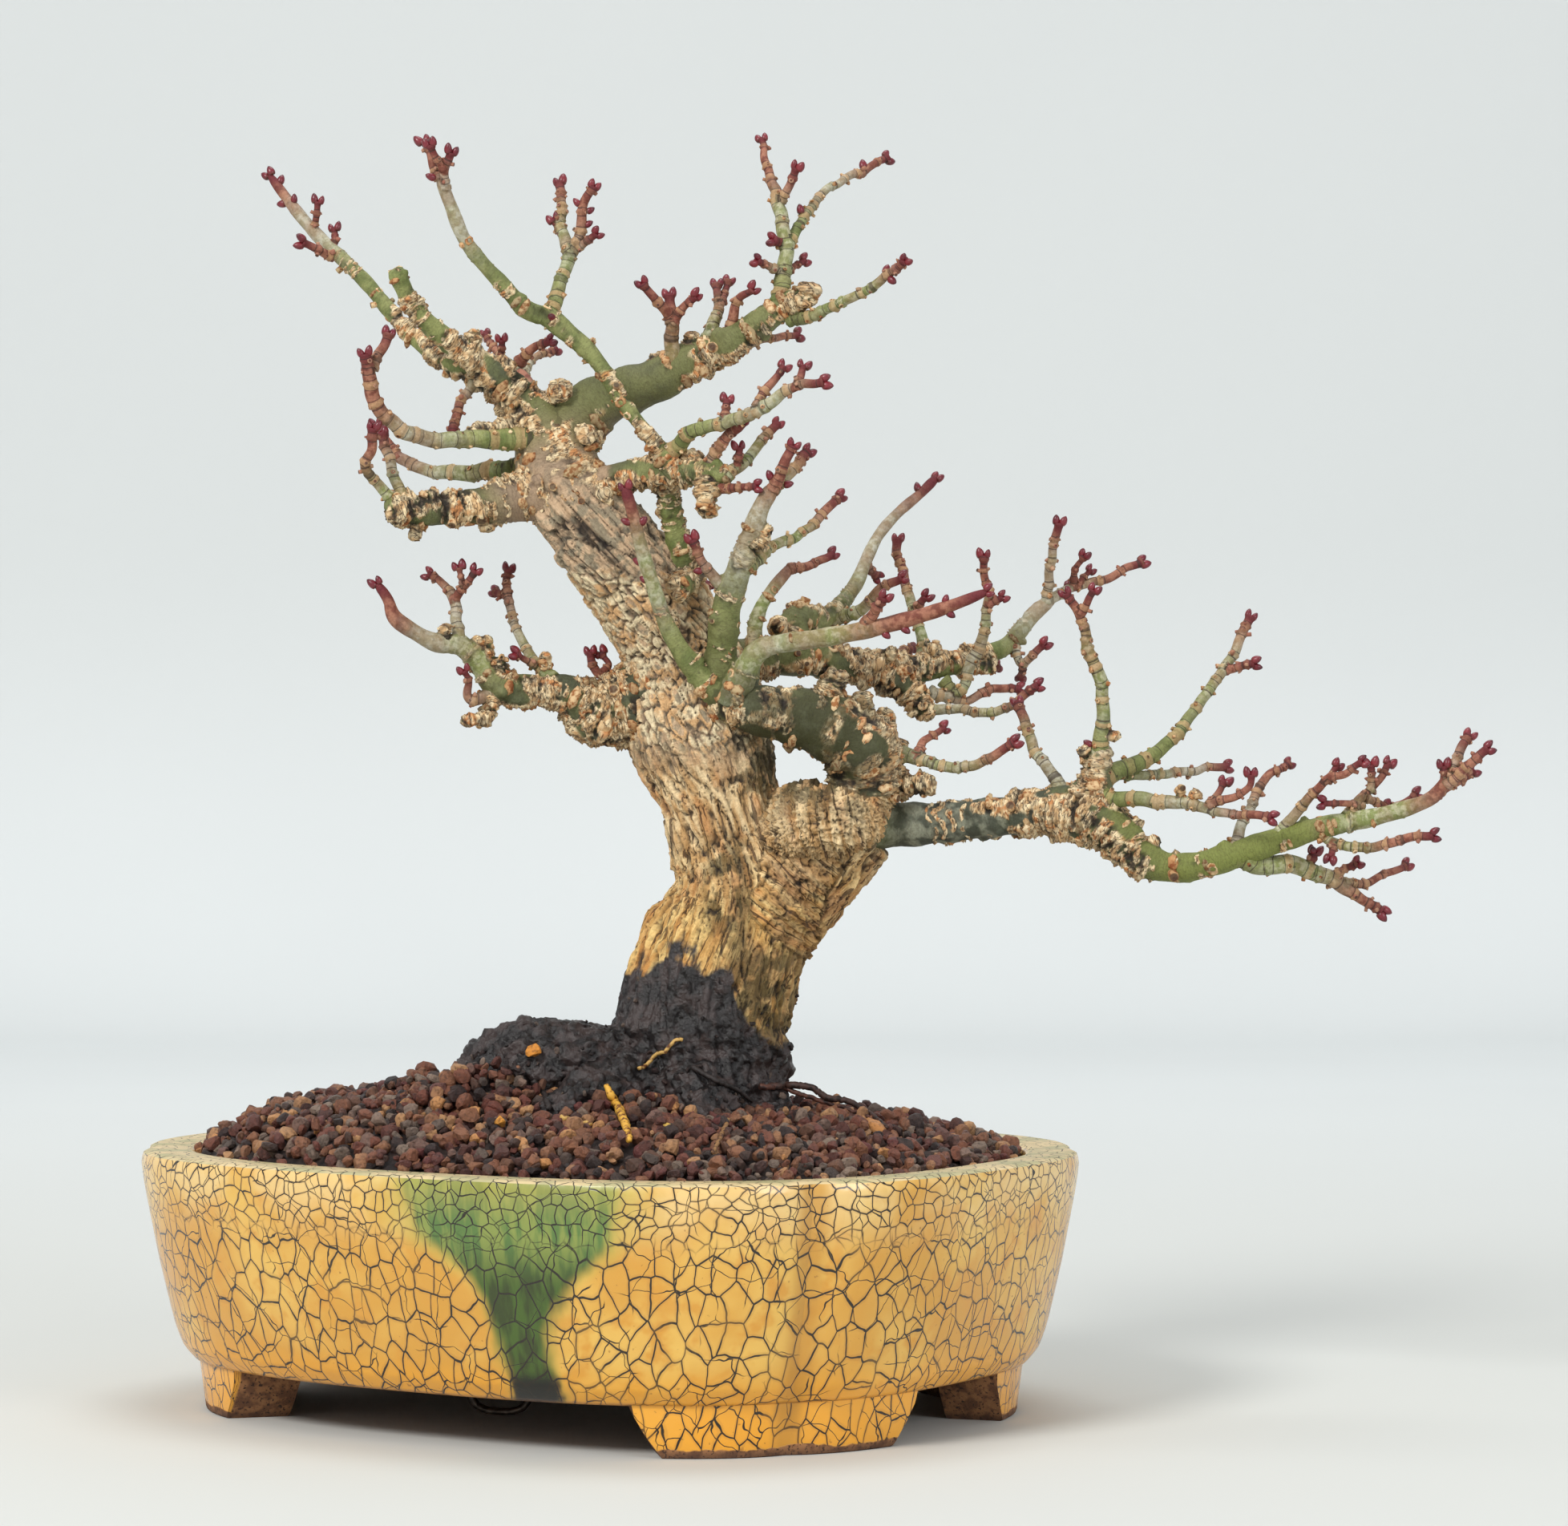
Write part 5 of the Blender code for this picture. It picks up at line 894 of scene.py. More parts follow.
def on_wood(coords, wood, chunk=2000):
    """Where each point lies on the branch that it belongs to."""
    place, radius = wood["place"], wood["radius"] * MM
    squares = (place ** 2).sum(1)
    nearest = np.empty(len(coords), int)
    depth = np.empty(len(coords))
    for start in range(0, len(coords), chunk):
        part = coords[start:start + chunk]
        gaps = (part ** 2).sum(1)[:, None] + squares[None] - 2 * part @ place.T
        gaps = np.sqrt(np.maximum(gaps, 0)) - radius[None]
        nearest[start:start + chunk] = gaps.argmin(1)
        depth[start:start + chunk] = gaps.min(1)
    way = wood["way"][nearest]
    off = coords - place[nearest]
    slide = (off * way).sum(1)
    off -= way * slide[:, None]
    across = np.cross(way, (0, 1, 0))
    across /= np.maximum(np.linalg.norm(across, axis=1), 1e-6)[:, None]
    other = np.cross(way, across)
    angle = np.arctan2((off * other).sum(1), (off * across).sum(1))
    along = wood["along"][nearest] + slide / MM
    rounded = wood["radius"][nearest]
    grain = np.column_stack([np.cos(angle) * rounded, np.sin(angle) * rounded, along + wood["offset"][nearest]])
    return {"grain": grain, "radius": rounded, "tip": wood["tip"][nearest] - slide / MM, "along": along,
            "mark": wood["mark"][nearest], "seed": wood["seed"][nearest], "depth": depth / MM}


def tubes(name, runs, sides):
    """One mesh of closed tubes along the runs, as a bevelled curve made a mesh."""
    curve = bpy.data.curves.new(name, "CURVE")
    curve.dimensions = "3D"
    curve.bevel_depth = MM
    curve.bevel_resolution = sides // 2 - 2
    curve.use_fill_caps = True
    for run in runs:
        spline = curve.splines.new("POLY")
        spline.points.add(len(run) - 1)
        spline.points.foreach_set("co", np.column_stack([run[:, :3], np.ones(len(run))]).ravel())
        spline.points.foreach_set("radius", run[:, RADIUS].astype(np.float32))
    take(new_object(name, curve))
    bpy.ops.object.convert(target="MESH")
    return welded(bpy.context.object)


# ---- placing copies of a modelled shape

def facet_cut(obj, planes):
    """Flattens a shape with planes: each is a unit direction and how far out it lies."""
    points = points_of(obj)
    for way, out in planes:
        over = points @ np.array(way) - out
        points -= np.outer(np.maximum(over, 0), way)
    set_points(obj, points)


def random_way(draw):
    return Vector([draw.gauss(0, 1) for _ in range(3)]).normalized()


def template_of(obj):
    """A modelled shape's points, faces and point values, and the shape itself is taken away."""
    faces = [list(face.vertices) for face in obj.data.polygons]
    values = {}
    for layer in obj.data.attributes:
        if layer.data_type == "FLOAT" and layer.domain == "POINT":
            flat = np.empty(len(layer.data), np.float32)
            layer.data.foreach_get("value", flat)
            values[layer.name] = flat
    shape = (points_of(obj), faces, values)
    bpy.data.objects.remove(obj, do_unlink=True)
    return shape


def copies(name, placed):
    """One mesh of copies. Each entry has a template, a 3 by 3 turn and size, a place and its points' values."""
    points, corners, totals = [], [], []
    values = {key: [] for key in placed[0][3]} | {key: [] for key in placed[0][0][2]}
    start = 0
    for (shape, faces, own), turn, place, given in placed:
        points.append(shape @ np.asarray(turn).T + np.asarray(place))
        for face in faces:
            corners.extend(index + start for index in face)
            totals.append(len(face))
        for key, value in given.items():
            values[key].append(np.full(len(shape), value, np.float32))
        for key, value in own.items():
            values[key].append(value)
        start += len(shape)
    mesh = bpy.data.meshes.new(name)
    mesh.vertices.add(start)
    mesh.vertices.foreach_set("co", np.vstack(points).astype(np.float32).ravel())
    mesh.loops.add(len(corners))
    mesh.loops.foreach_set("vertex_index", corners)
    mesh.polygons.add(len(totals))
    mesh.polygons.foreach_set("loop_start", np.concatenate([[0], np.cumsum(totals)[:-1]]).astype(np.int32))
    mesh.update(calc_edges=True)
    mesh.validate()
    obj = new_object(name, mesh)
    set_values(obj, **{key: np.concatenate(value) for key, value in values.items()})
    return obj


def turn_to(way, roll, size):
    """A turn that points the template's Z along way, with its size along each axis in millimetres."""
    turn = Vector(way).to_track_quat("Z", "Y").to_matrix() @ Quaternion((0, 0, 1), roll).to_matrix()
    return np.array(turn) * (np.array(size) * MM)


# ---- old wood: trunk, limbs, stubs, knots and thick surface roots

CHANCES = np.random.default_rng(SEED + 20).random(CHANCE_COUNT).tolist()


def chance(number, seed):
    """A fixed number from 0 to 1 for each ring of each limb."""
    return CHANCES[(number * 31 + int(seed * 997)) % CHANCE_COUNT]


def swollen(run, draw, rise, gap):
    """Ring swellings where old leaves sat, and a row of their places."""
    at = draw.uniform(0.3, 1) * gap
    while at < run[-1, ALONG]:
        width = draw.uniform(0.32, 0.6)
        bump = np.exp(-((run[:, ALONG] - at) / width) ** 2)
        run[:, RADIUS] += rise * draw.uniform(0.6, 1.2) * bump
        run[:, MARK] = np.maximum(run[:, MARK], bump)
        at += gap * draw.uniform(0.35, 1.7)
    return run


def crusted(run, number):
    stops = CRUST.get(number, [(0, PLAIN_CRUST)])
    run[:, MARK] = np.interp(run[:, ALONG] / run[-1, ALONG], *zip(*stops))
    return run


def old_runs():
    """The lines of the trunk's skin, those of the limbs' skin, and the spurs that grow from the limbs."""
    draw = random.Random(SEED)
    trunk, limbs, spurs = [laid(TRUNK, 200, step=2)], [], []
    for number, points in enumerate(LIMBS):
        run = crusted(laid(points, LIMB_REST[number], RED_LIMBS.get(number, 1), 1.5), number)
        run[:, RADIUS] *= 1 + 0.05 * np.sin(run[:, ALONG] * 0.55 + number)
        if number in TRUNK_LIMBS:
            run[:, MARK] = RINGED if number in RINGED_LIMBS else run[:, MARK]
            trunk.append(run)
        else:
            run[:, RADIUS] *= 1 + 0.14 * np.exp(-run[:, ALONG] / 6)
            run[-2:, RADIUS] *= (0.92, 0.7)
            limbs.append(run)
    for number, points in enumerate(ROOTS + BULGES):
        run = laid(points, 200, step=2)
        run[:, MARK] = RINGED if number == len(ROOTS) + 1 else 0.0
        trunk.append(run)
    grown = len(limbs)
    for start, end, radius in STUBS:
        near = [a * 0.2 + b * 0.8 for a, b in zip(start, end)]
        middle = [(a + b) / 2 for a, b in zip(start, end)]
        points = [(*start, radius * 1.4), (*middle, radius), (*near, radius * 1.02), (*end, radius * 0.62)]
        run = laid(points, 60, step=1)
        run[:, MARK] = STUB_CRUST
        limbs.append(run)
    for run in limbs[:grown]:
        for _ in range(int(run[-1, ALONG] / SPUR_STEP)):
            index = draw.randrange(2, len(run) - 1)
            radius = run[index, RADIUS]
            fits = SPUR_RADII[0] <= radius <= SPUR_RADII[1] and run[index, TIP] >= SPUR_TIP
            if not fits or draw.random() > run[index, MARK] + 0.15:
                continue
            way = run[index, :3] - run[index - 2, :3]
            way /= np.linalg.norm(way)
            side = np.cross(way, np.array(random_way(draw)))
            side = side / np.linalg.norm(side) + way * draw.uniform(-0.3, 0.3)
            size = min(2.8, radius * 0.48) * draw.uniform(0.55, 1.1)
            foot = run[index, :3]
            top = foot + side * (radius + draw.uniform(0.0, 1.6)) * MM
            steps = np.linspace(0, 1, 5)[:, None]
            radii = size * np.array([1.3, 1.2, 1.1, 0.95, 0.6])
            spur = [foot * (1 - steps) + top * steps, radii, steps * 9, steps * 0, steps * 0]
            spurs.append(np.column_stack(spur))
    return trunk, limbs, spurs


def fissures_at(x, y, z, seed, height):
    """Long cracks that twist along the trunk."""
    turn = z * 0.009
    x, y = x * math.cos(turn) - y * math.sin(turn), x * math.sin(turn) + y * math.cos(turn)
    drift = noise_at(x * 0.07, y * 0.07, z * 0.05) * 5
    a = noise_at(x * 0.25 + drift * 0.2, y * 0.25, z * 0.034 + seed * 9)
    b = noise_at(x * 0.6, y * 0.6 + drift * 0.3, z * 0.1 + seed * 5)
    c = noise_at(x * 1.1, y * 1.1, z * 0.45 + seed)
    lift = 1.6 * a + 1.15 * b + 0.5 * c
    pit = 0.95 * math.exp(-(a / 0.06) ** 2) + 0.8 * math.exp(-(b / 0.075) ** 2) * share(c, -0.35, 0.15)
    scar = 0.0
    net = share(height, *NET_START) * (1 - share(height, *NET_END))
    if net > 0:
        spots, _ = noise.voronoi(Vector((x * 0.3 + b * 0.3, y * 0.3, z * 0.145 + seed)))
        off = spots[1] - spots[0]
        slit, lip = math.exp(-(off / 0.075) ** 2), math.exp(-((off - 0.25) / 0.16) ** 2)
        pit += (0.75 * slit - 0.75 * pit) * net
        scar = lip * net
        lift += (0.95 * lip - 0.35 + 0.4 * c - 0.75 * lift) * net
    return lift - 1.25 * min(1, pit), min(1, pit), scar


def crust_at(x, y, z, seed, crust):
    """How crusty the limb is just here: in patches, with smooth bark between them."""
    cloud = noise_at(x * 0.13, y * 0.13, z * 0.085 + seed * 7)
    return share(crust + 0.95 * cloud * min(1, crust * 4), 0.27, 0.72)


def rings_at(x, y, z, radius, seed, tip, crust):
    """Old leaf rings round a limb: two lips with a slit between them, and lumps where the limb is crusty."""
    local = crust_at(x, y, z, seed, crust)
    lump = noise_at(x * 0.15, y * 0.15, z * 0.4 + seed * 3)
    fine = noise_at(x * 0.6, y * 0.6, z * 0.95 + seed)
    wander = noise_at(x * 0.2, y * 0.2, z * 0.14 + seed)
    gap = 2.7 + 0.12 * radius
    at = (z + wander * 3.4 + fine * 0.4) / gap
    number = math.floor(at)
    lift = pit = scar = 0.0
    for ring in (number - 1, number, number + 1):
        if chance(ring, seed) > local * 0.78 + 0.17:
            continue
        middle = ring + 0.5 + 0.6 * (chance(ring, seed + 0.37) - 0.5)
        width = 0.42 + 0.55 * chance(ring, seed + 0.71) * (0.5 + local)
        off = abs(at - middle) * gap / width
        if off > 2:
            continue
        spread = noise_at(x * 0.36, y * 0.36, ring * 2.7 + seed)
        there = share(spread, -0.3 - local * 0.25, 0.0 - local * 0.25)
        lip = math.exp(-((off - 0.66) / 0.42) ** 2) * there
        lift = max(lift, lip * (0.7 + 0.7 * spread))
        scar = max(scar, there * share(1.5 - off, 0.0, 0.4))
        slit, rim = math.exp(-(off / 0.24) ** 2), math.exp(-((off - 1.5) / 0.24) ** 2)
        # The pit is the slit, the ring's outer edge and the hollows between lumps, which the colour darkens as
        # painted shade
        pit = max(pit, there * (0.9 * slit + 0.7 * rim))
    scar = max(scar, local * share(lump + 0.4 * fine, -0.3, -0.04))
    pit = max(pit, local * share(-lump - 0.5 * fine, 0.12, 0.38) * 0.95)
    aged = share(tip, 24, 50)
    lift += local * (2.0 * lump + 0.5 * fine + 0.2) + 0.1 * fine
    return lift * aged * min(1, radius / 3.4), pit * aged, scar * aged


def bark_at(x, y, z, radius, seed, height, tip, crust):
    """How far the bark stands out in mm, how deep a crack is, which the colour darkens partly as painted shade,
    how pale a scar is, and how trunk-like it is.
    """
    on_limb = CRUST_FROM < crust < RINGED_FROM
    thick = 0 if on_limb else share(radius, 5.5, 8.5) * (1 - share(height, *CRACKS_END))
    found = np.zeros(3)
    if thick > 0:
        found += np.array(fissures_at(x, y, z, seed, height)) * thick
    if thick < 1:
        rings = np.array(rings_at(x, y, z, radius, seed, tip, crust if on_limb else OFF_LIMB_CRUST))
        found += rings * (1 - thick) * (1 if on_limb else (0.6, 0.8, 1))
    return (*found, thick)


def rough_bark(obj, wood):
    """Moves each point out along its normal by the bark's height there, and stores what the colours need."""
    points, normals = points_of(obj), points_of(obj, "normal")
    found = on_wood(points, wood)
    ringed, grain = found["mark"] > RINGED_FROM, found["grain"]
    around = np.arctan2(grain[:, 1], grain[:, 0]) * found["radius"]
    grain[ringed] = np.column_stack([grain[:, 2] * 1.15, grain[:, 2] * 0, around * 0.6])[ringed]
    out, marks = np.zeros(len(points)), np.zeros((len(points), 3))
    for index, (spot, place) in enumerate(zip(grain, points)):
        radius, height = found["radius"][index], place[2] / MM
        lift, *marks[index] = bark_at(
            *spot, radius, found["seed"][index], height, found["tip"][index], found["mark"][index])
        big = noise.noise(Vector(place / MM * 0.055)) * 1.7 * share(radius, 8, 18)
        rootlike = 1 - share(height, *FOOT_END)
        if rootlike > 0 and radius > 4.5:
            at = Vector(place / MM)
            clump = noise.noise(at * 0.12) * 2.4 + noise.noise(at * 0.3) * 1.9 + noise.noise(at * 0.75) * 1.1
            lift += (clump - lift * 0.6) * rootlike
        out[index] = lift + big
    set_points(obj, points + normals * out[:, None] * MM)
    set_grain(obj, grain)
    set_values(obj, rad=found["radius"], tip=found["tip"], seed=found["seed"],
               pit=marks[:, 0], scar=marks[:, 1], trunk=marks[:, 2], joint=found["mark"] * 0)


def build_old_wood(name, runs, spurs):
    """Runs of old wood melted into one skin, then barked."""
    voxel, triangles = SKINS[name]
    thicker = [np.copy(run) for run in runs + spurs]
    for run in thicker:
        run[:, RADIUS] += np.where(run[:, RADIUS] < 4, 0.15, 0)
    obj = tubes(name, thicker, WOOD_SIDES)
    apply_modifier(obj, "REMESH", mode="VOXEL", voxel_size=voxel * MM, adaptivity=0)
    apply_modifier(obj, "SMOOTH", factor=0.5, iterations=3)
    rough_bark(obj, gather(runs))
    apply_modifier(obj, "TRIANGULATE")
    apply_modifier(obj, "DECIMATE", decimate_type="COLLAPSE", ratio=min(1, triangles / len(obj.data.polygons)))
    return smooth(obj)


# ---- shoots, buds and knots

def shoot_runs():
    draw = random.Random(SEED + 1)
    runs = []
    for points in TWIGS:
        run = laid(points, 2, step=0.55)
        bent = np.clip(run[:, ALONG] / 6, 0, 1)
        for column in range(3):
            start = draw.uniform(0, 90)
            drift = [noise_at(start + at * 0.16, column, 0.5) for at in run[:, ALONG]]
            run[:, column] += np.array(drift) * bent * 0.9 * MM
        run[:3, RADIUS] += 0.35
        run[-3:, RADIUS] += (0.1, 0.3, 0.35)
        runs.append(swollen(run, draw, 0.48, 5.0))
    return runs


def build_shoots(runs):
    obj = tubes("shoots", runs, SHOOT_SIDES)
    found = on_wood(points_of(obj), gather(runs))
    none = found["mark"] * 0
    set_grain(obj, found["grain"])
    set_values(obj, rad=found["radius"], tip=found["tip"], seed=found["seed"],
               pit=none, scar=none, trunk=none, joint=found["mark"])
    return smooth(obj)


def bud_shape():
    """A winter bud: a collar at its foot, a scaled body with a seam down each side, and a sharp tip."""
    deselect()
    bpy.ops.mesh.primitive_uv_sphere_add(segments=10, ring_count=9, radius=1)
    obj = bpy.context.object
    points = points_of(obj)
    up = (points[:, 2] + 1) / 2
    angle = np.arctan2(points[:, 1], points[:, 0])
    body = np.interp(up, *zip(*BUD_PROFILE))
    across = np.hypot(points[:, 0], points[:, 1])
    seam = np.exp(-(np.sin(angle) / 0.35) ** 2)
    reach = body * (1 + 0.1 * np.cos(2 * angle) - 0.13 * seam * (up > 0.15))
    scale = np.where(across > 1e-4, reach / np.maximum(across, 1e-4), 0)
    set_points(obj, np.column_stack([points[:, 0] * scale, points[:, 1] * scale, up]))
    set_values(obj, up=up, seam=seam)
    return template_of(obj)


def bud_entry(shape, place, way, size, draw):
    turn = turn_to(way, draw.uniform(0, math.pi), (size * BUD_WIDTH, size * BUD_WIDTH, size * BUD_LENGTH))
    return (shape, turn, place, {"seed": draw.random()})


def build_buds(shoots):
    draw = random.Random(SEED + 2)
    shape = bud_shape()
    placed = []
    ends = list(shoots) + [laid(LIMBS[number], 3) for number in BUDDED_LIMBS]
    for run in ends:
        along = Vector(run[-1, :3] - run[-3, :3]).normalized()
        spread = Vector((along.z, draw.uniform(-0.6, 0.6), -along.x)).normalized()
        end = Vector(run[-1, :3])
        for side in (-1, 1):
            way = (along + spread * side * draw.uniform(0.14, 0.4)).normalized()
            foot = end + spread * side * 0.85 * MM - along * 0.8 * MM
            placed.append(bud_entry(shape, foot, way, draw.uniform(0.78, 1.05), draw))
    wood = gather(list(shoots) + [laid(points) for points in LIMBS])
    for point in SIDE_BUDS:
        place = np.array(in_space(*point))[None]
        gap = np.linalg.norm(wood["place"] - place, axis=1) - wood["radius"] * MM
        at = gap.argmin()
        along = wood["way"][at]
        out = place[0] - wood["place"][at]
        out -= along * (out @ along)
        out /= np.linalg.norm(out)
        way = Vector(out + along * 0.75).normalized()
        foot = wood["place"][at] + out * (wood["radius"][at] - 0.5) * MM
        placed.append(bud_entry(shape, foot, way, draw.uniform(0.8, 0.95), draw))
    return smooth(copies("buds", placed))


def knot_shapes():
    """Three small growths: a rimmed scar, a rounded knob and the peg of a cut shoot. Their pit values mark
    painted shade: the scar's hollow, the knob's underside and the dip in the peg's end.
    """
    def shape_of(obj, points, pit):
        set_points(obj, points)
        set_values(obj, pit=pit)
        return template_of(obj)

    deselect()
    bpy.ops.mesh.primitive_torus_add(major_segments=8, minor_segments=4, major_radius=0.72, minor_radius=0.3)
    obj = bpy.context.object
    points = points_of(obj)
    inner = np.hypot(points[:, 0], points[:, 1]) < 0.5
    points[inner] *= (0.35, 0.35, 1)
    points[:, 2] = points[:, 2] * 0.9 - 0.02
    rimmed = shape_of(obj, points, np.where(inner, 1.0, 0.0))

    bpy.ops.mesh.primitive_uv_sphere_add(segments=7, ring_count=5, radius=1)
    obj = bpy.context.object
    points = points_of(obj)
    for index, point in enumerate(points):
        points[index] *= 1 + 0.55 * noise.noise(Vector(point * 1.7))
    knob = shape_of(obj, points, np.clip(0.2 - points[:, 2], 0, 0.9))

    bpy.ops.mesh.primitive_cylinder_add(vertices=8, radius=0.8, depth=1.6, location=(0, 0, 0.3))
    obj = bpy.context.object
    in_edit(obj, lambda: bpy.ops.mesh.bevel(offset=0.22, segments=1))
    bpy.ops.object.transform_apply(location=True, rotation=False, scale=False)
    points = points_of(obj)
    top = (points[:, 2] > 1.05) & (np.hypot(points[:, 0], points[:, 1]) < 0.62)
    points[top, 2] -= 0.2
    return rimmed, knob, shape_of(obj, points, np.where(top, 0.9, 0.0))


def build_knots(old, shoots):
    """Scars, knobs and cut pegs round the crusty limbs, and small paired ones at the shoots' joints."""
    draw = random.Random(SEED + 3)
    rimmed, knob, peg = knot_shapes()
    placed = []

    def add(shape, run, index, side, sizes, lean=0.0, sunk=0.94):
        """One growth, with sizes round the limb, along it and out of it."""
        way = run[index, :3] - run[index - 1, :3]
        way /= np.linalg.norm(way)
        out = side + way * lean
        out /= np.linalg.norm(out)
        round_way = np.cross(way, out)
        round_way /= np.linalg.norm(round_way)
        turn = np.column_stack([round_way * sizes[0], np.cross(out, round_way) * sizes[1], out * sizes[2]]) * MM
        foot = run[index, :3] + side * run[index, RADIUS] * sunk * MM
        placed.append((shape, turn, foot, {"seed": draw.random(), "tip": run[index, TIP]}))

    def side_of(run, index, turn):
        way = Vector(run[index, :3] - run[index - 1, :3]).normalized()
        return np.array(Quaternion(way, turn) @ way.orthogonal().normalized())

    for number, run in enumerate(old):
        at = draw.uniform(1, 4)
        while at < run[-1, ALONG] - 0.5:
            index = min(len(run) - 1, max(1, int(np.searchsorted(run[:, ALONG], at))))
            radius, crust = run[index, RADIUS], run[index, MARK]
            if number == 0 and run[index, 2] / MM > KNOTS_FROM:
                crust = UPPER_TRUNK_CRUST
            local = crust_at(0, 0, at + PATTERN_GAP * number, number * SHADE_STEP % 1, crust)
            bare = not CRUST_FROM <= crust <= RINGED_FROM or run[index, TIP] < KNOT_TIP
            if bare or draw.random() > max(local, KNOT_CHANCE):
                at += 2.6
                continue
            around = 2 * math.pi * radius
            wide = draw.uniform(0.5, 1.0)
            start = draw.uniform(0, SPIN)
            for _ in range(max(2, round(around * wide / 5.2))):
                spot = min(len(run) - 1, max(1, index + draw.choice((-1, 0, 0, 1))))
                side = side_of(run, spot, start + draw.uniform(-math.pi, math.pi) * wide)
                kind, size = draw.random(), draw.uniform(0.95, 2.1) * min(1.15, 0.6 + radius * 0.1)
                if kind < RIMMED_UP_TO:
                    add(rimmed, run, spot, side, (size * 1.2, size, size * 0.9))
                elif kind < KNOBS_UP_TO:
                    long, wide_part = draw.uniform(1.1, 2.2), draw.uniform(0.55, 0.85)
                    add(knob, run, spot, side, (size * long, size * wide_part, size * draw.uniform(0.6, 1.0)))
                else:
                    add(peg, run, spot, side, (size, size, size * draw.uniform(0.9, 1.7)), draw.uniform(0, 0.5))
            at += draw.uniform(3.0, 7.2)
    for run in shoots:
        turn = draw.uniform(0, SPIN)
        mark = run[:, MARK]
        peaks = [i for i in range(2, len(run) - 3) if mark[i] > 0.6 and mark[i] >= mark[i - 1:i + 2].max()]
        for index in peaks:
            turn += math.pi / 2
            for half in (0, math.pi):
                side = side_of(run, index, turn + half)
                size = draw.uniform(0.45, 0.9)
                shape = draw.choice((rimmed, knob, peg))
                add(shape, run, index, side, (size, size, size * draw.uniform(0.8, 1.6)), 0.4)
    return smooth(copies("knots", placed))


# ---- soil

def pot_point(angle, inset, notch, height):
    """A point of the pot's lobed outline, in millimetres from the pot's centre."""
    along = abs(math.cos(angle) / (POT_HALF_LONG - inset))
    across = abs(math.sin(angle) / (POT_HALF_SHORT - inset))
    reach = (along ** POT_SQUARENESS + across ** POT_SQUARENESS) ** (-1 / POT_SQUARENESS)
    for centre in NOTCHES:
        off = (angle - centre + math.pi) % (2 * math.pi) - math.pi
        reach *= 1 - notch * NOTCH_DEPTH * math.exp(-abs(off) / NOTCH_SPREAD)
    world = angle + POT_TURN
    return Vector((reach * math.cos(world), reach * math.sin(world), height))


def edge_gap_at(x, y):
    """How far a point lies inside the pot's rim."""
    angle = math.atan2(y, x) - POT_TURN
    edge = pot_point(angle, SOIL_CLEAR, 0, 0)
    return math.hypot(edge.x, edge.y) - math.hypot(x, y)


def soil_height(x, y, edge_gap):
    left = min(1, max(0, (SLOPE_START - x) / SLOPE_WIDTH))
    run = SOIL_RUN_RIGHT + (SOIL_RUN_LEFT - SOIL_RUN_RIGHT) * left
    return SOIL_EDGE + SOIL_RISE * (1 - math.exp(-max(0, edge_gap) / run))


def loft(name, rings, wraps=None):
    """Closed rings joined into one skin with capped ends. The wraps are their places in the glaze's net."""
    bm = bmesh.new()
    rows = [[bm.verts.new(POT_CENTRE + point * MM) for point in ring] for ring in rings]
    layer = bm.loops.layers.uv.new("wrap") if wraps else None
    for number, (low, high) in enumerate(zip(rows, rows[1:])):
        for index in range(len(low)):
            after = (index + 1) % len(low)
            face = bm.faces.new((low[index], low[after], high[after], high[index]))
            if wraps:
                under, over = wraps[number], wraps[number + 1]
                spots = (under[index], under[index + 1], over[index + 1], over[index])
                for corner, spot in zip(face.loops, spots):
                    corner[layer].uv = spot
    for row in (rows[0], rows[-1]):
        face = bm.faces.new(row)
        if wraps:
            for corner in face.loops:
                corner[layer].uv = (0, BARE_WRAP)
    bmesh.ops.recalc_face_normals(bm, faces=bm.faces)
    mesh = bpy.data.meshes.new(name)
    bm.to_mesh(mesh)
    bm.free()
    return new_object(name, mesh)


def build_soil_bed():
    """The packed soil under the loose grains."""
    angles = [2 * math.pi * step / BED_POINTS for step in range(BED_POINTS)]
    rings = [[pot_point(angle, inset, 0, height) for angle in angles] for height, inset in BED_SIDES]
    for inward in BED_STEPS:
        ring = []
        for angle in angles:
            place = pot_point(angle, SOIL_CLEAR + 1, 0, 0) * inward
            place.z = soil_height(place.x, place.y, edge_gap_at(place.x, place.y)) - BED_DROP
            ring.append(place)
        rings.append(ring)
    obj = loft("soil_bed", rings)
    set_values(obj, tone=np.full(len(obj.data.vertices), BED_TONE))
    return obj


def grain_shapes():
    """Angular lumps of grit."""
    draw = random.Random(SEED + 5)
    shapes = []
    for _ in range(GRAIN_SHAPES):
        deselect()
        bpy.ops.mesh.primitive_ico_sphere_add(subdivisions=2, radius=1)
        obj = bpy.context.object
        stretch = np.array([draw.uniform(0.85, 1.2), draw.uniform(0.8, 1.1), draw.uniform(0.7, 0.95)])
        facet_cut(obj, [(tuple(random_way(draw)), draw.uniform(0.46, 0.8)) for _ in range(GRAIN_FACETS)])
        set_points(obj, points_of(obj) * stretch)
        in_edit(obj, lambda: bpy.ops.mesh.dissolve_limited(angle_limit=math.radians(3)))
        shapes.append(template_of(obj))
    return shapes


def grain_spots(draw):
    """Where grains lie: a jittered grid over the mound, with more of them piled in places."""
    spots = []
    step = GRAIN_STEP
    rows = int(300 / (step * ROW_SHARE))
    for row in range(-rows // 2, rows // 2 + 1):
        for column in range(-40, 41):
            x = (column + (row % 2) / 2) * step + draw.uniform(-1, 1) * step * GRAIN_STRAY
            y = row * step * ROW_SHARE + draw.uniform(-1, 1) * step * GRAIN_STRAY
            gap = edge_gap_at(x, y)
            if gap < 0.9:
                continue
            z = soil_height(x, y, gap) + draw.uniform(-1.5, 0.4)
            spots.append((x, y, z, gap))
            if draw.random() < ON_TOP_CHANCE:
                beside = (x + draw.uniform(-1, 1), y + draw.uniform(-1, 1), z + draw.uniform(1.0, 2.3))
                spots.append((*beside, gap))
    return spots


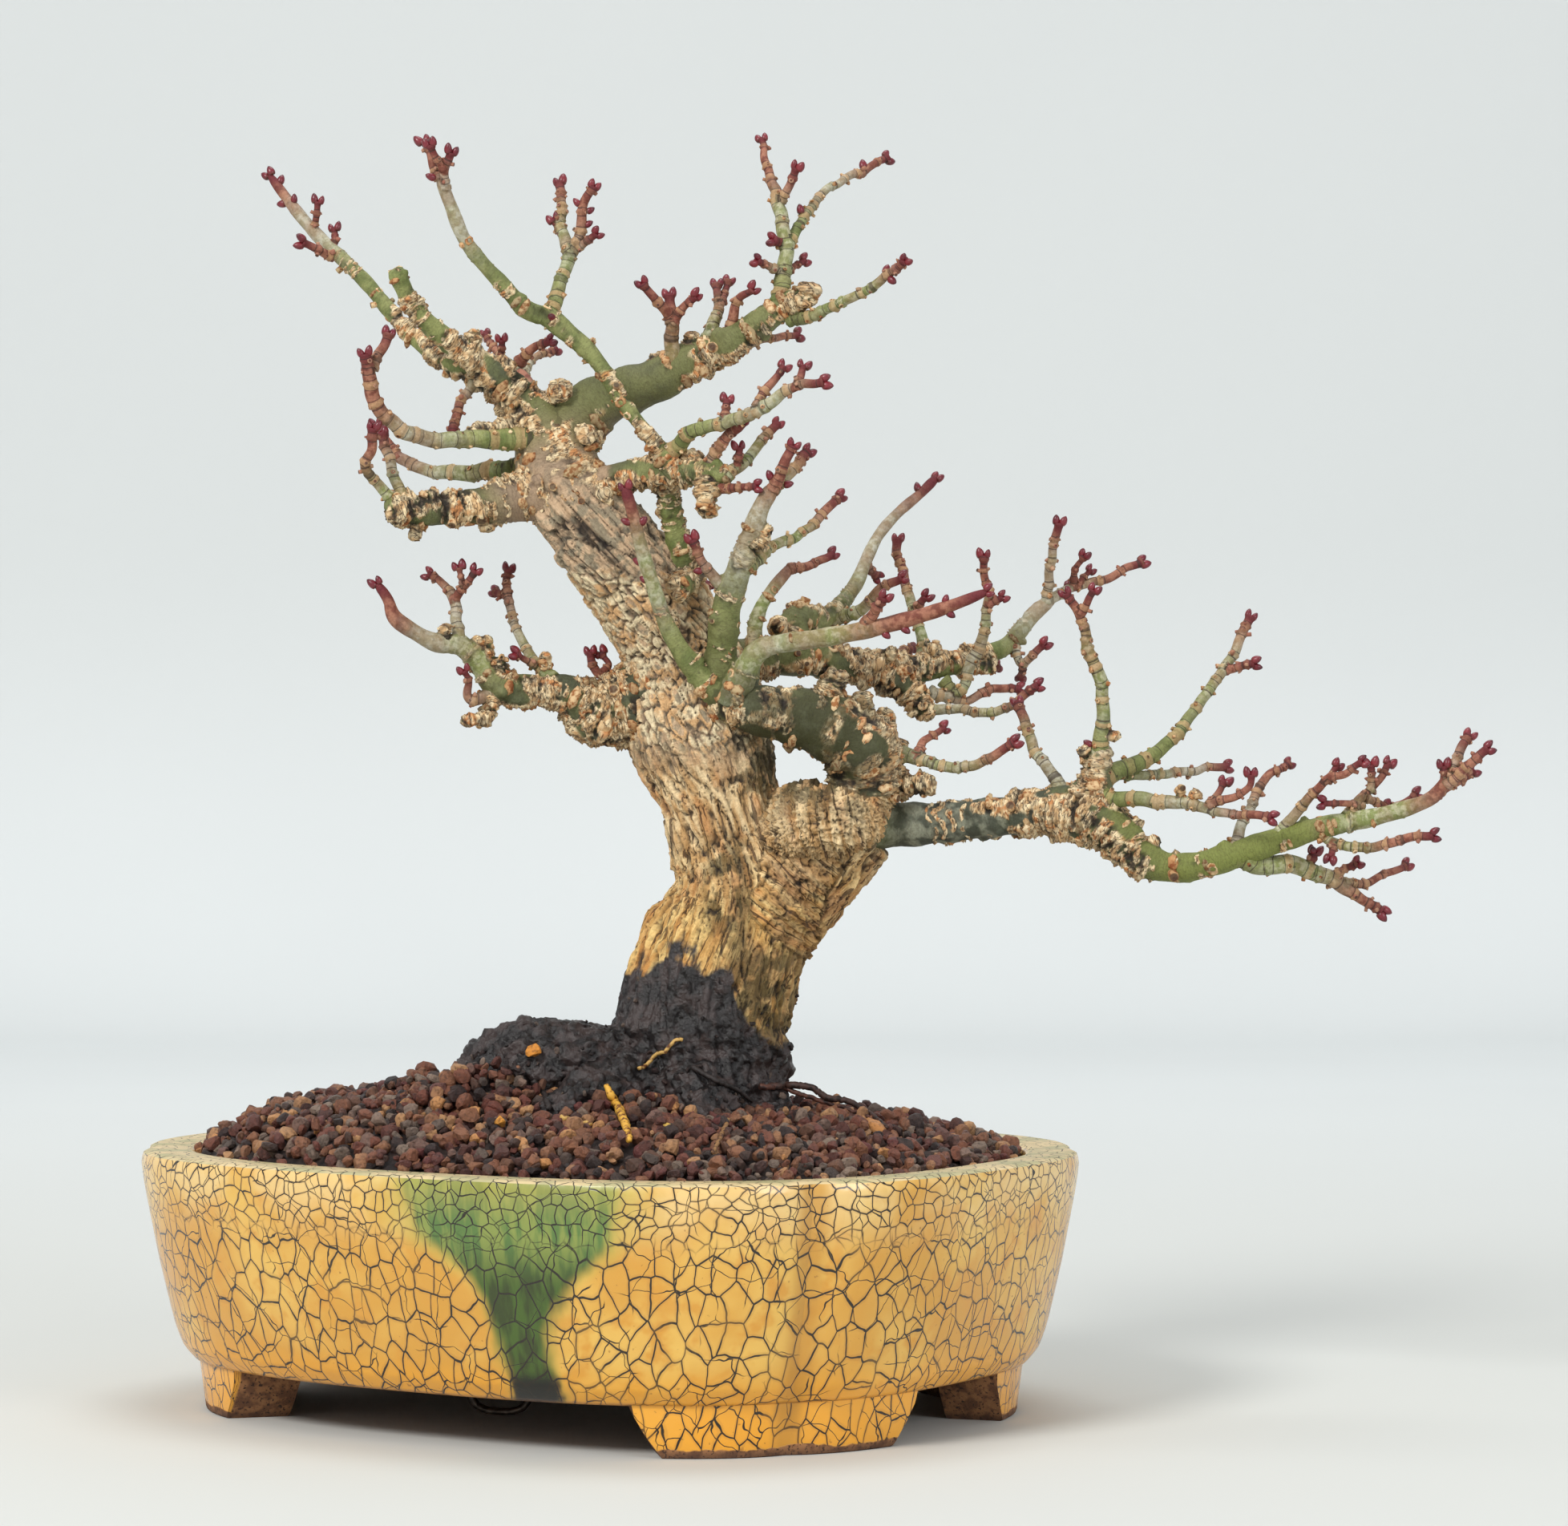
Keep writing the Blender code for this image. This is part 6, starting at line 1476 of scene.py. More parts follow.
def crumbs(old_wood, shapes, draw):
    """Black crumbs of wet soil stuck to the root mass."""
    points, normals = points_of(old_wood), points_of(old_wood, "normal")
    height = points[:, 2]
    on_roots = (height > CRUMB_HEIGHTS[0]) & (height < CRUMB_HEIGHTS[1]) & (normals[:, 2] > -0.35)
    placed = []
    for index in draw.sample(np.flatnonzero(on_roots).tolist(), CRUMBS):
        place = Vector(points[index]) - POT_CENTRE
        if place.z / MM > 120 and draw.random() < 0.6:
            continue
        size = draw.uniform(0.5, 1.7) * (0.75 if place.z / MM > 112 else 1)
        turn = turn_to(random_way(draw), 0, (size, size, size * 0.8))
        placed.append((draw.choice(shapes), turn, points[index] + normals[index] * 0.1 * MM,
                       {"tone": draw.choice(CRUMB_TONES)}))
    return placed


def build_grains(wood, old_wood, skin):
    draw = random.Random(SEED + 6)
    shapes = grain_shapes()
    spots = grain_spots(draw)
    for (middle_x, middle_y), (wide, deep), rise, count in PILES:
        for _ in range(count):
            turn, out = draw.uniform(0, 2 * math.pi), math.sqrt(draw.random())
            x, y = middle_x + math.cos(turn) * out * wide, middle_y + math.sin(turn) * out * deep
            gap = edge_gap_at(x, y)
            top = rise * (1 - out ** 2) * draw.random() ** 0.4
            spots.append((x, y, soil_height(x, y, gap) + top, gap))
    places = np.array([POT_CENTRE + Vector(spot[:3]) * MM for spot in spots])
    depth = on_wood(places, wood)["depth"]
    clear = np.array([key[:2] for key in SURFACE_ROOTS[YELLOW_ROOT][0]])
    placed = []
    for spot, place, inside in zip(spots, places, depth):
        size = 0.5 * draw.choice(GRAIN_SIZES) * draw.uniform(0.9, 1.12)
        if inside < -0.3 * size:
            continue
        away = EYE_DISTANCE / (EYE_DISTANCE + spot[1])
        seen = (EYE_ACROSS + (spot[0] - EYE_ACROSS) * away, EYE_HEIGHT + (spot[2] - EYE_HEIGHT) * away)
        if np.hypot(*(clear - seen).T).min() < YELLOW_CLEARANCE:
            continue
        size = min(size, 0.55 * spot[3] + 1.2)
        turn = turn_to(random_way(draw), draw.uniform(0, SPIN), (size, size, size))
        tone = draw.random() * 0.86 + 0.04
        placed.append((draw.choice(shapes), turn, place, {"tone": tone}))
    placed += crumbs(old_wood, shapes, draw)
    for (u, v), size, tone in BRIGHT_GRAINS:
        turn = turn_to(random_way(draw), 0, (size, size, size))
        place = in_space(u, v, toward_at(u, v, skin) + size * 0.8)
        placed.append((shapes[0], turn, np.array(place), {"tone": tone}))
    placed.sort(key=lambda entry: entry[2][1])
    middle = len(placed) // 2
    halves = (placed[:middle], placed[middle:])
    return [smooth(copies(f"soil_grains_{number}", part), GRAIN_CREASE)
            for number, part in enumerate(halves, 1)]


# ---- the wiry surface roots

def toward_at(across, up, skin):
    """How far toward the viewer the root mass or the soil lies behind this point of the picture."""
    hit = skin.ray_cast(EYE, (in_space(across, up, 0) - EYE).normalized())[0]
    nearest = (POT_CENTRE - hit).y / MM if hit else 16.0
    for toward in range(125, int(nearest), -1):
        place = (in_space(across, up, toward) - POT_CENTRE) / MM
        gap = edge_gap_at(place.x, place.y)
        if gap > 0 and place.z < soil_height(place.x, place.y, gap) + 1.2:
            return float(toward)
    return nearest


def build_surface_roots(skin):
    """Wiry roots over the soil. The tone picks each one's colour."""
    draw = random.Random(SEED + 4)
    runs, tones = [], []
    for keys, tone in SURFACE_ROOTS:
        steps = np.arange(0, len(keys) - 0.99, 0.34)
        flat = [np.interp(steps, range(len(keys)), [key[column] for key in keys]) for column in range(3)]
        toward = np.array([toward_at(u, v, skin) for u, v in zip(flat[0], flat[1])])
        raised = np.maximum(toward, np.convolve(np.pad(toward, 1, "edge"), np.ones(3) / 3, "valid"))
        over = YELLOW_RAISED if tone == 1 else ROOT_RAISED
        run = laid(list(zip(flat[0], flat[1], raised + flat[2] * 0.5 + over, flat[2])), 99, step=0.8)
        for column in (0, 2):
            run[:, column] += np.array([draw.gauss(0, 0.13) for _ in run]) * MM
        runs.append(run)
        tones.append(tone)
    obj = tubes("surface_roots", runs, SHOOT_SIDES)
    found = on_wood(points_of(obj), gather(runs))
    number = np.round((found["grain"][:, 2] - found["along"]) / PATTERN_GAP).astype(int)
    set_values(obj, tone=np.array(tones)[np.clip(number, 0, len(tones) - 1)])
    set_grain(obj, found["grain"])
    return smooth(obj)


# ---- pot

def outline_angles():
    """Angles round the pot from the seam at its back, closer together at the notches."""
    angles = {round(2 * math.pi * step / POT_STEPS, 6) for step in range(POT_STEPS)}
    for centre in NOTCHES:
        for step in range(-NOTCH_STEPS, NOTCH_STEPS + 1):
            off = math.copysign(abs(step / NOTCH_STEPS) ** 1.5 * NOTCH_REACH, step)
            angles.add(round((centre - GLAZE_SEAM + off) % (2 * math.pi), 6))
    kept = []
    for angle in sorted(angles):
        if not kept or angle - kept[-1] > CLOSEST:
            kept.append(angle)
    return [angle + GLAZE_SEAM for angle in kept]


def girth_table():
    """How far round the rim each degree from the seam lies, in millimetres."""
    places = [pot_point(GLAZE_SEAM + math.radians(step), 0, 1, 0) for step in range(361)]
    gaps = [(b - a).length for a, b in zip(places, places[1:])]
    return np.concatenate([[0], np.cumsum(gaps)])


GIRTH = girth_table()


def round_rim(angle):
    return float(np.interp(math.degrees((angle - GLAZE_SEAM) % (2 * math.pi)), range(361), GIRTH))


def cylinder(place, radius, sides):
    """A cutter for a hole in the floor."""
    low, high = HOLE_SPAN
    deselect()
    bpy.ops.mesh.primitive_cylinder_add(
        vertices=sides, radius=radius * MM, depth=(high - low) * MM,
        location=POT_CENTRE + Vector((place[0], place[1], (low + high) / 2)) * MM)
    bpy.ops.object.transform_apply(location=True, rotation=False, scale=False)
    return bpy.context.object


def boolean(obj, other, operation):
    apply_modifier(obj, "BOOLEAN", object=other, operation=operation, solver="EXACT")
    bpy.data.objects.remove(other, do_unlink=True)


def build_foot(centre, number):
    """A bracket foot that follows the wall's outline, wider at its top."""
    parts = [step / FOOT_STEPS * 2 - 1 for step in range(FOOT_STEPS + 1)]
    top = [centre + part * FOOT_TOP_HALF / FOOT_RADIUS for part in parts]
    low = [centre + part * FOOT_BOTTOM_HALF / FOOT_RADIUS for part in parts]
    slope = FOOT_OUTER_BOTTOM_INSET - FOOT_OUTER_TOP_INSET
    rings, wraps = [], []
    for height, slide, edge in FOOT_LEVELS:
        outer = FOOT_OUTER_TOP_INSET + slope * (1 - height / FOOT_TOP)
        angles = [a * (1 - slide) + b * slide for a, b in zip(top, low)]
        ring = [pot_point(angle, outer + edge, FOOT_NOTCH, height) for angle in angles]
        ring += [pot_point(angle, FOOT_INNER_INSET - edge, 0, height) for angle in reversed(angles)]
        rings.append(ring)
        wrap = [(round_rim(angle), height) for angle in angles]
        wrap += [(round_rim(angle), BARE_WRAP) for angle in reversed(angles)]
        wraps.append(wrap + [(wrap[0][0], BARE_WRAP)])
    return loft(f"foot_{number}", rings, wraps)


def build_pot():
    angles = outline_angles()

    def count_of(row, after):
        return max(1, min(8, round(np.linalg.norm(after[:2] - row[:2]) / 1.2)))

    profile = eased(OUTSIDE, count_of, 0.25) + eased(INSIDE, count_of, 0.25)
    rings = [[pot_point(angle, inset, notch, height) for angle in angles] for height, inset, notch in profile]
    gaps = np.linalg.norm(np.diff([row[:2] for row in profile], axis=0), axis=1)
    rise = np.concatenate([[0], np.cumsum(gaps)])
    turns = [round_rim(angle) for angle in angles] + [float(GIRTH[-1])]
    wraps = [[(turn, OUTSIDE[0][0] + up) for turn in turns] for up in rise]
    pot = loft("pot_body", rings, wraps)
    for number, centre in enumerate(NOTCHES):
        boolean(pot, build_foot(centre, number), "UNION")
    cos, sin = math.cos(POT_TURN), math.sin(POT_TURN)
    for x, y in DRAIN_PLACES:
        place = (x * cos - y * sin, x * sin + y * cos)
        boolean(pot, cylinder(place, DRAIN_RADIUS, 48), "DIFFERENCE")
    for place in WIRE_HOLES:
        boolean(pot, cylinder(place, WIRE_HOLE_RADIUS, 24), "DIFFERENCE")
    return smooth(welded(pot), POT_CREASE)


def build_wire():
    points = [(*(POT_CENTRE + Vector(place) * MM), WIRE_RADIUS) for place in WIRE_PATH]
    rows = eased(points, lambda row, after: 10, 0.3)
    return smooth(tubes("root_tie", [np.array(rows)], WIRE_SIDES))


# ---- finishes

def zone(mm, across, up):
    """A soft-edged patch between two places across and two heights, in millimetres: 1 inside and 0 outside."""
    parts = parts_of(mm)
    made = 1.0
    for value, (low, high) in ((parts[0], across), (parts[2], up)):
        soft = (high - low) * 0.25
        made = times(made, fade(value, low - soft, low + soft))
        made = times(made, fall(value, high - soft, high + soft))
    return made


def bark_look():
    look, shader = new_look("bark", 0.72)
    mm = millimetres()
    across, _, height = parts_of(mm)
    grain = attribute("grain", "Vector")
    radius, tip, seed, pit = attributes("rad", "tip", "seed", "pit")
    scar, joint, thick = attributes("scar", "joint", "trunk")

    # Trunk: tan-cream wood streaked along the grain, and greyer wood with painted shade on its right
    streaks = patches(stretched(grain, 0.42, 0.06), 1.0, 0.4, 0.62)
    trunk = mix(streaks, (216, 178, 128), (252, 230, 190))
    orange = patches(stretched(grain, 0.12, 0.05), 1.3, 0.5, 0.64)
    trunk = mix(times(orange, 0.5), trunk, (208, 144, 88))
    # Painted shade: the right side of the lower trunk is darkened and greyed, where the wood is greyer too
    right_shade_grey = times(patches(mm, 0.06, 0.38, 0.54), fade(across, 26.0, 48.0))
    right_shade_grey = times(right_shade_grey, fall(height, 160.0, 176.0))
    trunk = mix(times(right_shade_grey, 0.6), trunk, (162, 134, 120))
    slits = patches(stretched(grain, 0.9, 0.075), 1.0, 0.57, 0.62)
    trunk = mix(times(slits, 0.8), trunk, (70, 44, 28))

    tint = mix(fade(height, 146.0, 182.0), (255, 238, 188), (253, 245, 230))
    trunk = mix(1.0, trunk, tint, "MULTIPLY")

    # Upper trunk: grey-tan bricks between raised cream lips
    plates = mix(patches(grain, 0.35, 0.42, 0.6), (214, 182, 146), (162, 148, 122))
    rims = mix(patches(grain, 0.2, 0.42, 0.6), (252, 232, 190), (230, 184, 130))
    netted = mix(fade(scar, 0.2, 0.6), plates, rims)
    trunk = mix(fade(height, 192.0, 210.0), trunk, netted)

    # Limbs: dark grey-green to olive, fresher where thin, between crusts of cream, tan and orange rings
    dull = mix(patches(mm, 0.05, 0.4, 0.58), (66, 72, 52), (108, 112, 62))
    fresh = mix(patches(grain, 0.16, 0.4, 0.62), (104, 116, 56), (146, 152, 90))
    green = mix(fall(radius, 3.2, 5.6), dull, fresh)
    green = mix(times(seed, 0.3), green, (124, 122, 84))
    slate = mix(patches(grain, 0.16, 0.44, 0.6), (72, 76, 62), (136, 138, 118))
    green = mix(zone(mm, (84.0, 128.0), (160.0, 196.0)), green, slate)
    green = mix(zone(mm, (48.0, 90.0), (186.0, 224.0)), green, (72, 74, 46))
    green = mix(zone(mm, (164.0, 255.0), (150.0, 200.0)), green, (122, 130, 62))
    top = times(zone(mm, (-34.0, 42.0), (244.0, 300.0)), fade(radius, 4.6, 6.4))
    green = mix(times(top, 0.85), green, (182, 152, 124))
    rings = mix(patches(grain, 0.5, 0.42, 0.58), (206, 168, 120), (246, 222, 178))
    rings = mix(patches(grain, 0.3, 0.58, 0.66), rings, (206, 142, 86))
    limb = mix(fade(scar, 0.15, 0.6), green, rings)
    hair = calc("ABSOLUTE", minus(clouds(stretched(grain, 0.3, 1.1), 1.0, 2.0), 0.5))
    hair = times(fade(hair, 0.008, 0.034, 0.8, 0.0), fade(scar, 0.1, 0.4, 0.25, 1.0))
    limb = mix(hair, limb, (58, 38, 24))
    colour = mix(thick, limb, trunk)

    # Shoots: green-grey bloom, then red-brown, then crimson at the tip, each stretch with a shade of its own
    young = mix(patches(grain, 0.5, 0.42, 0.6), (132, 142, 82), (186, 188, 150))
    bloom = mix(patches(mm, 0.5, 0.4, 0.6), (164, 150, 126), (200, 194, 178))
    young = mix(times(patches(mm, 0.03, 0.4, 0.62), 0.8), young, bloom)
    warm = patches(stretched(grain, 0.02, 0.09), 1.0, 0.42, 0.62)
    young = mix(times(warm, 0.55), young, (150, 116, 88))
    reach = plus(tip, times(minus(seed, 0.5), 18.0))
    colour = mix(fall(reach, 30.0, 56.0), colour, young)
    ruddy = mix(patches(grain, 0.4, 0.4, 0.6), (124, 66, 50), (168, 112, 88))
    colour = mix(fall(reach, 8.0, 26.0), colour, ruddy)
    colour = mix(fall(tip, 2.0, 9.0), colour, (108, 34, 40))
    ring = times(fade(joint, 0.8, 0.98), fade(tip, 4.0, 12.0, 0.15, 0.6))
    colour = mix(ring, colour, (196, 158, 114))
    line = times(fade(joint, 0.12, 0.3), fall(joint, 0.45, 0.72))
    colour = mix(times(line, 0.75), colour, (52, 34, 28))

    # Moss on the dark limb and beside the stain
    moss = zone(mm, (40.0, 84.0), (186.0, 224.0))
    moss = plus(moss, times(zone(mm, (36.0, 60.0), (112.0, 146.0)), 0.8))
    moss = plus(moss, times(zone(mm, (30.0, 44.0), (148.0, 178.0)), 0.8))
    moss = times(moss, patches(mm, 0.16, 0.4, 0.52), clamp=True)
    colour = mix(times(moss, 0.85), colour, (58, 58, 24))

    # Fine mottling, then the cracks and hollows darkened: their own dark bark with painted shade in them
    fine = fade(clouds(grain, 1.4, 4.0), 0.42, 0.72, 0.0, 0.24)
    colour = mix(fine, colour, (132, 100, 72), "MULTIPLY")
    colour = mix(times(pit, 1.0, clamp=True), colour, (30, 19, 12))

    # Wet stain at the foot of the trunk, with a ragged edge
    ragged = times(minus(clouds(mm, 0.12, 5.0), 0.5), 26.0)
    above = plus(minus(height, drawn(across, STAIN_EDGE, -60, 140, 200)), ragged)
    black = mix(patches(mm, 0.16, 0.42, 0.62), (24, 20, 20), (60, 49, 47))
    wet = fall(above, -2.5, 2.0)
    colour = mix(wet, colour, black)
    link(fade(wet, 0.0, 1.0, 0.7, 0.33), shader.inputs["Roughness"])

    # Relief: furrows and cracks on the trunk, fine lines on the limbs, clods where it is wet
    furrow = patches(stretched(grain, 1.1, 0.16), 1.0, 0.3, 0.7)
    relief = plus(clouds(grain, 0.9, 5.0, 0.62), times(furrow, thick))
    relief = minus(minus(relief, times(slits, thick)), hair)
    clods = clouds(mm, 0.42, 6.0, 0.6)
    relief = plus(times(relief, minus(1.0, wet)), times(times(clods, 2.4), wet))
    colour_in(shader, colour, relief, 0.7, 0.6)
    return look


def knot_look():
    look, shader = new_look("knot_wood", 0.75)
    mm = millimetres()
    seed, tip, pit = attributes("seed", "tip", "pit")
    colour = ramp(seed, [
        (0.0, (204, 166, 118)), (0.22, (230, 200, 154)), (0.38, (196, 144, 92)), (0.52, (172, 142, 102)),
        (0.68, (220, 186, 138)), (0.86, (142, 126, 92)), (0.97, (226, 194, 146)), (1.0, (244, 222, 182))])
    colour = mix(patches(mm, 0.7, 0.4, 0.64), colour, (176, 132, 92), "MULTIPLY")
    ruddy = mix(seed, (150, 92, 74), (176, 134, 108))
    colour = mix(fall(tip, 12.0, 30.0), colour, ruddy)
    # Painted shade: the scar's hollow, the knob's underside where it meets the limb and the dip in the peg's cut
    # end are darkened
    colour = mix(times(pit, 0.9, clamp=True), colour, (48, 32, 22))
    colour_in(shader, colour, clouds(mm, 1.6, 4.0), 0.5, 0.3)
    return look


def bud_look():
    look, shader = new_look("bud_scales", 0.38, Coat_Weight=0.15)
    mm = millimetres()
    up, seam, seed = attributes("up", "seam", "seed")
    colour = ramp(up, [
        (0.0, (96, 60, 46)), (0.12, (96, 40, 38)), (0.35, (116, 26, 40)),
        (0.75, (96, 18, 34)), (1.0, (54, 14, 22))])
    colour = mix(times(seed, 0.5), colour, (150, 54, 60))
    colour = mix(times(seam, 0.55), colour, (46, 10, 18))
    colour_in(shader, colour, clouds(mm, 2.0, 3.0), 0.35, 0.2)
    return look


def root_look():
    look, shader = new_look("surface_root", 0.6)
    mm = millimetres()
    colour = ramp(attribute("tone"), [
        (0.0, (44, 36, 34)), (0.45, (110, 60, 40)), (0.75, (196, 160, 96)), (1.0, (226, 172, 64))])
    colour = mix(patches(mm, 0.5, 0.45, 0.62), colour, (120, 84, 50), "MULTIPLY")
    colour_in(shader, colour, clouds(mm, 1.5, 4.0), 0.5, 0.3)
    return look


def soil_look():
    look, shader = new_look("soil_grit", 0.48)
    mm = millimetres()
    colour = ramp(attribute("tone"), [
        (0.0, (24, 18, 18)), (0.1, (50, 34, 32)), (0.26, (110, 57, 44)), (0.44, (146, 97, 68)),
        (0.56, (50, 38, 36)), (0.66, (140, 120, 104)), (0.76, (98, 42, 40)), (0.88, (192, 144, 98)),
        (0.93, (236, 146, 44)), (1.0, (232, 190, 90))])
    colour = mix(times(patches(mm, 0.35, 0.42, 0.66), 0.1), colour, (140, 104, 88))
    dark = fade(clouds(mm, 0.9, 4.0), 0.45, 0.72, 0.0, 0.6)
    colour = mix(dark, colour, (84, 64, 58), "MULTIPLY")
    colour_in(shader, colour, clouds(mm, 1.1, 5.0, 0.7), 0.95, 0.9)
    return look


def glaze_look():
    look, shader = new_look("crackle_glaze", 0.2, Coat_Weight=0.5, Coat_Roughness=0.08)
    mm = millimetres()
    across, back, height = parts_of(mm)
    wrap = node("UVMap", uv_map="wrap").outputs[0]
    rise = parts_of(wrap)[1]

    # Honey glaze in clouds, cream toward the rim, amber where it pools low down and brightened there as painted
    # light, ochre in the notches, with brown specks
    colour = mix(patches(mm, 0.03, 0.36, 0.66), (214, 156, 58), (231, 186, 90))
    colour = mix(patches(mm, 0.11, 0.5, 0.7), colour, (216, 154, 56))
    cream = times(fade(height, 56.0, 79.0), patches(mm, 0.05, 0.28, 0.56))
    colour = mix(times(cream, 0.8), colour, (242, 212, 148))
    # Painted light: the amber pooled low down is made brighter to lift the shade that falls on the lower wall
    # and feet
    colour = mix(fade(height, 16.0, 30.0, 0.85, 0.0), colour, (244, 170, 46))
    colour = mix(times(groove_mask(across, back), 0.75), colour, (190, 134, 44))
    colour = mix(times(patches(mm, 0.55, 0.68, 0.74), 0.5), colour, (128, 74, 30))

    # The green run down the front: wide and pale under the rim, then a deep narrow stem with a black end
    half = drawn(height, DRIP_HALF, 0, 80, 60)
    middle = calc("MULTIPLY_ADD", height, -0.11, -15.5)
    wobble = clouds(stretched(mm, 1.0, 0.4), 0.1, 3.0)
    off = calc("ABSOLUTE", minus(across, middle))
    off = calc("MULTIPLY_ADD", minus(wobble, 0.5), 11.0, off)
    inside = minus(half, off)
    front = times(fall(back, -60.0, -40.0), fade(rise, -5.0, 0.0))
    spread = fade(height, 48.0, 70.0, -5.0, -17.0)
    halo = times(fade(inside, spread, 3.0), front)
    core = times(fade(inside, -3.0, 3.5), front)
    colour = mix(times(halo, 0.72), colour, (184, 172, 76))
    running = patches(stretched(mm, 0.28, 0.035), 1.0, 0.4, 0.6)
    green = mix(running, (78, 118, 58), (132, 148, 72))
    stem = fall(height, 48.0, 66.0)
    green = mix(stem, green, mix(running, (18, 52, 12), (50, 88, 24)))
    colour = mix(times(core, fade(height, 66.0, 80.0, 0.95, 0.6)), colour, green)
    ending = times(fall(height, 21.0, 26.5), fade(inside, -1.5, 1.0))
    colour = mix(times(ending, front), colour, (17, 20, 13))

    # Crackle: one main net, closer toward the rim, thin lines that split some cells, and brown beside each line
    tall = moved("MULTIPLY", wrap, (1.0, 0.72, 1.0))
    rimward = fade(rise, 64.0, 72.0)
    main, tone = cracks(tall, 6.4, 0.58)
    tight, split = cracks(wrap, 4.3, 0.5)[0], cracks(wrap, 11.0, 0.4, 12.0)[0]
    lines = mix(rimward, main, tight)
    lines = most(lines, times(split, patches(mm, 0.05, 0.4, 0.46)))
    near = mix(rimward, cracks(tall, 6.4, 1.9)[0], cracks(wrap, 4.3, 1.4)[0])
    plain = minus(1.0, core)
    colour = mix(times(fade(tone, 0.0, 1.0, 0.0, 0.2), plain), colour, (216, 162, 76))
    colour = mix(times(times(near, plain), 0.22), colour, (160, 108, 54))
    strength = fade(patches(mm, 0.07, 0.36, 0.5), 0.0, 1.0, 0.8, 1.0)
    colour = mix(times(lines, strength), colour, (34, 26, 15))

    # Rim top: thinner glaze, greyer and greener, with a dark line along its outer edge
    facing = parts_of(node("NewGeometry").outputs["Normal"])[2]
    on_top = times(fade(facing, 0.7, 0.95), fade(height, 79.0, 79.8))
    thin = mix(patches(mm, 0.08, 0.4, 0.62), (222, 198, 148), (184, 176, 128))
    thin = mix(times(tight, 0.95), thin, (46, 38, 26))
    colour = mix(on_top, colour, thin)
    rim_line = times(fade(height, 80.1, 80.35), fade(facing, 0.5, 0.9, 1.0, 0.2))
    colour = mix(times(rim_line, 0.35), colour, (84, 66, 42))

    # Bare clay on the feet's cut ends and backs, their bottoms and the floor
    low = calc("MULTIPLY_ADD", minus(clouds(mm, 0.12, 4.0), 0.5), 4.0, height)
    bare = fall(low, 2.2, 2.9)
    under = times(fall(facing, -0.85, -0.6), fall(height, 14.0, 17.0))
    bare = most(bare, most(under, fall(rise, -12.0, -4.0)))
    clay = mix(patches(mm, 0.3, 0.4, 0.62), (158, 112, 74), (112, 76, 52))
    clay = mix(patches(mm, 1.1, 0.55, 0.66), clay, (62, 42, 32))
    clay = mix(fade(height, 0.6, 3.2, 0.6, 0.0), clay, (66, 44, 34))
    colour = mix(bare, colour, clay)
    matt = most(bare, times(on_top, 0.4))
    link(fade(matt, 0.0, 1.0, 0.26, 0.85), shader.inputs["Roughness"])
    link(fade(matt, 0.0, 0.4, 0.3, 0.0), shader.inputs["Coat Weight"])

    pits = times(clouds(mm, 1.2, 4.0), fade(bare, 0.0, 1.0, 0.05, 0.7))
    relief = plus(plus(times(lines, -0.1), clouds(mm, 0.13, 2.0)), pits)
    colour_in(shader, colour, relief, 0.5, 0.5)
    return look


def groove_mask(across, back):
    """Pooled glaze in the four notches of the outline."""
    angle = minus(calc("ARCTAN2", back, across), POT_TURN)
    total = 0.0
    for centre in NOTCHES:
        off = calc("WRAP", minus(angle, centre), math.pi, -math.pi)
        total = most(total, fall(calc("ABSOLUTE", off), 0.012, 0.05))
    return total


def plastic_look():
    look, shader = new_look("mesh_plastic", 0.55)
    mm = millimetres()
    colour = mix(patches(mm, 0.4, 0.4, 0.6), (22, 22, 23), (40, 38, 37))
    colour_in(shader, colour, clouds(mm, 1.5, 3.0), 0.3, 0.2)
    return look


def wire_look():
    look, shader = new_look("dark_wire", 0.32, Metallic=0.85)
    mm = millimetres()
    colour = mix(patches(mm, 0.5, 0.42, 0.6), (46, 40, 36), (74, 66, 60))
    colour_in(shader, colour, clouds(mm, 2.5, 3.0), 0.2, 0.1)
    return look


# ---- stage, lights and camera

def build_stage():
    """A pale table top that curves up into a wall, as one sheet."""
    deselect()
    bpy.ops.mesh.primitive_grid_add(x_subdivisions=2, y_subdivisions=STAGE_ROWS, size=2)
    sheet = bpy.context.object
    sheet.name = "backdrop"
    points = points_of(sheet)
    way = (points[:, 1] + 1) / 2 * (STAGE_DEPTH + STAGE_BEND * math.pi / 2 + STAGE_HEIGHT)
    for index, run in enumerate(way):
        turn = min(max((run - STAGE_DEPTH) / STAGE_BEND, 0), math.pi / 2)
        flat = min(run, STAGE_DEPTH) + STAGE_FRONT
        rise = max(0, run - STAGE_DEPTH - STAGE_BEND * math.pi / 2)
        points[index, 0] *= STAGE_WIDTH / 2
        points[index, 1] = flat + STAGE_BEND * math.sin(turn)
        points[index, 2] = STAGE_BEND * (1 - math.cos(turn)) + rise
    set_points(sheet, points)
    look, shader = new_look("pale_card", 0.9)
    place = node("TexCoord").outputs["Object"]
    aside, back, height = parts_of(place)
    # Painted light: the table turns lighter toward the back, where less lamp light reaches it
    card = mix(fade(back, 0.1, 1.7), TABLE_COLOUR, FAR_LIGHTENED_COLOUR)
    card = mix(fade(height, 0.02, 0.4), card, WALL_COLOUR)
    outer = most(fade(calc("ABSOLUTE", aside), 1.2, 4.0), fall(back, -4.5, -1.7))
    card = mix(outer, card, OUTER_COLOUR)
    card = mix(fade(clouds(place, 1.6, 3.0), 0.3, 0.7, 0.0, 0.12), card, CLOUD_COLOUR)
    link(card, shader.inputs["Base Color"])
    sheet.data.materials.append(look)
    smooth(sheet)


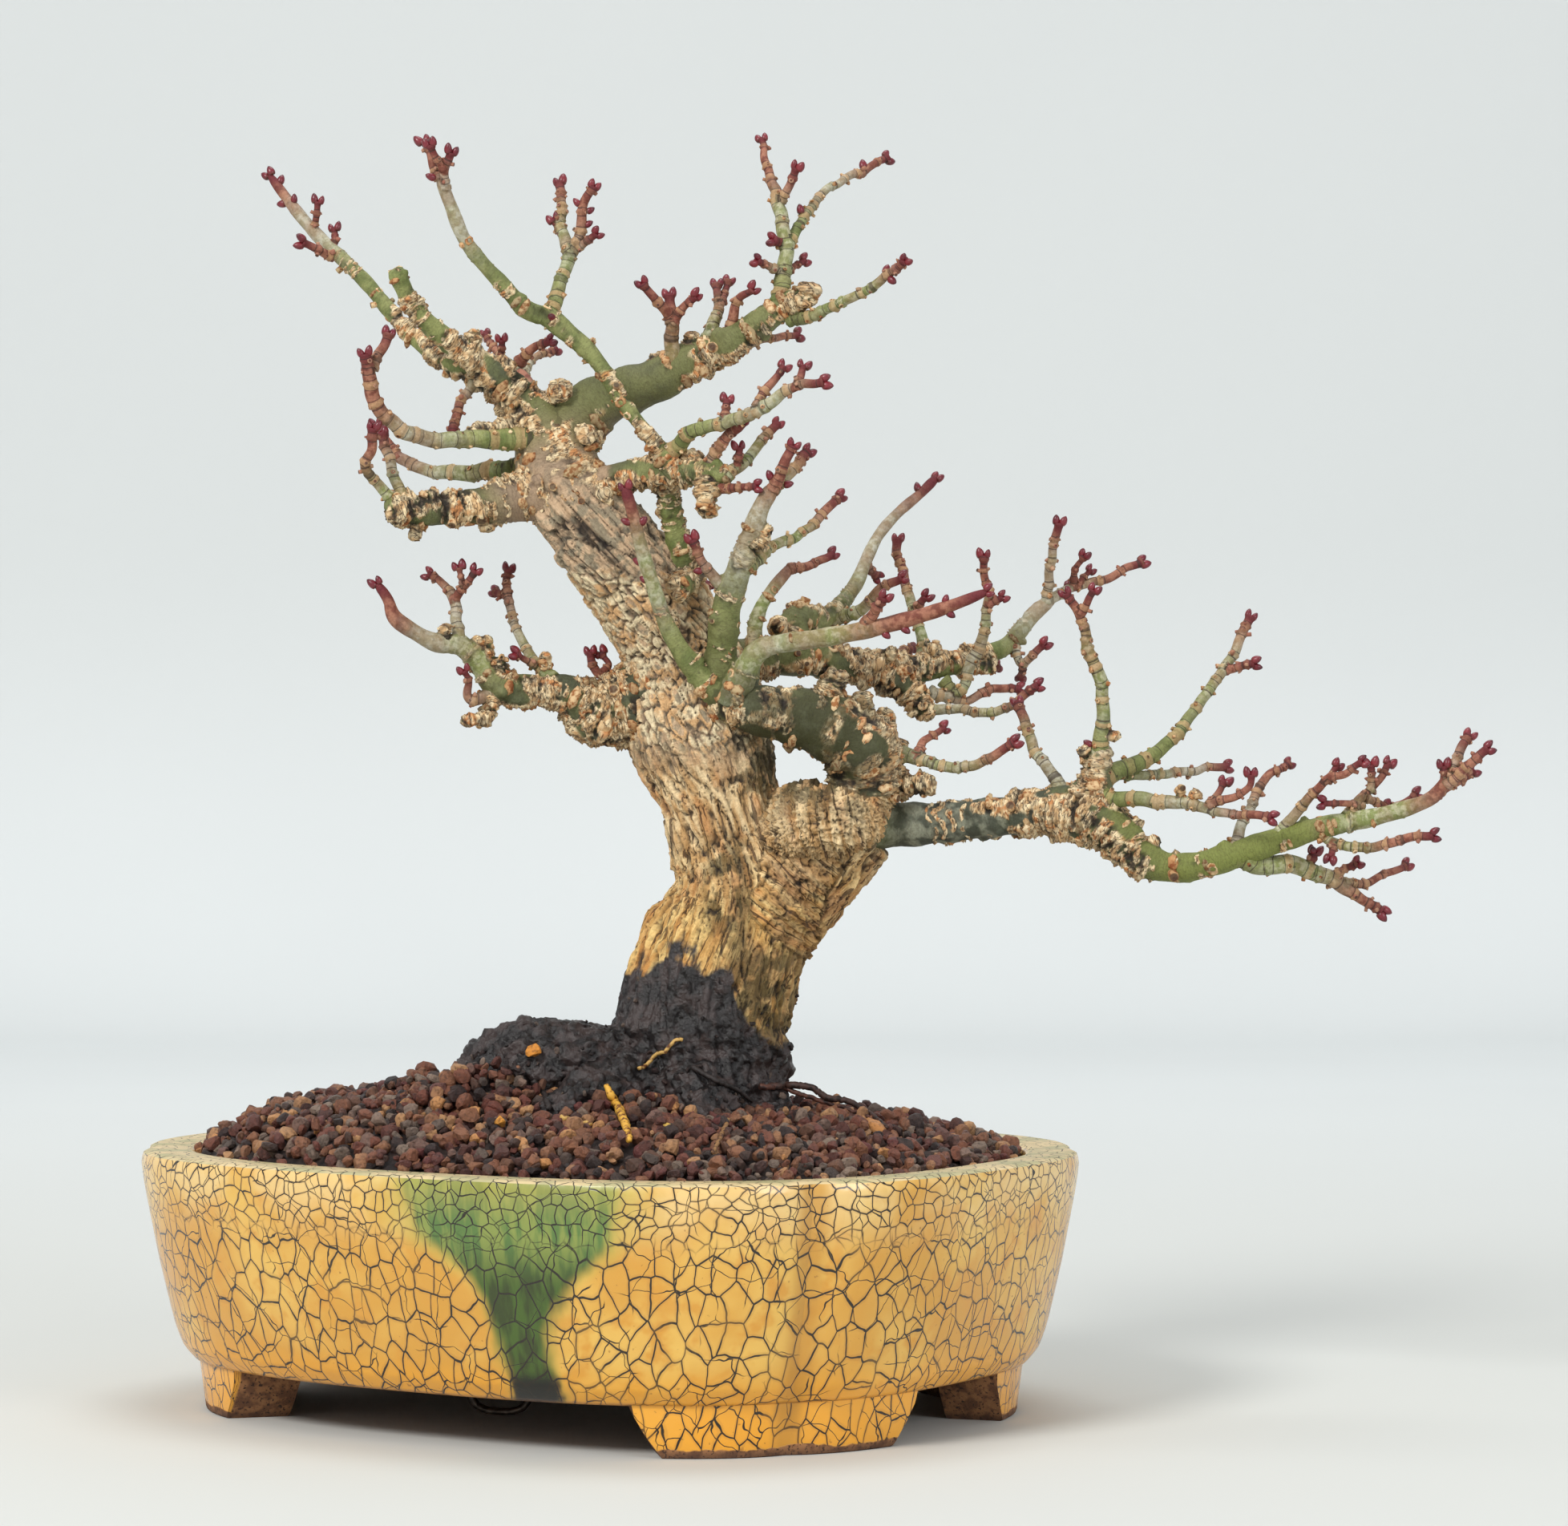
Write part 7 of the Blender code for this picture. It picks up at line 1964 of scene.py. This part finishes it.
def build_lights():
    world = bpy.data.worlds.new("studio")
    world.use_nodes = True
    glow = world.node_tree.nodes["Background"]
    glow.inputs["Color"].default_value = WORLD_COLOUR
    glow.inputs["Strength"].default_value = WORLD_LIGHT
    bpy.context.scene.world = world
    for name, place, size, power, colour in LIGHTS:
        light = bpy.data.lights.new(name, "AREA")
        light.shape = "DISK"
        light.size = size
        light.energy = power
        light.color = colour
        obj = new_object(name, light)
        obj.location = place
        obj.rotation_euler = (Vector(LIGHT_AIM) - Vector(place)).to_track_quat("-Z", "Y").to_euler()


def build_camera():
    camera = bpy.data.cameras.new("camera")
    camera.sensor_fit = "HORIZONTAL"
    camera.sensor_width = SENSOR
    camera.lens = LENS
    camera.clip_end = FARTHEST
    obj = new_object("camera", camera)
    obj.location = EYE
    obj.rotation_euler = (math.pi / 2, 0, 0)
    bpy.context.scene.camera = obj
    bpy.context.scene.view_settings.view_transform = "Standard"


# ---- everything in place

deselect()
build_camera()
build_lights()
build_stage()

trunk_runs, limb_runs, spurs = old_runs()
shoots = shoot_runs()

bark, soil = bark_look(), soil_look()
trunk = build_old_wood("trunk", trunk_runs, [])
skin = bvhtree.BVHTree.FromObject(trunk, bpy.context.evaluated_depsgraph_get())
finish_piece(trunk, bark, "bark", "tree")
finish_piece(build_old_wood("limbs", limb_runs, spurs), bark, "bark", "tree")
finish_piece(build_shoots(shoots), bark, "bark", "tree")
finish_piece(build_buds(shoots), bud_look(), "bark", "tree")
finish_piece(build_knots(trunk_runs + limb_runs, shoots), knot_look(), "bark", "tree")
finish_piece(build_surface_roots(skin), root_look(), "bark", "tree")
finish_piece(build_soil_bed(), soil, "soil_mix", "soil")
for piece in build_grains(gather(trunk_runs), trunk, skin):
    finish_piece(piece, soil, "soil_mix", "soil")
finish_piece(build_pot(), glaze_look(), "pot_glaze", "pot")
finish_piece(build_wire(), wire_look(), "wire_metal", "tie_wire")
plastic = plastic_look()
for name in ("drain_screen_1", "drain_screen_2"):
    for material_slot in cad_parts[name].material_slots:
        material_slot.material = plastic
deselect()
